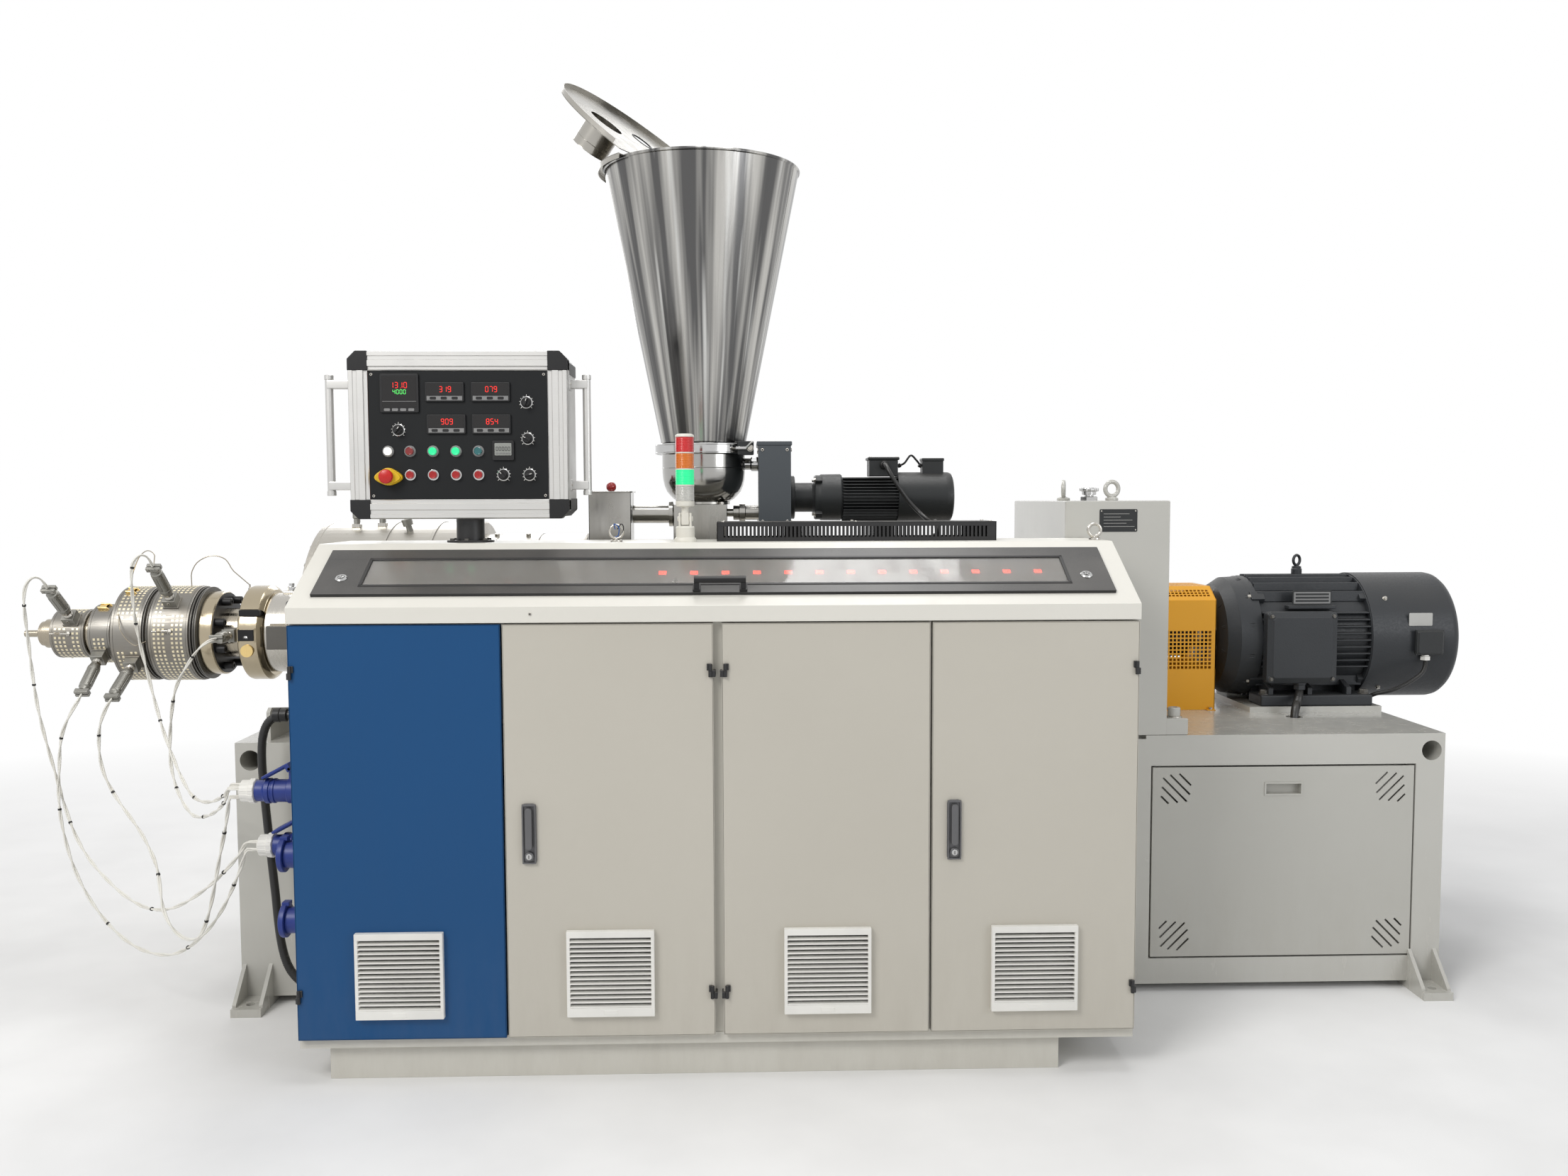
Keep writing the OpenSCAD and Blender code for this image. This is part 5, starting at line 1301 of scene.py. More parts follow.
def sheet_with_holes(shape, outline, holes, low, high, paint, turn=None, sides=56):
    """A flat sheet with round holes: its outline, and each hole's centre and radius."""
    part = bmesh.new()
    angles = [2 * pi * k / sides for k in range(sides)]
    loops = [outline] + [[(x + r * cos(a), y + r * sin(a)) for a in angles] for x, y, r in holes]
    levels = []
    for z in (low, high):
        made = [[part.verts.new((x, y, z)) for x, y in loop] for loop in loops]
        edges = [part.edges.new((loop[k], loop[(k + 1) % len(loop)])) for loop in made for k in range(len(loop))]
        bmesh.ops.triangle_fill(part, edges=edges, use_beauty=True)
        levels.append(made)
    for near, far in zip(*levels):
        bridge(part, near, far)
    shape.take(part, paint, turn)


def make_hopper():
    """The rolled hopper cone with its bead, weld seam, foot flange, and the throat, bowl and clamp below it."""
    cone = Shape()
    cone.lathe([(1511, 119.5), (1511, 136), (1515, 136), (1516, 124.5), (1523, 122), (2301, 278.6), (2303, 282.5),
                (2307, 283.5), (2309.8, 282), (2309.8, 279.5), (2306, 278), (2302, 276.4), (1523, 119.5)], HOPPER,
               "z", HOPPER_STEEL, 160, loop=True)
    weld = [(HOPPER_X + r * cos(-0.35), HOPPER_Y + r * sin(-0.35), z)
            for r, z in ((122.2, 1524), (122.2 + 157 * 0.5, 1914), (122.2 + 157, 2304))]
    cone.tube(weld, 0.9, HOPPER_STEEL, 6)
    cone.build("hopper_cone_sheet", "machine", ["hopper_cone"], sharp=28)

    throat = Shape()
    sheet_with_holes(throat, rounded(840, 773, 994, 927, 3), [(HOPPER_X, HOPPER_Y, 58)], 1118, 1352, STAINLESS)
    throat.lathe([(1352, 58), (1352, 74), (1353, 76), (1360, 76), (1360, 58)], HOPPER, "z", STAINLESS, 64, loop=True)
    throat.lathe([(722, 24.5), (722, 26), (842, 26), (842, 24.5)], (0, 800, 1325), "x", STAINLESS, 64, loop=True)
    throat.lathe([(826, 27), (827, 36), (838, 36), (840, 27)], (0, 800, 1325), "x", STAINLESS, 48)
    for y in (786, 914):
        for x in (856, 978):
            hex_bolt(throat, (x, y, 1352), UP, 13, BRIGHT_STEEL)
    throat.build("feed_throat_block", "machine", ["feed_throat"])

    bowl = Shape()
    outer = [(1360, 75), (1364, 80), (1368, 88), (1378, 98), (1390, 108), (1407, 115), (1425, 119), (1445, 120.7),
             (1460, 121), (1497, 121), (1499, 123), (1499, 136), (1511, 136)]
    inner = [(1511, 118), (1460, 118), (1426, 116), (1408, 112), (1391, 105), (1376, 93), (1366, 76), (1363, 60),
             (1360, 60)]
    bowl.lathe(outer + inner, HOPPER, "z", MIRROR_STEEL, 160, loop=True)
    for z in (1458, 1497):
        bowl.ring((HOPPER_X, HOPPER_Y, z), "z", 121, 1.2, MIRROR_STEEL, 128, 8)
    bowl.build("feed_bowl_spun", "machine", ["feed_bowl"], sharp=28)

    clamp = Shape()
    clamp.lathe([(1498, 136.5), (1498, 140), (1499, 141), (1526, 141), (1527, 140), (1527, 136.5)], HOPPER, "z",
                CHROME, 160, loop=True)
    for z in (1502, 1523):
        clamp.ring((HOPPER_X, HOPPER_Y, z), "z", 140.6, 1.3, CHROME, 128, 8)
    clamp.block((1026, 732, 1493), (1072, 768, 1532), MOTOR_BLACK, edge=3, steps=2)
    clamp.rod((1030, 726, 1512), (1030, 772, 1512), 5, BRIGHT_STEEL, 20, 1)
    hex_bolt(clamp, (1062, 733, 1512), FRONT, 15, BRIGHT_STEEL)
    clamp.block((1020, 724, 1508), (1052, 732, 1516), CHROME, edge=1.5)
    clamp.rod((1050, 728, 1512), (1068, 722, 1530), 4, CHROME, 16, 1)
    clamp.build("hopper_clamp_ring", "machine", ["hopper_clamp"])


LID = turned((832.93, 896.4, 2313), 63.5, "Z")
FLAP = LID @ turned((0, 0, 4), -139, "X") @ Matrix.Translation((0, 0, -4))


def lid_sector(keep, radius, steps=96):
    """The part of the lid's disc on one side of the hinge line, as an outline in the lid's own plane."""
    reach = asin((3 * keep + LID_OFF) / radius)
    first, last = (reach, pi - reach) if keep > 0 else (pi - reach, 2 * pi + reach)
    angles = [first + (last - first) * k / steps for k in range(steps + 1)]
    return [(radius * cos(a), -LID_OFF + radius * sin(a)) for a in angles]


def make_lid():
    """The two-part lid: the fixed part with its half hinges, and the big flap swung back on them with its collar."""
    fixed = Shape()
    sheet_with_holes(fixed, lid_sector(1, 297), [], -2, 0, LID_STEEL, LID)
    curved_band(fixed, lid_sector(1, 297), 2, -15, -0.5, LID)
    curved_band(fixed, lid_sector(1, 292, 64), 12, -3, -1.5, LID)
    for s in (-170, 130):
        fixed.rod(LID @ Vector((s, 0, 4)), LID @ Vector((s + 40, 0, 4)), 4, LID_STEEL, 20, 0.4)
        fixed.block((s, 1, -0.2), (s + 40, 24, 2), LID_STEEL, edge=0.6, turn=LID)
        for k in (8, 32):
            fixed.rod(LID @ Vector((s + k, 15, 1.8)), LID @ Vector((s + k, 15, 3.4)), 3, BRIGHT_STEEL, 16, 0.8)
    fixed.build("hopper_lid_fixed", "machine", ["hopper_lid"], sharp=25)

    flap = Shape()
    sheet_with_holes(flap, lid_sector(-1, 297), [(-113, -197, 52), (60, -178, 32)], -2, 0, LID_STEEL, FLAP)
    curved_band(flap, lid_sector(-1, 297), 2, -15, -0.5, FLAP, clear=16)
    flap.lathe([(-0.5, 52), (-0.5, 58), (1.6, 58), (2.4, 54.6), (86, 54), (90, 55), (90, 52.6), (86, 52)],
               (-113, -197, 0), "z", LID_STEEL, 96, loop=True, turn=FLAP)
    flap.ring((-113, -197, 66), "z", 54.2, 1.1, LID_STEEL, 72, 8, turn=FLAP)
    flap.lathe([(-3, 31), (-3, 36), (0.8, 36), (0.8, 32)], (60, -178, 0), "z", BLACK_PLASTIC, 56, loop=True,
               turn=FLAP)
    for s in (-170, 130):
        flap.rod(FLAP @ Vector((s + 41, 0, 4)), FLAP @ Vector((s + 59, 0, 4)), 4, LID_STEEL, 20, 0.4)
        flap.rod(FLAP @ Vector((s, 0, 4)), FLAP @ Vector((s + 42, 0, 4)), 2, BRIGHT_STEEL, 16)
        flap.block((s + 41, -24, -0.2), (s + 59, -1, 2), LID_STEEL, edge=0.6, turn=FLAP)
    flap.build("hopper_lid_flap", "lid_flap", ["hopper_flap"], sharp=25)


def make_drop_chute():
    """The small open chute with its rolled lip, and the red knob of its slide."""
    shape = Shape()
    saddle = [(750, 1096), (775, 1112), (800, 1124), (825, 1130), (850, 1132), (850, 1390), (750, 1390)]
    for x in (600, 718):
        shape.prism(saddle, "x", x, x + 2, STAINLESS, edge=0.4)
    shape.block((600, 750, 1096), (720, 752, 1390), STAINLESS, edge=0.4)
    shape.block((600, 848, 1130), (720, 850, 1390), STAINLESS, edge=0.4)
    shape.surround((595, 745, 725, 855), (603, 753, 717, 847), "z", 1387, 1391, STAINLESS, 8, edge=1.2, steps=2)
    shape.block((602, 752, 1360), (718, 848, 1376), STAINLESS, edge=1)
    shape.lathe([(1376, 6), (1390, 6), (1392, 9)], (660, 800, 0), "z", BRIGHT_STEEL, 24)
    shape.lathe([(14.5 * sin(radians(a)), max(14.5 * cos(radians(a)), 0.0)) for a in range(-90, 91, 10)],
                (660, 800, 1404), "z", KNOB_RED, 40)
    shape.build("drop_chute_sheet", "machine", ["drop_chute"])


def make_feed_drive():
    """The feeder's gear case with its cap and the two shafts, and its motor with fins, boxes and cable gland."""
    shape = Shape()
    shape.block((1085, 700, 1290), (1177, 900, 1520), DRIVE_PAINT, edge=3, steps=2)
    shape.block((1080, 698, 1518), (1180, 902, 1530), DRIVE_PAINT, edge=2.5, steps=2)
    for z in (1304, 1506):
        for y in (712, 888):
            socket_screw(shape, (1176.5, y, z), RIGHT, 5, 3, BRIGHT_STEEL)
            socket_screw(shape, (1085.5, y, z), LEFT, 5, 3, BRIGHT_STEEL)
    for x in (1096, 1166):
        for z in (1304, 1506):
            socket_screw(shape, (x, 700.5, z), FRONT, 4.5, 2.6, BRIGHT_STEEL)
    shape.lathe([(1040, 17), (1062, 17), (1066, 21), (1084, 21), (1086, 19)], (0, 850, 1470), "x", CHROME, 40)
    shape.lathe([(994, 12), (1011, 12), (1012, 22), (1028, 22), (1030, 27), (1046, 27), (1048, 22), (1086, 22)],
                (0, 850, 1328), "x", STAINLESS, 48)
    shape.build("feed_gear_case", "machine", ["feed_drive"])

    motor = Shape()
    motor.lathe([(1177, 60), (1179, 62), (1188, 62), (1190, 58), (1191, 42), (1240, 42), (1246, 46), (1247, 62),
                 (1250, 64), (1262, 64), (1266, 66.5), (1322, 67), (1326, 64), (1327, 59)], FEED, "x",
                MOTOR_BLACK, 72)
    motor.lathe([(1326, 58), (1488, 58)], FEED, "x", MOTOR_BLACK, 64)
    for side in (-1, 1):
        for off in range(-54, 55, 9):
            z = FEED_Z + off
            low, high = sorted((FEED_Y + side * half_chord(57, off), FEED_Y + side * half_chord(70.5, off)))
            motor.block((1328, low, z - 1.2), (1486, high, z + 1.2), MOTOR_BLACK, edge=0.5)
        for off in (10, 22, 34, 46):
            y = FEED_Y + side * off
            motor.block((1328, y - 1.2, FEED_Z - half_chord(70.5, off)),
                        (1486, y + 1.2, FEED_Z - half_chord(57, off)), MOTOR_BLACK, edge=0.5)
    for turn in spokes(FEED, 4, 45):
        motor.block((1248, -9, 60), (1268, 9, 76), MOTOR_BLACK, edge=2, steps=2, turn=turn)
        hex_bolt(motor, turn @ Vector((1249, 0, 69)), LEFT, 10, BRIGHT_STEEL)
    motor.lathe([(1486, 69), (1487, 72), (1622, 72), (1636, 71.5), (1643, 68), (1647, 60), (1648, 52), (1646, 50),
                 (1645, 0)], FEED, "x", MOTOR_BLACK, 72)
    for radius in range(12, 50, 9):
        motor.ring((1647, FEED_Y, FEED_Z), "x", radius, 1.3, MOTOR_BLACK, 48, 8)
    motor.block((1404, 762, 1432), (1487, 838, 1479), MOTOR_BLACK, edge=2.5, steps=2)
    motor.block((1400, 758, 1478), (1491, 842, 1487), MOTOR_BLACK, edge=3, steps=3)
    for x in (1407, 1484):
        for y in (765, 835):
            socket_screw(motor, (x, y, 1485.5), UP, 4, 2.6, BRIGHT_STEEL)
    motor.block((1559, 775, 1438), (1620, 825, 1476), MOTOR_BLACK, edge=2, steps=2)
    motor.block((1557, 773, 1475), (1622, 827, 1484), MOTOR_BLACK, edge=2.5, steps=2)
    motor.lathe([(744, 8), (746, 11), (752, 12.5), (762, 12.5), (764, 10)], (1446, 0, 1464), "y", BLACK_PLASTIC, 24)
    arc = smooth_line([(1491, 790, 1462), (1508, 786, 1470), (1526, 784, 1492), (1543, 786, 1478), (1556, 792, 1462)],
                      6)
    motor.tube(arc, 3, BLACK_PLASTIC, 10)
    for x, reach in ((1489, 1), (1558, -1)):
        motor.rod((x, 790.5, 1461), (x + reach * 9, 789, 1465), 6, BLACK_PLASTIC, 20, 1)
    motor.build("feed_motor_body", "machine", ["feed_motor"])


make_hopper()
make_lid()
make_drop_chute()
make_feed_drive()


# Gearbox, coupling guard, main motor and its boxes


def square(x0, y0, x1, y1):
    """The four corners of a rectangle."""
    return [(x0, y0), (x1, y0), (x1, y1), (x0, y1)]


def lifting_eye(shape, place, ring_r, wire_r, turn, metal):
    """A cast eye bolt: collar, waisted neck and ring."""
    spot = turned(place, turn, "Z")
    high = 1.4 * wire_r + 1.2 * ring_r
    shape.spin([(0, ring_r * 0.86), (wire_r * 0.3, ring_r * 0.92), (wire_r * 1.1, ring_r * 0.9),
                (wire_r * 1.4, ring_r * 0.72), (wire_r * 1.8, wire_r * 1.2), (high - ring_r * 0.95, wire_r)], spot,
               metal, 32)
    shape.ring((0, 0, high), "y", ring_r, wire_r, metal, 48, 16, turn=spot)


def make_gearbox():
    """The gearbox: a body with planed edges, its joint line and lugs, foot bolts, fill plugs and plate."""
    shape = Shape()
    shape.block((1912, 513, 718), (2199, 1188, 1360), FRAME_PAINT, edge=4, steps=2)
    for x in (1853, 2195):
        for y in (513, 1111):
            shape.block((x, y, 718), (x + 63, y + 77, 764.5), FRAME_PAINT, edge=4, steps=2)
    for x in (1882, 2228):
        for y in (545, 1143):
            shape.lathe([(764, 21), (767.5, 21), (768, 20)], (x, y, 0), "z", BRIGHT_STEEL, 32)
            socket_screw(shape, (x, y, 767), UP, 17, 24, FRAME_PAINT)
            shape.lathe([(700, 10), (770, 10)], (x, y, 0), "z", DARK_STEEL, 12)
    shape.rod((1960, 1187, 820), (1960, 1198, 820), 15, DARK_STEEL, 6, 2)
    shape.rod((2060, 1187, 1030), (2060, 1192, 1030), 26, CHROME, 40, 2)
    shape.rod((2060, 1191, 1030), (2060, 1193, 1030), 18, OIL_GLASS, 32, 0)
    shape.prism(rounded(2005, 1276, 2108, 1337, 3), "y", 511.6, 513.6, MOTOR_BLACK, edge=0.4)
    for x, z in ((2010, 1281), (2103, 1281), (2010, 1332), (2103, 1332)):
        shape.rod((x, 512, z), (x, 510.4, z), 2, BRIGHT_STEEL, 12, 0.5)
    for k in range(5):
        shape.block((2016, 511, 1290 + 8.5 * k), (2016 + (84, 62, 78, 46, 70)[k], 511.8, 1290.9 + 8.5 * k), LAMP_MARK,
                    edge=0)
    shape.build("gearbox_body", "machine", ["gearbox"])

    caps = Shape()
    for x, y in ((2040, 760), (2074, 880)):
        caps.lathe([(1360, 24), (1370, 24), (1372, 22)], (x, y, 0), "z", CHROME, 6)
        caps.lathe([(1371, 12), (1376, 12), (1377, 19), (1386, 19.5), (1388, 25), (1390, 26), (1394, 26), (1397, 22),
                    (1398, 10)], (x, y, 0), "z", CHROME, 40)
        for spot in spokes((x, y, 0), 12, axis="Z"):
            caps.rod(spot @ Vector((24.2, 0, 1387.6)), spot @ Vector((24.2, 0, 1396.4)), 3, CHROME, 14, 0.8)
    caps.build("breather_screws", "machine", ["breather_caps"])

    eyes = Shape()
    lifting_eye(eyes, (1988, 850, 1360), 21, 6.5, 75, FRAME_PAINT)
    lifting_eye(eyes, (2132, 850, 1360), 21, 6.5, 12, FRAME_PAINT)
    lifting_eye(eyes, (1948, 350, 1260), 16, 4, 0, BRIGHT_STEEL)
    lifting_eye(eyes, (2787, 1076, 1145), 15.5, 4.5, 30, MOTOR_GREY)
    eyes.build("eye_bolts", "machine", ["lifting_eyes"])


GUARD_SHEET = 2
GUARD_PITCH = 12
GUARD_HOLE = 8
GUARD_COLUMNS = 22


def punched_patch(shape, spot, rows):
    """Guard sheet with square holes: columns along x and rows along y of the matrix, its face at z 0."""
    part = bmesh.new()
    margin = (GUARD_PITCH - GUARD_HOLE) / 2
    known = {}

    def corner(x, y, z):
        """The one point of the sheet at this place."""
        key = (round(x, 3), round(y, 3), z)
        if key not in known:
            known[key] = part.verts.new((x, y, z))
        return known[key]

    for i in range(GUARD_COLUMNS):
        for j in range(rows):
            x, y = i * GUARD_PITCH, j * GUARD_PITCH
            big = square(x, y, x + GUARD_PITCH, y + GUARD_PITCH)
            small = square(x + margin, y + margin, x + margin + GUARD_HOLE, y + margin + GUARD_HOLE)
            for k in range(4):
                n = (k + 1) % 4
                for z in (0, -GUARD_SHEET):
                    part.faces.new([corner(*big[k], z), corner(*big[n], z), corner(*small[n], z),
                                    corner(*small[k], z)])
                part.faces.new([corner(*small[k], 0), corner(*small[n], 0), corner(*small[n], -GUARD_SHEET),
                                corner(*small[k], -GUARD_SHEET)])
    shape.take(part, GUARD_PAINT, spot)


def make_coupling_guard():
    """The yellow coupling guard of folded sheet, punched on its front, its two shoulders and its top."""
    shape = Shape()
    t = GUARD_SHEET
    for y in (936, 1216):
        upright = Matrix(((1, 0, 0, 2207), (0, 0, -1, y), (0, 1, 0, 843), (0, 0, 0, 1)))
        punched_patch(shape, upright, 10)
    for y in (936, 1214):
        shape.block((2199, y, FRAME_TOP), (2483, y + t, 843.2), GUARD_PAINT, edge=0.4)
        shape.block((2199, y, 962.8), (2483, y + t, 1055), GUARD_PAINT, edge=0.4)
        shape.block((2199, y, 843), (2207.2, y + t, 963), GUARD_PAINT, edge=0)
        shape.block((2470.8, y, 843), (2483, y + t, 963), GUARD_PAINT, edge=0)
    slant = atan2(40, 60)
    length = sqrt(60 ** 2 + 40 ** 2)
    first = (length - 3 * GUARD_PITCH) / 2
    for side, y in ((1, 936), (-1, 1216)):
        spot = Matrix.Translation((2199, y, 1055)) @ Matrix.Rotation(side * slant, 4, "X")
        spot = spot @ Matrix.Diagonal((1, side, 1, 1))
        punched_patch(shape, spot @ Matrix.Translation((8, first, 0)), 3)
        shape.surround((0, 0, 284, length), (8.2, first + 0.2, 271.8, first + 35.8), "z", -t, 0, GUARD_PAINT, 0.2,
                       edge=0, turn=spot)
    punched_patch(shape, Matrix.Translation((2207, 1004, 1095)), 12)
    shape.surround((2199, 996, 2483, 1156), (2207.2, 1004.2, 2470.8, 1147.8), "z", 1093, 1095, GUARD_PAINT, 0.2,
                   edge=0)
    outline = [(936, FRAME_TOP), (936, 1055), (996, 1095), (1156, 1095), (1216, 1055), (1216, FRAME_TOP)]
    along_x = Matrix(((0, 0, 1, 0), (1, 0, 0, 0), (0, 1, 0, 0), (0, 0, 0, 1)))
    sheet_with_holes(shape, outline, [(MOTOR_Y, MOTOR_Z, 90)], 2481, 2483, GUARD_PAINT, along_x, sides=48)
    for x in (2214, 2340, 2468):
        shape.block((x - 13, 920, FRAME_TOP), (x + 13, 937, 721), GUARD_PAINT, edge=0.5)
        hex_bolt(shape, (x, 928, 721), UP, 10, BRIGHT_STEEL)
    shape.build("coupling_guard_sheet", "machine", ["coupling_guard"], sharp=20)


def make_main_motor():
    """The main motor: ribbed frame, gusseted front shield, shaft with its key, foot rails and lifting lugs."""
    shape = Shape()
    shape.lathe([(2199, 34), (2199, 37.5), (2483, 37.5)], MOTOR, "x", BRIGHT_STEEL, 48)
    shape.block((2300, 1066, 970), (2380, 1086, 979), DARK_STEEL, edge=1)
    shape.lathe([(2300, 62), (2304, 66), (2360, 66), (2364, 60), (2372, 60), (2376, 66), (2430, 66), (2434, 62)],
                MOTOR, "x", MOTOR_BLACK, 64)
    shape.lathe([(2483, 52), (2483, 70), (2485, 72), (2490, 74), (2493, 80), (2496, 118), (2500, 131), (2507, 140),
                 (2514, 160), (2530, 170), (2544, 179), (2548, 182), (2586, 184), (2590, 186), (2612, 186),
                 (2614, 180)], MOTOR, "x", MOTOR_GREY, 128)
    for turn in spokes(MOTOR, 12, 15):
        shape.prism([(2492, 78), (2500, 78), (2549, 178), (2590, 185), (2590, 176), (2540, 168), (2514, 158),
                     (2503, 136)], "y", -5, 5, MOTOR_GREY, edge=1.2, turn=turn)
        hex_bolt(shape, turn @ Vector((2500, 0, 106)), LEFT, 12, BRIGHT_STEEL)
    shape.lathe([(2612, 172), (2943, 172)], MOTOR, "x", MOTOR_GREY, 96)
    for side in (-1, 1):
        for k in range(-4, 5):
            z = MOTOR_Z + 20.5 * k
            low, high = sorted(MOTOR_Y + side * half_chord(r, z - MOTOR_Z) for r in (170, 192))
            at_low, at_high = (3.4, 2.1) if side > 0 else (2.1, 3.4)
            shape.prism([(low, z - at_low), (high, z - at_high), (high, z + at_high), (low, z + at_low)], "x", 2614,
                        2941, MOTOR_GREY, edge=0.9)
    for off in (18, 54, 90, 126):
        base, tall = half_chord(170, off), half_chord(192, off)
        for y in (MOTOR_Y - off, MOTOR_Y + off):
            for low, wide, high, narrow in ((base, 5.6, tall, 4.2), (-tall, 4.2, -base, 5.6)):
                shape.prism([(y - wide, MOTOR_Z + low), (y + wide, MOTOR_Z + low), (y + narrow, MOTOR_Z + high),
                             (y - narrow, MOTOR_Z + high)], "x", 2614, 2941, MOTOR_GREY, edge=1.2)
    for turn in spokes(MOTOR, 4, 45):
        shape.block((2590, -17, 168), (2632, 17, 191), MOTOR_GREY, edge=3, steps=2, turn=turn)
        hex_bolt(shape, turn @ Vector((2591, 0, 181)), LEFT, 14, BRIGHT_STEEL)
        shape.block((2925, -15, 168), (2945, 15, 190), MOTOR_GREY, edge=3, steps=2, turn=turn)
    shape.lathe([(1100, 16), (1142, 16), (1145, 14)], (2787, 1076, 0), "z", MOTOR_GREY, 32)
    shape.lathe([(2941, 186), (2943, 191), (2945, 192), (2957, 192), (2959, 190)], MOTOR, "x", MOTOR_GREY, 128)
    shape.block((2640, 986, 785), (2930, 1166, 838), MOTOR_GREY, edge=5, steps=2)
    for side in (-1, 1):
        near, far = sorted((MOTOR_Y + side * 90, MOTOR_Y + side * 191))
        shape.block((2607, near, 735), (2950, far, 769), MOTOR_GREY, edge=5, steps=3)
        for x in (2640, 2760, 2880):
            foot = MOTOR_Y + side * 182
            shoulder = MOTOR_Y + side * 120
            shape.prism([(foot, 768), (foot, 790), (shoulder, 812), (shoulder - side * 20, 812),
                         (shoulder - side * 20, 768)], "x", x - 8, x + 8, MOTOR_GREY, edge=1.5)
        for x in (2626, 2932):
            hex_bolt(shape, (x, MOTOR_Y + side * 165, 769), UP, 24, DARK_STEEL)
    shape.block((2690, 898, 1030), (2836, 930, 1040), MOTOR_GREY, edge=1.5)
    shape.prism(rounded(2704, 1042, 2824, 1085, 3), "y", 903.5, 906, MOTOR_BLACK, edge=0.4)
    shape.prism(rounded(2708, 1046, 2820, 1081, 2), "y", 903.1, 904, KEY_GREY, edge=0.2)
    for k in range(3):
        shape.block((2713, 902.8, 1051 + 10 * k), (2815, 903.6, 1057 + 10 * k), MOTOR_BLACK, edge=0)
    shape.build("main_motor_frame", "machine", ["main_motor"])

    cowl = Shape()
    cowl.lathe([(2945, 192.5), (2945, 195), (3190, 195), (3203, 192), (3213, 184), (3219, 170), (3220, 158),
                (3218.5, 156), (3217, 168), (3211, 182), (3201, 189.6), (3190, 192.4)], MOTOR, "x", MOTOR_GREY, 128,
               loop=True)
    for radius in range(24, 158, 15):
        cowl.ring((3218.4, MOTOR_Y, MOTOR_Z), "x", radius, 1.6, MOTOR_GREY, 64, 8)
    for turn in spokes((3218, MOTOR_Y, MOTOR_Z), 8)[:4]:
        cowl.rod(turn @ Vector((0, -160, 0)), turn @ Vector((0, 160, 0)), 1.6, MOTOR_GREY, 8)
    for y, z in ((905, 1075), (960, 789)):
        reach = Vector((0, y - MOTOR_Y, z - MOTOR_Z)).normalized()
        hex_bolt(cowl, Vector((2998, MOTOR_Y, MOTOR_Z)) + reach * 194.5, reach, 11, BRIGHT_STEEL)
    cowl.prism(rounded(3055, 978, 3127, 1017, 3), "y", 884.8, 886.2, LAMP_MARK, edge=0.4)
    cowl.lathe([(3140, 0), (3140, 60), (3150, 66), (3154, 60), (3154, 0)], MOTOR, "x", BLACK_PLASTIC, 48)
    for turn in spokes((3147, MOTOR_Y, MOTOR_Z), 9):
        cowl.block((-30, -4, 56), (24, 4, 172), BLACK_PLASTIC, edge=1, turn=turn @ Matrix.Rotation(0.4, 4, "Z"))
    cowl.build("motor_fan_cowl", "machine", ["motor_cowl"])


def sloped_lid(shape, x0, z0, x1, z1, y_back, y_front, shrink, radius, paint):
    """A cast lid with round corners whose sides slope in towards its front."""
    wide = rounded(x0, z0, x1, z1, radius)
    mid_x, mid_z = (x0 + x1) / 2, (z0 + z1) / 2
    part = bmesh.new()
    rings = []
    for y, size in ((y_back, 1.0), (y_back - (y_back - y_front) * 0.35, 0.995), (y_front + 1.2, shrink + 0.01),
                    (y_front, shrink)):
        rings.append([part.verts.new((mid_x + (x - mid_x) * size, y, mid_z + (z - mid_z) * size)) for x, z in wide])
    loft(part, rings)
    shape.take(part, paint)


def make_motor_boxes():
    """The main terminal box with its sloped lid and screws, and the fan's small one with its nut and conduit."""
    shape = Shape()
    shape.block((2640, 886, 830), (2800, 912, 1003), MOTOR_GREY, edge=3)
    shape.prism(rounded(2611, 809, 2824, 1024, 10), "y", 862, 890, MOTOR_GREY, edge=1.6, steps=2)
    shape.prism(rounded(2619, 817, 2816, 1016, 9), "y", 861, 863, GAP_SHADOW)
    sloped_lid(shape, 2611, 809, 2824, 1024, 864, 850.5, 0.84, 12, MOTOR_GREY)
    for x, z in ((2624, 822), (2811, 822), (2624, 1011), (2811, 1011)):
        shape.rod((x, 864, z), (x, 855, z), 11, MOTOR_GREY, 24, 1.5)
        hex_bolt(shape, (x, 855.4, z), FRONT, 10, DARK_STEEL)
    shape.prism(rounded(3072, 894, 3150, 965, 4), "y", 866, 896, MOTOR_BLACK, edge=1.2)
    shape.block((3068, 866, 891), (3154, 872, 968), MOTOR_BLACK, edge=1.5, steps=2)
    sloped_lid(shape, 3070, 893, 3152, 966, 866.4, 859.5, 0.88, 6, MOTOR_BLACK)
    for x, z in ((3078, 901), (3144, 901), (3078, 958), (3144, 958)):
        socket_screw(shape, (x, 863.5, z), FRONT, 3, 2.4, BRIGHT_STEEL)
    shape.lathe([(874, 9), (875, 15), (886, 15), (888, 11), (891, 11)], (3104, 878, 0), "z", WHITE_PLASTIC, 6)
    shape.lathe([(735, 9), (736, 14), (744, 14), (746, 9)], (2961, 944, 0), "z", BLACK_PLASTIC, 24)
    ribbed = even_line(cord_line(FAN_ROUTE), 1.9)
    shape.tube(ribbed, [6.5 if k % 2 else 5.7 for k in range(len(ribbed))], CONDUIT_BLACK, 12)
    shape.build("motor_terminal_boxes", "machine", ["motor_boxes"])


make_gearbox()
make_coupling_guard()
make_main_motor()
make_motor_boxes()


# Operator box, signal light and vent cover

PANEL_FRONT = 308
POST = (345.5, 365, 0)
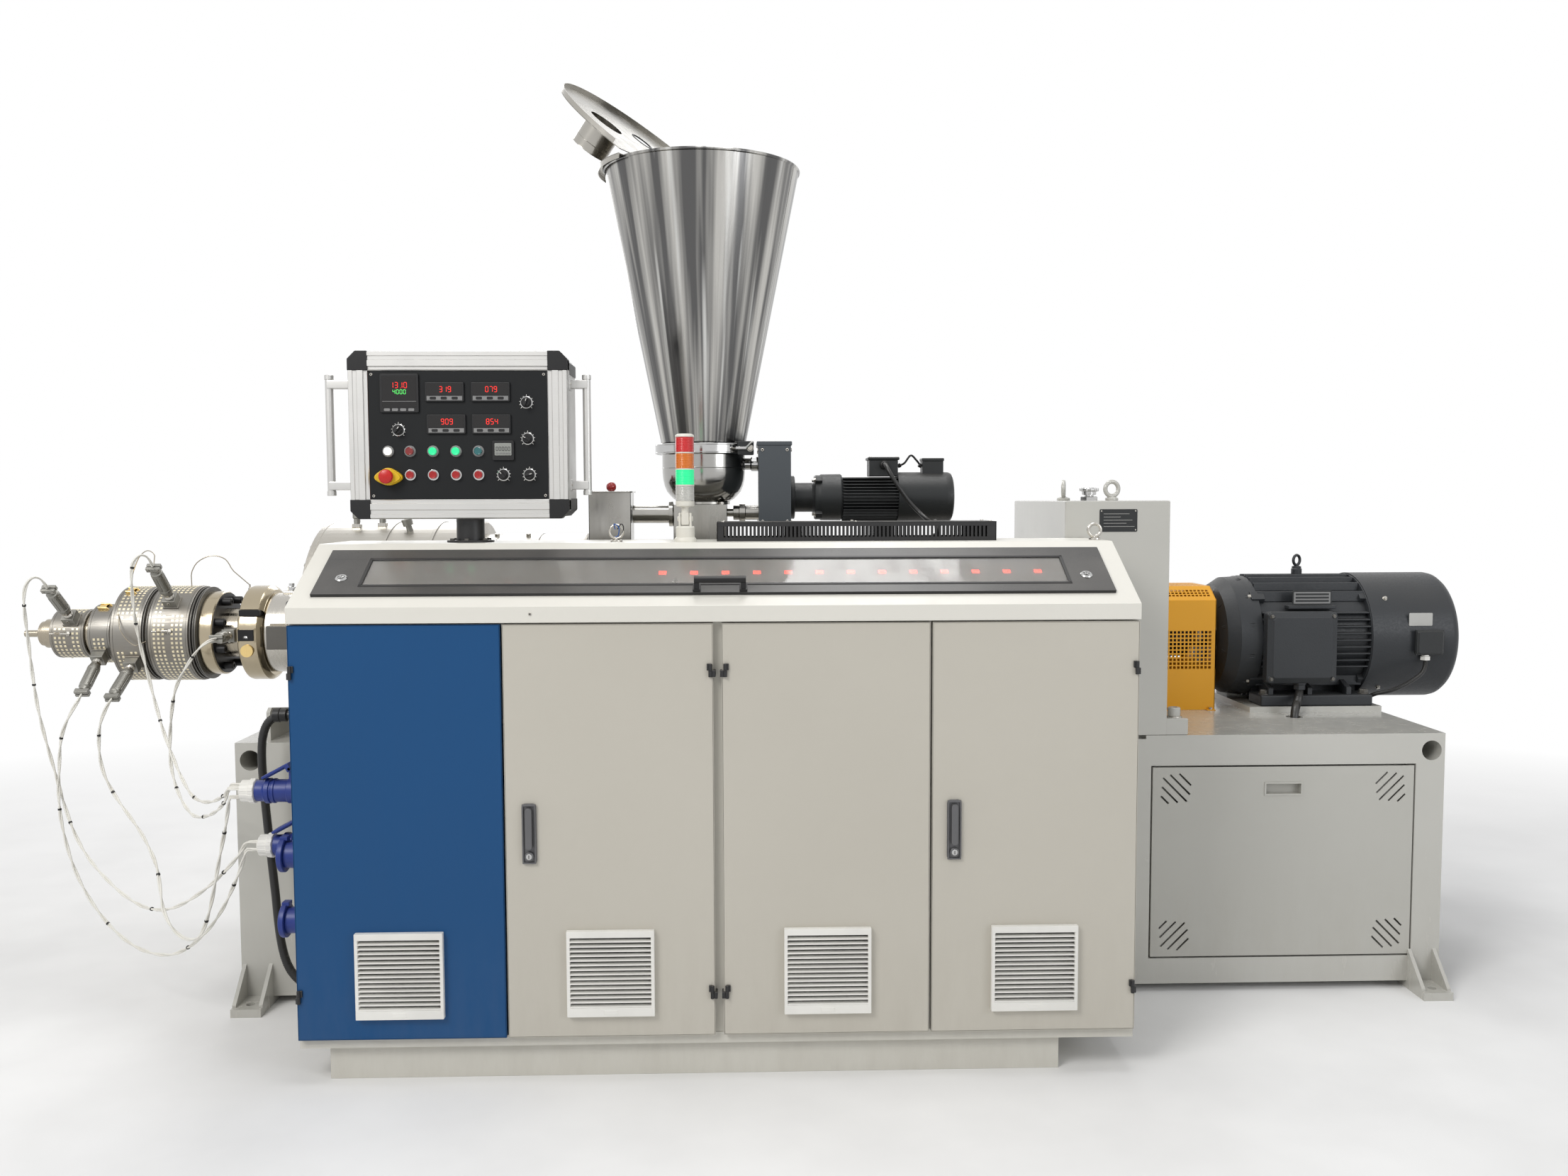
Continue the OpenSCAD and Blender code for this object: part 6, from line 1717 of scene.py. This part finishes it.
# The bars of a seven-segment figure, from corner to corner of the figure, and the ones that each number lights
BARS = {"a": ((0, 1), (1, 1)), "g": ((0, 0.5), (1, 0.5)), "d": ((0, 0), (1, 0)), "f": ((0, 0.5), (0, 1)),
        "b": ((1, 0.5), (1, 1)), "e": ((0, 0), (0, 0.5)), "c": ((1, 0), (1, 0.5))}
SEGMENTS = {"0": "abcdef", "1": "bc", "2": "abged", "3": "abgcd", "4": "fgbc", "5": "afgcd", "6": "afgedc",
            "7": "abc", "8": "abcdefg", "9": "abcdfg"}


def digits(shape, text, x, y, z, high, paint):
    """Seven-segment figures that face the front, from x to the right."""
    wide = high * 0.5
    line = high * 0.06
    gap = line * 1.6
    for figure in text:
        for bar in SEGMENTS[figure]:
            (u0, v0), (u1, v1) = BARS[bar]
            along, up = (gap, 0) if u0 != u1 else (0, gap)
            shape.block((x + u0 * wide - line + along, y, z + v0 * high - line + up),
                        (x + u1 * wide + line - along, y + 0.6, z + v1 * high + line - up), paint, edge=0)
        x += wide * 1.65


def rail_section(edge, inner):
    """A grooved rail of the operator box from its outer edge to its inner one: points of the place across and y."""
    way = 1 if inner > edge else -1
    wide = abs(inner - edge)
    steps = [(0, 0.35), (3, 0), (12, 0), (13.5, 0.12), (22, 0.12), (23.5, 0), (38, 0), (40, 0.22), (wide - 2.5, 0.22),
             (wide, 0.35)]
    return [(edge + way * across, 300 + deep * 18) for across, deep in steps] + [(inner, 334), (edge, 334)]


def make_operator_box():
    """The operator box: grooved aluminium rails, black corner caps, its shell and the dark panel in its frame."""
    shape = Shape()
    for edge, inner in ((1320, 1369), (1738, 1689)):
        shape.prism([(y, z) for z, y in rail_section(edge, inner)], "x", 82, 585, ALUMINIUM)
    for edge, inner in ((61, 109), (606, 555)):
        shape.prism(rail_section(edge, inner), "z", 1341, 1717, ALUMINIUM)
    # The caps over the rails' corners, then the shell's own corners behind them
    for inset, cut, wide, high, near, far, round_off in ((0, 20, 50, 49, 299, 336, 2),
                                                         (5, 17, 46, 46, 335, 499, 1.5)):
        for x, side in ((61 + inset, 1), (606 - inset, -1)):
            for z, up in ((1320 + inset, 1), (1738 - inset, -1)):
                outline = [(x + side * cut, z), (x + side * wide, z), (x + side * wide, z + up * high),
                           (x, z + up * high), (x, z + up * cut)]
                shape.prism(outline, "y", near, far, BLACK_PLASTIC, edge=round_off, steps=2)
    shape.prism(rounded(68, 1327, 599, 1731, 22), "y", 333, 498, ALUMINIUM, edge=2, steps=2)
    shape.prism(rounded(76, 1335, 591, 1723, 18), "y", 497, 500, ALUMINIUM, edge=1.2)
    for x in (92, 575):
        for z in (1351, 1707):
            socket_screw(shape, (x, 500, z), BACK, 5, 2, BRIGHT_STEEL)
    shape.block((109, 311, 1369), (555, 330, 1689), PANEL_BLACK, edge=0)
    for x in range(200, 480, 40):
        shape.block((x, 420, 1326), (x + 22, 470, 1328), BLACK_PLASTIC, edge=0.4)
    shape.build("operator_box_shell", "operator_box", ["control_box"])

    panel = Shape()
    panel.block((109.5, 308, 1369.5), (554.5, 312.5, 1688.5), PANEL_BLACK, edge=0.8, steps=2)
    for x in (118, 546):
        for z in (1378, 1680):
            socket_screw(panel, (x, 308.5, z), FRONT, 3.6, 2, BRIGHT_STEEL)
    panel.block((106.5, 307, 1369), (109.6, 310, 1689), RUST_LINE, edge=0)
    panel.build("operator_panel", "operator_box", ["control_panel"])

    bars = Shape()
    for x, face in ((-2, 68), (646, 599)):
        inward = 1 if face > x else -1
        bars.tube([(x, 360, 1383), (x, 360, 1531), (x, 360, 1679)], 10, ALUMINIUM, 28)
        for z in (1383, 1675):
            bars.rod((x, 360, z - 4), (x, 360, z + 8), 11.4, ALUMINIUM, 28, 1)
        for z in (1395, 1650):
            low, high = sorted((x - inward * 4, face - inward * 6))
            bars.block((low, 348, z - 2), (high, 372, z + 20), ALUMINIUM, edge=3, steps=2)
            low, high = sorted((face - inward * 8, face))
            bars.block((low, 343, z - 6), (high, 377, z + 24), ALUMINIUM, edge=2, steps=2)
            for up in (-1, 1):
                bars.rod((face - inward * 6, 360 + up * 11, z + 9), (face - inward * 10, 360 + up * 11, z + 9), 3,
                         BRIGHT_STEEL, 12, 0.6)
    bars.build("box_handles", "operator_box", ["control_handles"])


def push_button(shape, x, z, cap, bezel=CHROME):
    """A 22 mm button: knurled bezel ring, then the cap with a dished face."""
    spot = (x, PANEL_FRONT, z)
    shape.lathe([(0, 14.4), (-2.4, 14.4), (-4, 13.6), (-4.6, 11)], spot, "y", bezel, 40)
    shape.lathe([(-3, 9.8), (-10.6, 9.8), (-12, 8.4), (-11.4, 6), (-11, 0)], spot, "y", cap, 40)


def selector(shape, x, z, turn):
    """A rotary switch or pot: skirted knob with a grip bar, and its scale ticks."""
    spot = (x, PANEL_FRONT, z)
    shape.lathe([(0, 15.5), (-1.2, 15.5), (-2, 14.5), (-2, 13)], spot, "y", CHROME, 40)
    shape.lathe([(-1, 13.4), (-4, 13), (-5, 11.5), (-14, 11), (-16, 9.5), (-16, 0)], spot, "y", BLACK_PLASTIC, 36)
    grip = turned(spot, turn, "Y")
    shape.block((-3, -22, -10), (3, -15, 10), BLACK_PLASTIC, edge=1.2, steps=2, turn=grip)
    shape.block((-0.7, -22.6, 3), (0.7, -21.6, 9.4), WHITE_PLASTIC, edge=0, turn=grip)
    for k in range(11):
        tick = turned(spot, -135 + 27 * k, "Y")
        shape.block((-0.6, -0.5, 15.5), (0.6, 0.4, 20 if k % 5 == 0 else 18), WHITE_PLASTIC, edge=0, turn=tick)


def make_instruments():
    """Controller and meters with lit figures, lamps, buttons, pots, counter and the emergency stop."""
    shape = Shape()
    shape.prism(rounded(140, 1585, 236, 1681, 3), "y", 302, 308, BLACK_PLASTIC, edge=1.4, steps=2)
    shape.prism(rounded(146, 1598, 230, 1675, 2), "y", 301.4, 302.2, SCREEN_BLACK, edge=0.2)
    digits(shape, "1310", 167, 301, 1646, 13.5, GLOW_RED)
    digits(shape, "4000", 173, 301, 1631, 10.5, GLOW_GREEN)
    shape.block((191.5, 301, 1645), (193, 301.6, 1646.5), GLOW_RED, edge=0)
    shape.block((146, 301, 1612), (230, 302.4, 1613.2), KEY_GREY, edge=0)
    for x in (150, 170, 190, 210):
        shape.prism(rounded(x, 1588.5, x + 15, 1595.5, 2), "y", 300.8, 302.4, KEY_GREY, edge=0.4)
    for x, z, figures in ((252, 1612, "319"), (366, 1612, "079"), (255, 1532, "909"), (367, 1532, "854")):
        shape.prism(rounded(x, z, x + 96, z + 48, 2), "y", 302, 308, BLACK_PLASTIC, edge=1.4, steps=2)
        shape.prism(rounded(x + 4, z + 16, x + 92, z + 45, 2), "y", 301.4, 302.2, SCREEN_BLACK, edge=0.2)
        digits(shape, figures, x + 36, 301, z + 24, 13, GLOW_RED)
        shape.block((x + 4, 301, z + 3), (x + 92, 302.3, z + 14), KEY_GREY, edge=0.4)
        for k in range(3):
            shape.prism(rounded(x + 12 + 27 * k, z + 5, x + 27 + 27 * k, z + 12, 2), "y", 300.2, 301.2, BLACK_PLASTIC,
                        edge=0.3)
    shape.prism(rounded(416, 1466, 470, 1515, 3), "y", 302, 308, BLACK_PLASTIC, edge=1.2, steps=2)
    shape.prism(rounded(422, 1478, 464, 1509, 2), "y", 300.5, 302.2, SCREEN_GREY, edge=0.4)
    digits(shape, "00000", 426, 300.2, 1490, 9, BLACK_AND_PAINTED_SHADE)
    for k in range(5):
        shape.block((426 + 7.4 * k, 299.6, 1481), (431.4 + 7.4 * k, 301, 1485), KEY_GREY, edge=0.3)
    for x, cap in zip((157, 211, 268, 325, 381), (GLOW_WHITE, LENS_RED, LAMP_GREEN, LAMP_GREEN, LENS_TEAL)):
        push_button(shape, x, 1489, cap, KEY_GREY)
    for x in (211, 268, 325, 381):
        push_button(shape, x, 1430, BUTTON_RED)
    for x, z, turn in ((183, 1542, 40), (442, 1430, -40), (502, 1610, 20), (504, 1520, -60), (507, 1430, 75)):
        selector(shape, x, z, turn)
    lobes = [(158 + (22 + 13 * abs(cos(radians(a))) ** 3) * cos(radians(a)),
              1424 + (22 + 2 * sin(radians(a))) * sin(radians(a))) for a in range(0, 360, 10)]
    shape.prism(lobes, "y", 294, 308, GUARD_PLASTIC, edge=2, steps=2)
    shape.prism([(p[0] * 0.9 + 15.8, p[1] * 0.9 + 142.4) for p in lobes], "y", 288, 295, GUARD_PLASTIC, edge=2,
                steps=2)
    shape.lathe([(-18, 9), (-21, 9), (-22, 14), (-24, 17.4), (-28, 18), (-32, 15.5), (-34, 10), (-34.4, 0)],
                (156, 308, 1426), "y", STOP_RED, 48)
    shape.lathe([(-15, 19.5), (-21, 19.5), (-22, 18.4), (-22, 12)], (156, 308, 1426), "y", GUARD_PLASTIC, 40)
    shape.build("operator_instruments", "operator_box", ["panel_instruments"])

    post = Shape()
    post.lathe([(1260, 59), (1264, 59), (1265, 58)], POST, "z", HINGE_ZINC, 72)
    post.lathe([(1264, 37), (1265, 35.5), (1266, 35), (1319, 35)], POST, "z", HINGE_ZINC, 64)
    for spot in spokes(POST, 6, 30, "Z"):
        socket_screw(post, spot @ Vector((48, 0, 1265)), UP, 6, 5, DARK_STEEL)
    post.build("box_post", "machine", ["control_post"])


def make_signal_light():
    """The signal light: base, folding knuckle, and the white, green, amber and red lenses with their cap."""
    stem = Shape()
    centre = (895, 330, 0)
    stem.lathe([(1260, 28.5), (1265, 28.5), (1270, 26), (1271, 24), (1296, 24), (1299, 22), (1300, 12)], centre, "z",
               IVORY_PLASTIC, 56)
    stem.block((878.5, 320, 1298), (884, 340, 1333), IVORY_PLASTIC, edge=1.5, steps=2)
    stem.block((906, 320, 1298), (911.5, 340, 1333), IVORY_PLASTIC, edge=1.5, steps=2)
    stem.block((885, 321, 1302), (905, 339, 1334), IVORY_PLASTIC, edge=3, steps=2)
    stem.rod((875.5, 330, 1318), (914.5, 330, 1318), 7, IVORY_PLASTIC, 28, 1.5)
    stem.lathe([(1332, 9.5), (1347, 9.5), (1348, 14), (1350, 16)], centre, "z", IVORY_PLASTIC, 40)
    stem.build("signal_knuckle", "machine", ["signal_stem"])

    lenses = Shape()
    lenses.lathe([(1349, 18), (1350, 23), (1352, 24), (1362, 24), (1363, 22.6)], centre, "z", IVORY_PLASTIC, 64)
    for low, high, lens in ((1363, 1401, LENS_WHITE), (1404, 1442, LAMP_GREEN), (1445, 1483, LENS_AMBER),
                            (1486, 1524, SIGNAL_RED)):
        profile = [(low, 22.4)]
        count = 12
        for k in range(count):
            z = low + (high - low) * k / count
            profile += [(z + 0.4, 23.2), (z + (high - low) / count * 0.5, 23.9),
                        (z + (high - low) / count - 0.4, 23.2)]
        lenses.lathe(profile + [(high, 22.4)], centre, "z", lens, 72)
    for z in (1401, 1442, 1483):
        lenses.lathe([(z - 0.2, 22), (z, 23.8), (z + 3, 23.8), (z + 3.2, 22)], centre, "z", IVORY_PLASTIC, 64)
    lenses.lathe([(1524, 22.4), (1524.4, 24), (1527, 24), (1530, 22.6), (1532.4, 18), (1533, 0)], centre, "z",
                 IVORY_PLASTIC, 64)
    lenses.build("signal_lens_stack", "machine", ["signal_lenses"])


def make_vent_cover():
    """The folded black vent cover with a slot row front and back, and its fixing screws."""
    shape = Shape()
    for y in (330, 478):
        shape.block((975, y, 1260), (1690, y + 2, 1270.2), VENT_BLACK, edge=0)
        shape.block((975, y, 1297.8), (1690, y + 2, 1309), VENT_BLACK, edge=0)
        edges = [975] + [v for i in range(66) for v in (992 + i * 10.3, 996.5 + i * 10.3)] + [1690]
        for first, last in zip(edges[::2], edges[1::2]):
            shape.block((first, y, 1270), (last, y + 2, 1298), VENT_BLACK, edge=0)
    shape.block((975, 330, 1307), (1690, 480, 1309), VENT_BLACK, edge=0.8, steps=2)
    for x in (975, 1688):
        shape.block((x, 330, 1260), (x + 2, 480, 1309), VENT_BLACK, edge=0)
    for x in (990, 1330, 1676):
        for y in (345, 465):
            socket_screw(shape, (x, y, 1308.8), UP, 4.5, 2.4, BRIGHT_STEEL)
    shape.build("vent_cover_sheet", "machine", ["vent_cover"], sharp=20)


# Cabinet, sockets and base frame


def make_cabinet():
    """The cabinet shell with its ivory fascia and slope, plinth, fixed hinge halves and the roof's small eye bolt."""
    shape = Shape()
    wall = [(20, 84), (20, 1087.5), (-2.5, 1087.5), (-2.5, 1121.5), (250.8, 1258), (512, 1258), (512, 84)]
    for x in (-2, 1963.5):
        shape.prism(wall, "x", x, x + 2.5, CABINET_PAINT)
    shape.block((963.5, 19, 100), (998.5, 22, 1088), CABINET_PAINT, edge=0.4)
    shape.block((-2, 17, 84), (1966, 20, 110), CABINET_PAINT, edge=0)
    shape.block((-2, 20, 84), (1966, 513, 87), CABINET_PAINT, edge=0)
    shape.block((-2, 510, 84), (1966, 513, 1260), CABINET_PAINT, edge=0)
    shape.prism([(513, 1257), (513, 1260), (250, 1260), (-4, 1123), (-4, 1086), (20, 1086), (20, 1089), (-1.5, 1089),
                 (-1.5, 1121.5), (250.8, 1257)], "x", -2, 1966, FASCIA_PAINT, edge=0.8, steps=2)
    for x in (484.5, 1477):
        shape.block((x, 20, 110), (x + 6, 28, 1086), CABINET_PAINT, edge=0.6)
    shape.block((-2, 18, 1076), (1966, 24, 1090), CABINET_PAINT, edge=0.5)
    for x0, x1 in ((30, 940), (1020, 1936)):
        shape.block((x0, 440, 150), (x1, 446, 1040), BACK_PLATE, edge=0.6)
        for row in range(3):
            z = 330 + 250 * row
            shape.block((x0 + 30, 428, z), (x1 - 30, 441, z + 35), BRIGHT_STEEL, edge=0.8)
            for k in range(14):
                x = x0 + 60 + k * 58
                wide = 28 + 9 * ((k * 7 + row * 3) % 3)
                shape.block((x, 372, z - 28), (x + wide, 430, z + 62),
                            (PANEL_BLACK, KEY_GREY, IVORY_PLASTIC)[(k + row) % 3], edge=1.5)
            shape.block((x0 + 20, 400, z - 95), (x1 - 20, 440, z - 52), KEY_GREY, edge=1.2)
    socket_screw(shape, (556 - 2, -3.6, 1106), FRONT, 4, 2, BRIGHT_STEEL)
    shape.build("cabinet_shell", "machine", ["cabinet"], sharp=25)

    plinth = Shape()
    plinth.block((60, 40, 0), (1794, 480, 85), CABINET_PAINT, edge=1.2, steps=2)
    plinth.build("cabinet_plinth_box", "machine", ["cabinet_plinth"])

    halves = Shape()
    for index, side in ((0, -1), (1, 1), (2, -1), (3, 1)):
        pin = PIN_X[index]
        for z in HINGE_Z:
            low, high = sorted((pin, pin + side * 12))
            halves.rod((pin, PIN_Y, z), (pin, PIN_Y, z + HINGE_H / 2 - 0.3), 4.4, HINGE_ZINC, 20, 0.6)
            if index in (0, 3):
                edge = -2 if index == 0 else 1966
                low, high = sorted((edge, pin + side * 3))
            halves.block((low, PIN_Y - 1, z), (high, 22, z + HINGE_H / 2 - 0.3), HINGE_ZINC, edge=0.8)
    halves.build("hinge_halves", "machine", ["hinge_blocks"])

    eye = Shape()
    lifting_eye(eye, (718, 350, 1260), 17, 3.4, 0, BRIGHT_STEEL)
    for side, paint in ((-1, CABLE_BLUE), (1, BLACK_PLASTIC)):
        eye.tube(smooth_line([(718 + side * 3, 350, 1292), (722 + side * 9, 344, 1305), (731 + side * 6, 346, 1296),
                              (727 + side * 4, 349, 1276), (719 + side * 4, 350, 1272)], 5), 1.3, paint, 8)
    eye.build("roof_eye_bolt", "machine")


def make_sockets():
    """The blue power sockets: flange plates with screws, ribbed barrels, hinged covers, and the two plugs in them."""
    shape = Shape()
    for index, (y, z) in enumerate(((165, 665), (165, 531), (90, 527), (90, 369))):
        tip = (-62, -44, -46, -46)[index]
        shape.block((-10, y - 37, z - 37), (-2, y + 37, z + 37), SOCKET_BLUE, edge=3, steps=2)
        shape.lathe([(tip, 24), (tip, 30), (tip + 1.5, 31), (-20, 31.5), (-16, 34), (-9, 35)], (0, y, z), "x",
                    SOCKET_BLUE, 56)
        for dy in (-30, 30):
            for dz in (-30, 30):
                socket_screw(shape, (-9.6, y + dy, z + dz), LEFT, 3.6, 2, BRIGHT_STEEL)
        if index > 1:
            shape.lathe([(-60, 0), (-60, 36), (-58.5, 39.5), (-56, 41), (-47, 41), (-45.5, 39)], (0, y, z), "x",
                        SOCKET_BLUE, 64)
            shape.lathe([(-60.6, 26), (-60.6, 30), (-59.6, 31)], (0, y, z), "x", SOCKET_BLUE, 56)
            shape.block((-58, y - 12, z + 36), (-40, y + 12, z + 46), SOCKET_BLUE, edge=2, steps=2)
    for x, y, z in ((-54, 165, 665), (-33, 165, 531)):
        spot = turned((x, y, z + 66), -28, "Y")
        shape.block((-74, -24, 0), (0, 24, 6.8), SOCKET_BLUE, edge=2.4, steps=2, turn=spot)
        shape.block((-66, -20, -3), (-10, 20, 0.4), SOCKET_BLUE, edge=1, turn=spot)
        shape.block((-12, -24, -14), (0, 24, 2), SOCKET_BLUE, edge=2, steps=2, turn=spot)
        shape.rod(spot @ Vector((-4, -24, -8)), spot @ Vector((-4, 24, -8)), 4.6, BLACK_PLASTIC, 20, 0.8)
        shape.block((x - 5, y - 12, z + 27), (x + 12, y + 12, z + 56), SOCKET_BLUE, edge=2, steps=2)
    shape.build("power_socket_set", "machine", ["power_sockets"])

    plugs = Shape()
    for start, tip, y, z in ((-177, -62, 165, 665), (-137, -44, 165, 531)):
        plugs.lathe([(start, 9), (start + 0.6, 22), (start + 2.5, 25), (start + 22, 25.6), (start + 24, 29),
                     (start + 36, 29), (start + 38, 25)], (0, y, z), "x", WHITE_PLASTIC, 56)
        for rib in spokes((0, y, z), 10):
            plugs.block((start + 2, -4.5, 22), (start + 24, 4.5, 26.2), WHITE_PLASTIC, edge=1, turn=rib)
            plugs.block((start + 23, -4.5, 26), (start + 36, 4.5, 30), WHITE_PLASTIC, edge=1, turn=rib)
        plugs.lathe([(start - 3, 8), (start - 3, 15), (start, 17), (start + 2, 20)], (0, y, z), "x",
                    WHITE_PLASTIC, 40)
        plugs.lathe([(start + 37, 24), (start + 39, 25.6), (start + 56, 25.6), (start + 59, 27.4), (start + 62, 30.6),
                     (start + 72, 30.8), (start + 74, 28), (start + 77, 28), (start + 79, 30), (start + 84, 30),
                     (start + 86, 27.6), (tip, 27.8)], (0, y, z), "x", SOCKET_BLUE, 56)
    plugs.build("power_plug_pair", "machine", ["power_plugs"])


make_operator_box()
make_instruments()
make_signal_light()
make_vent_cover()
make_cabinet()
make_sockets()
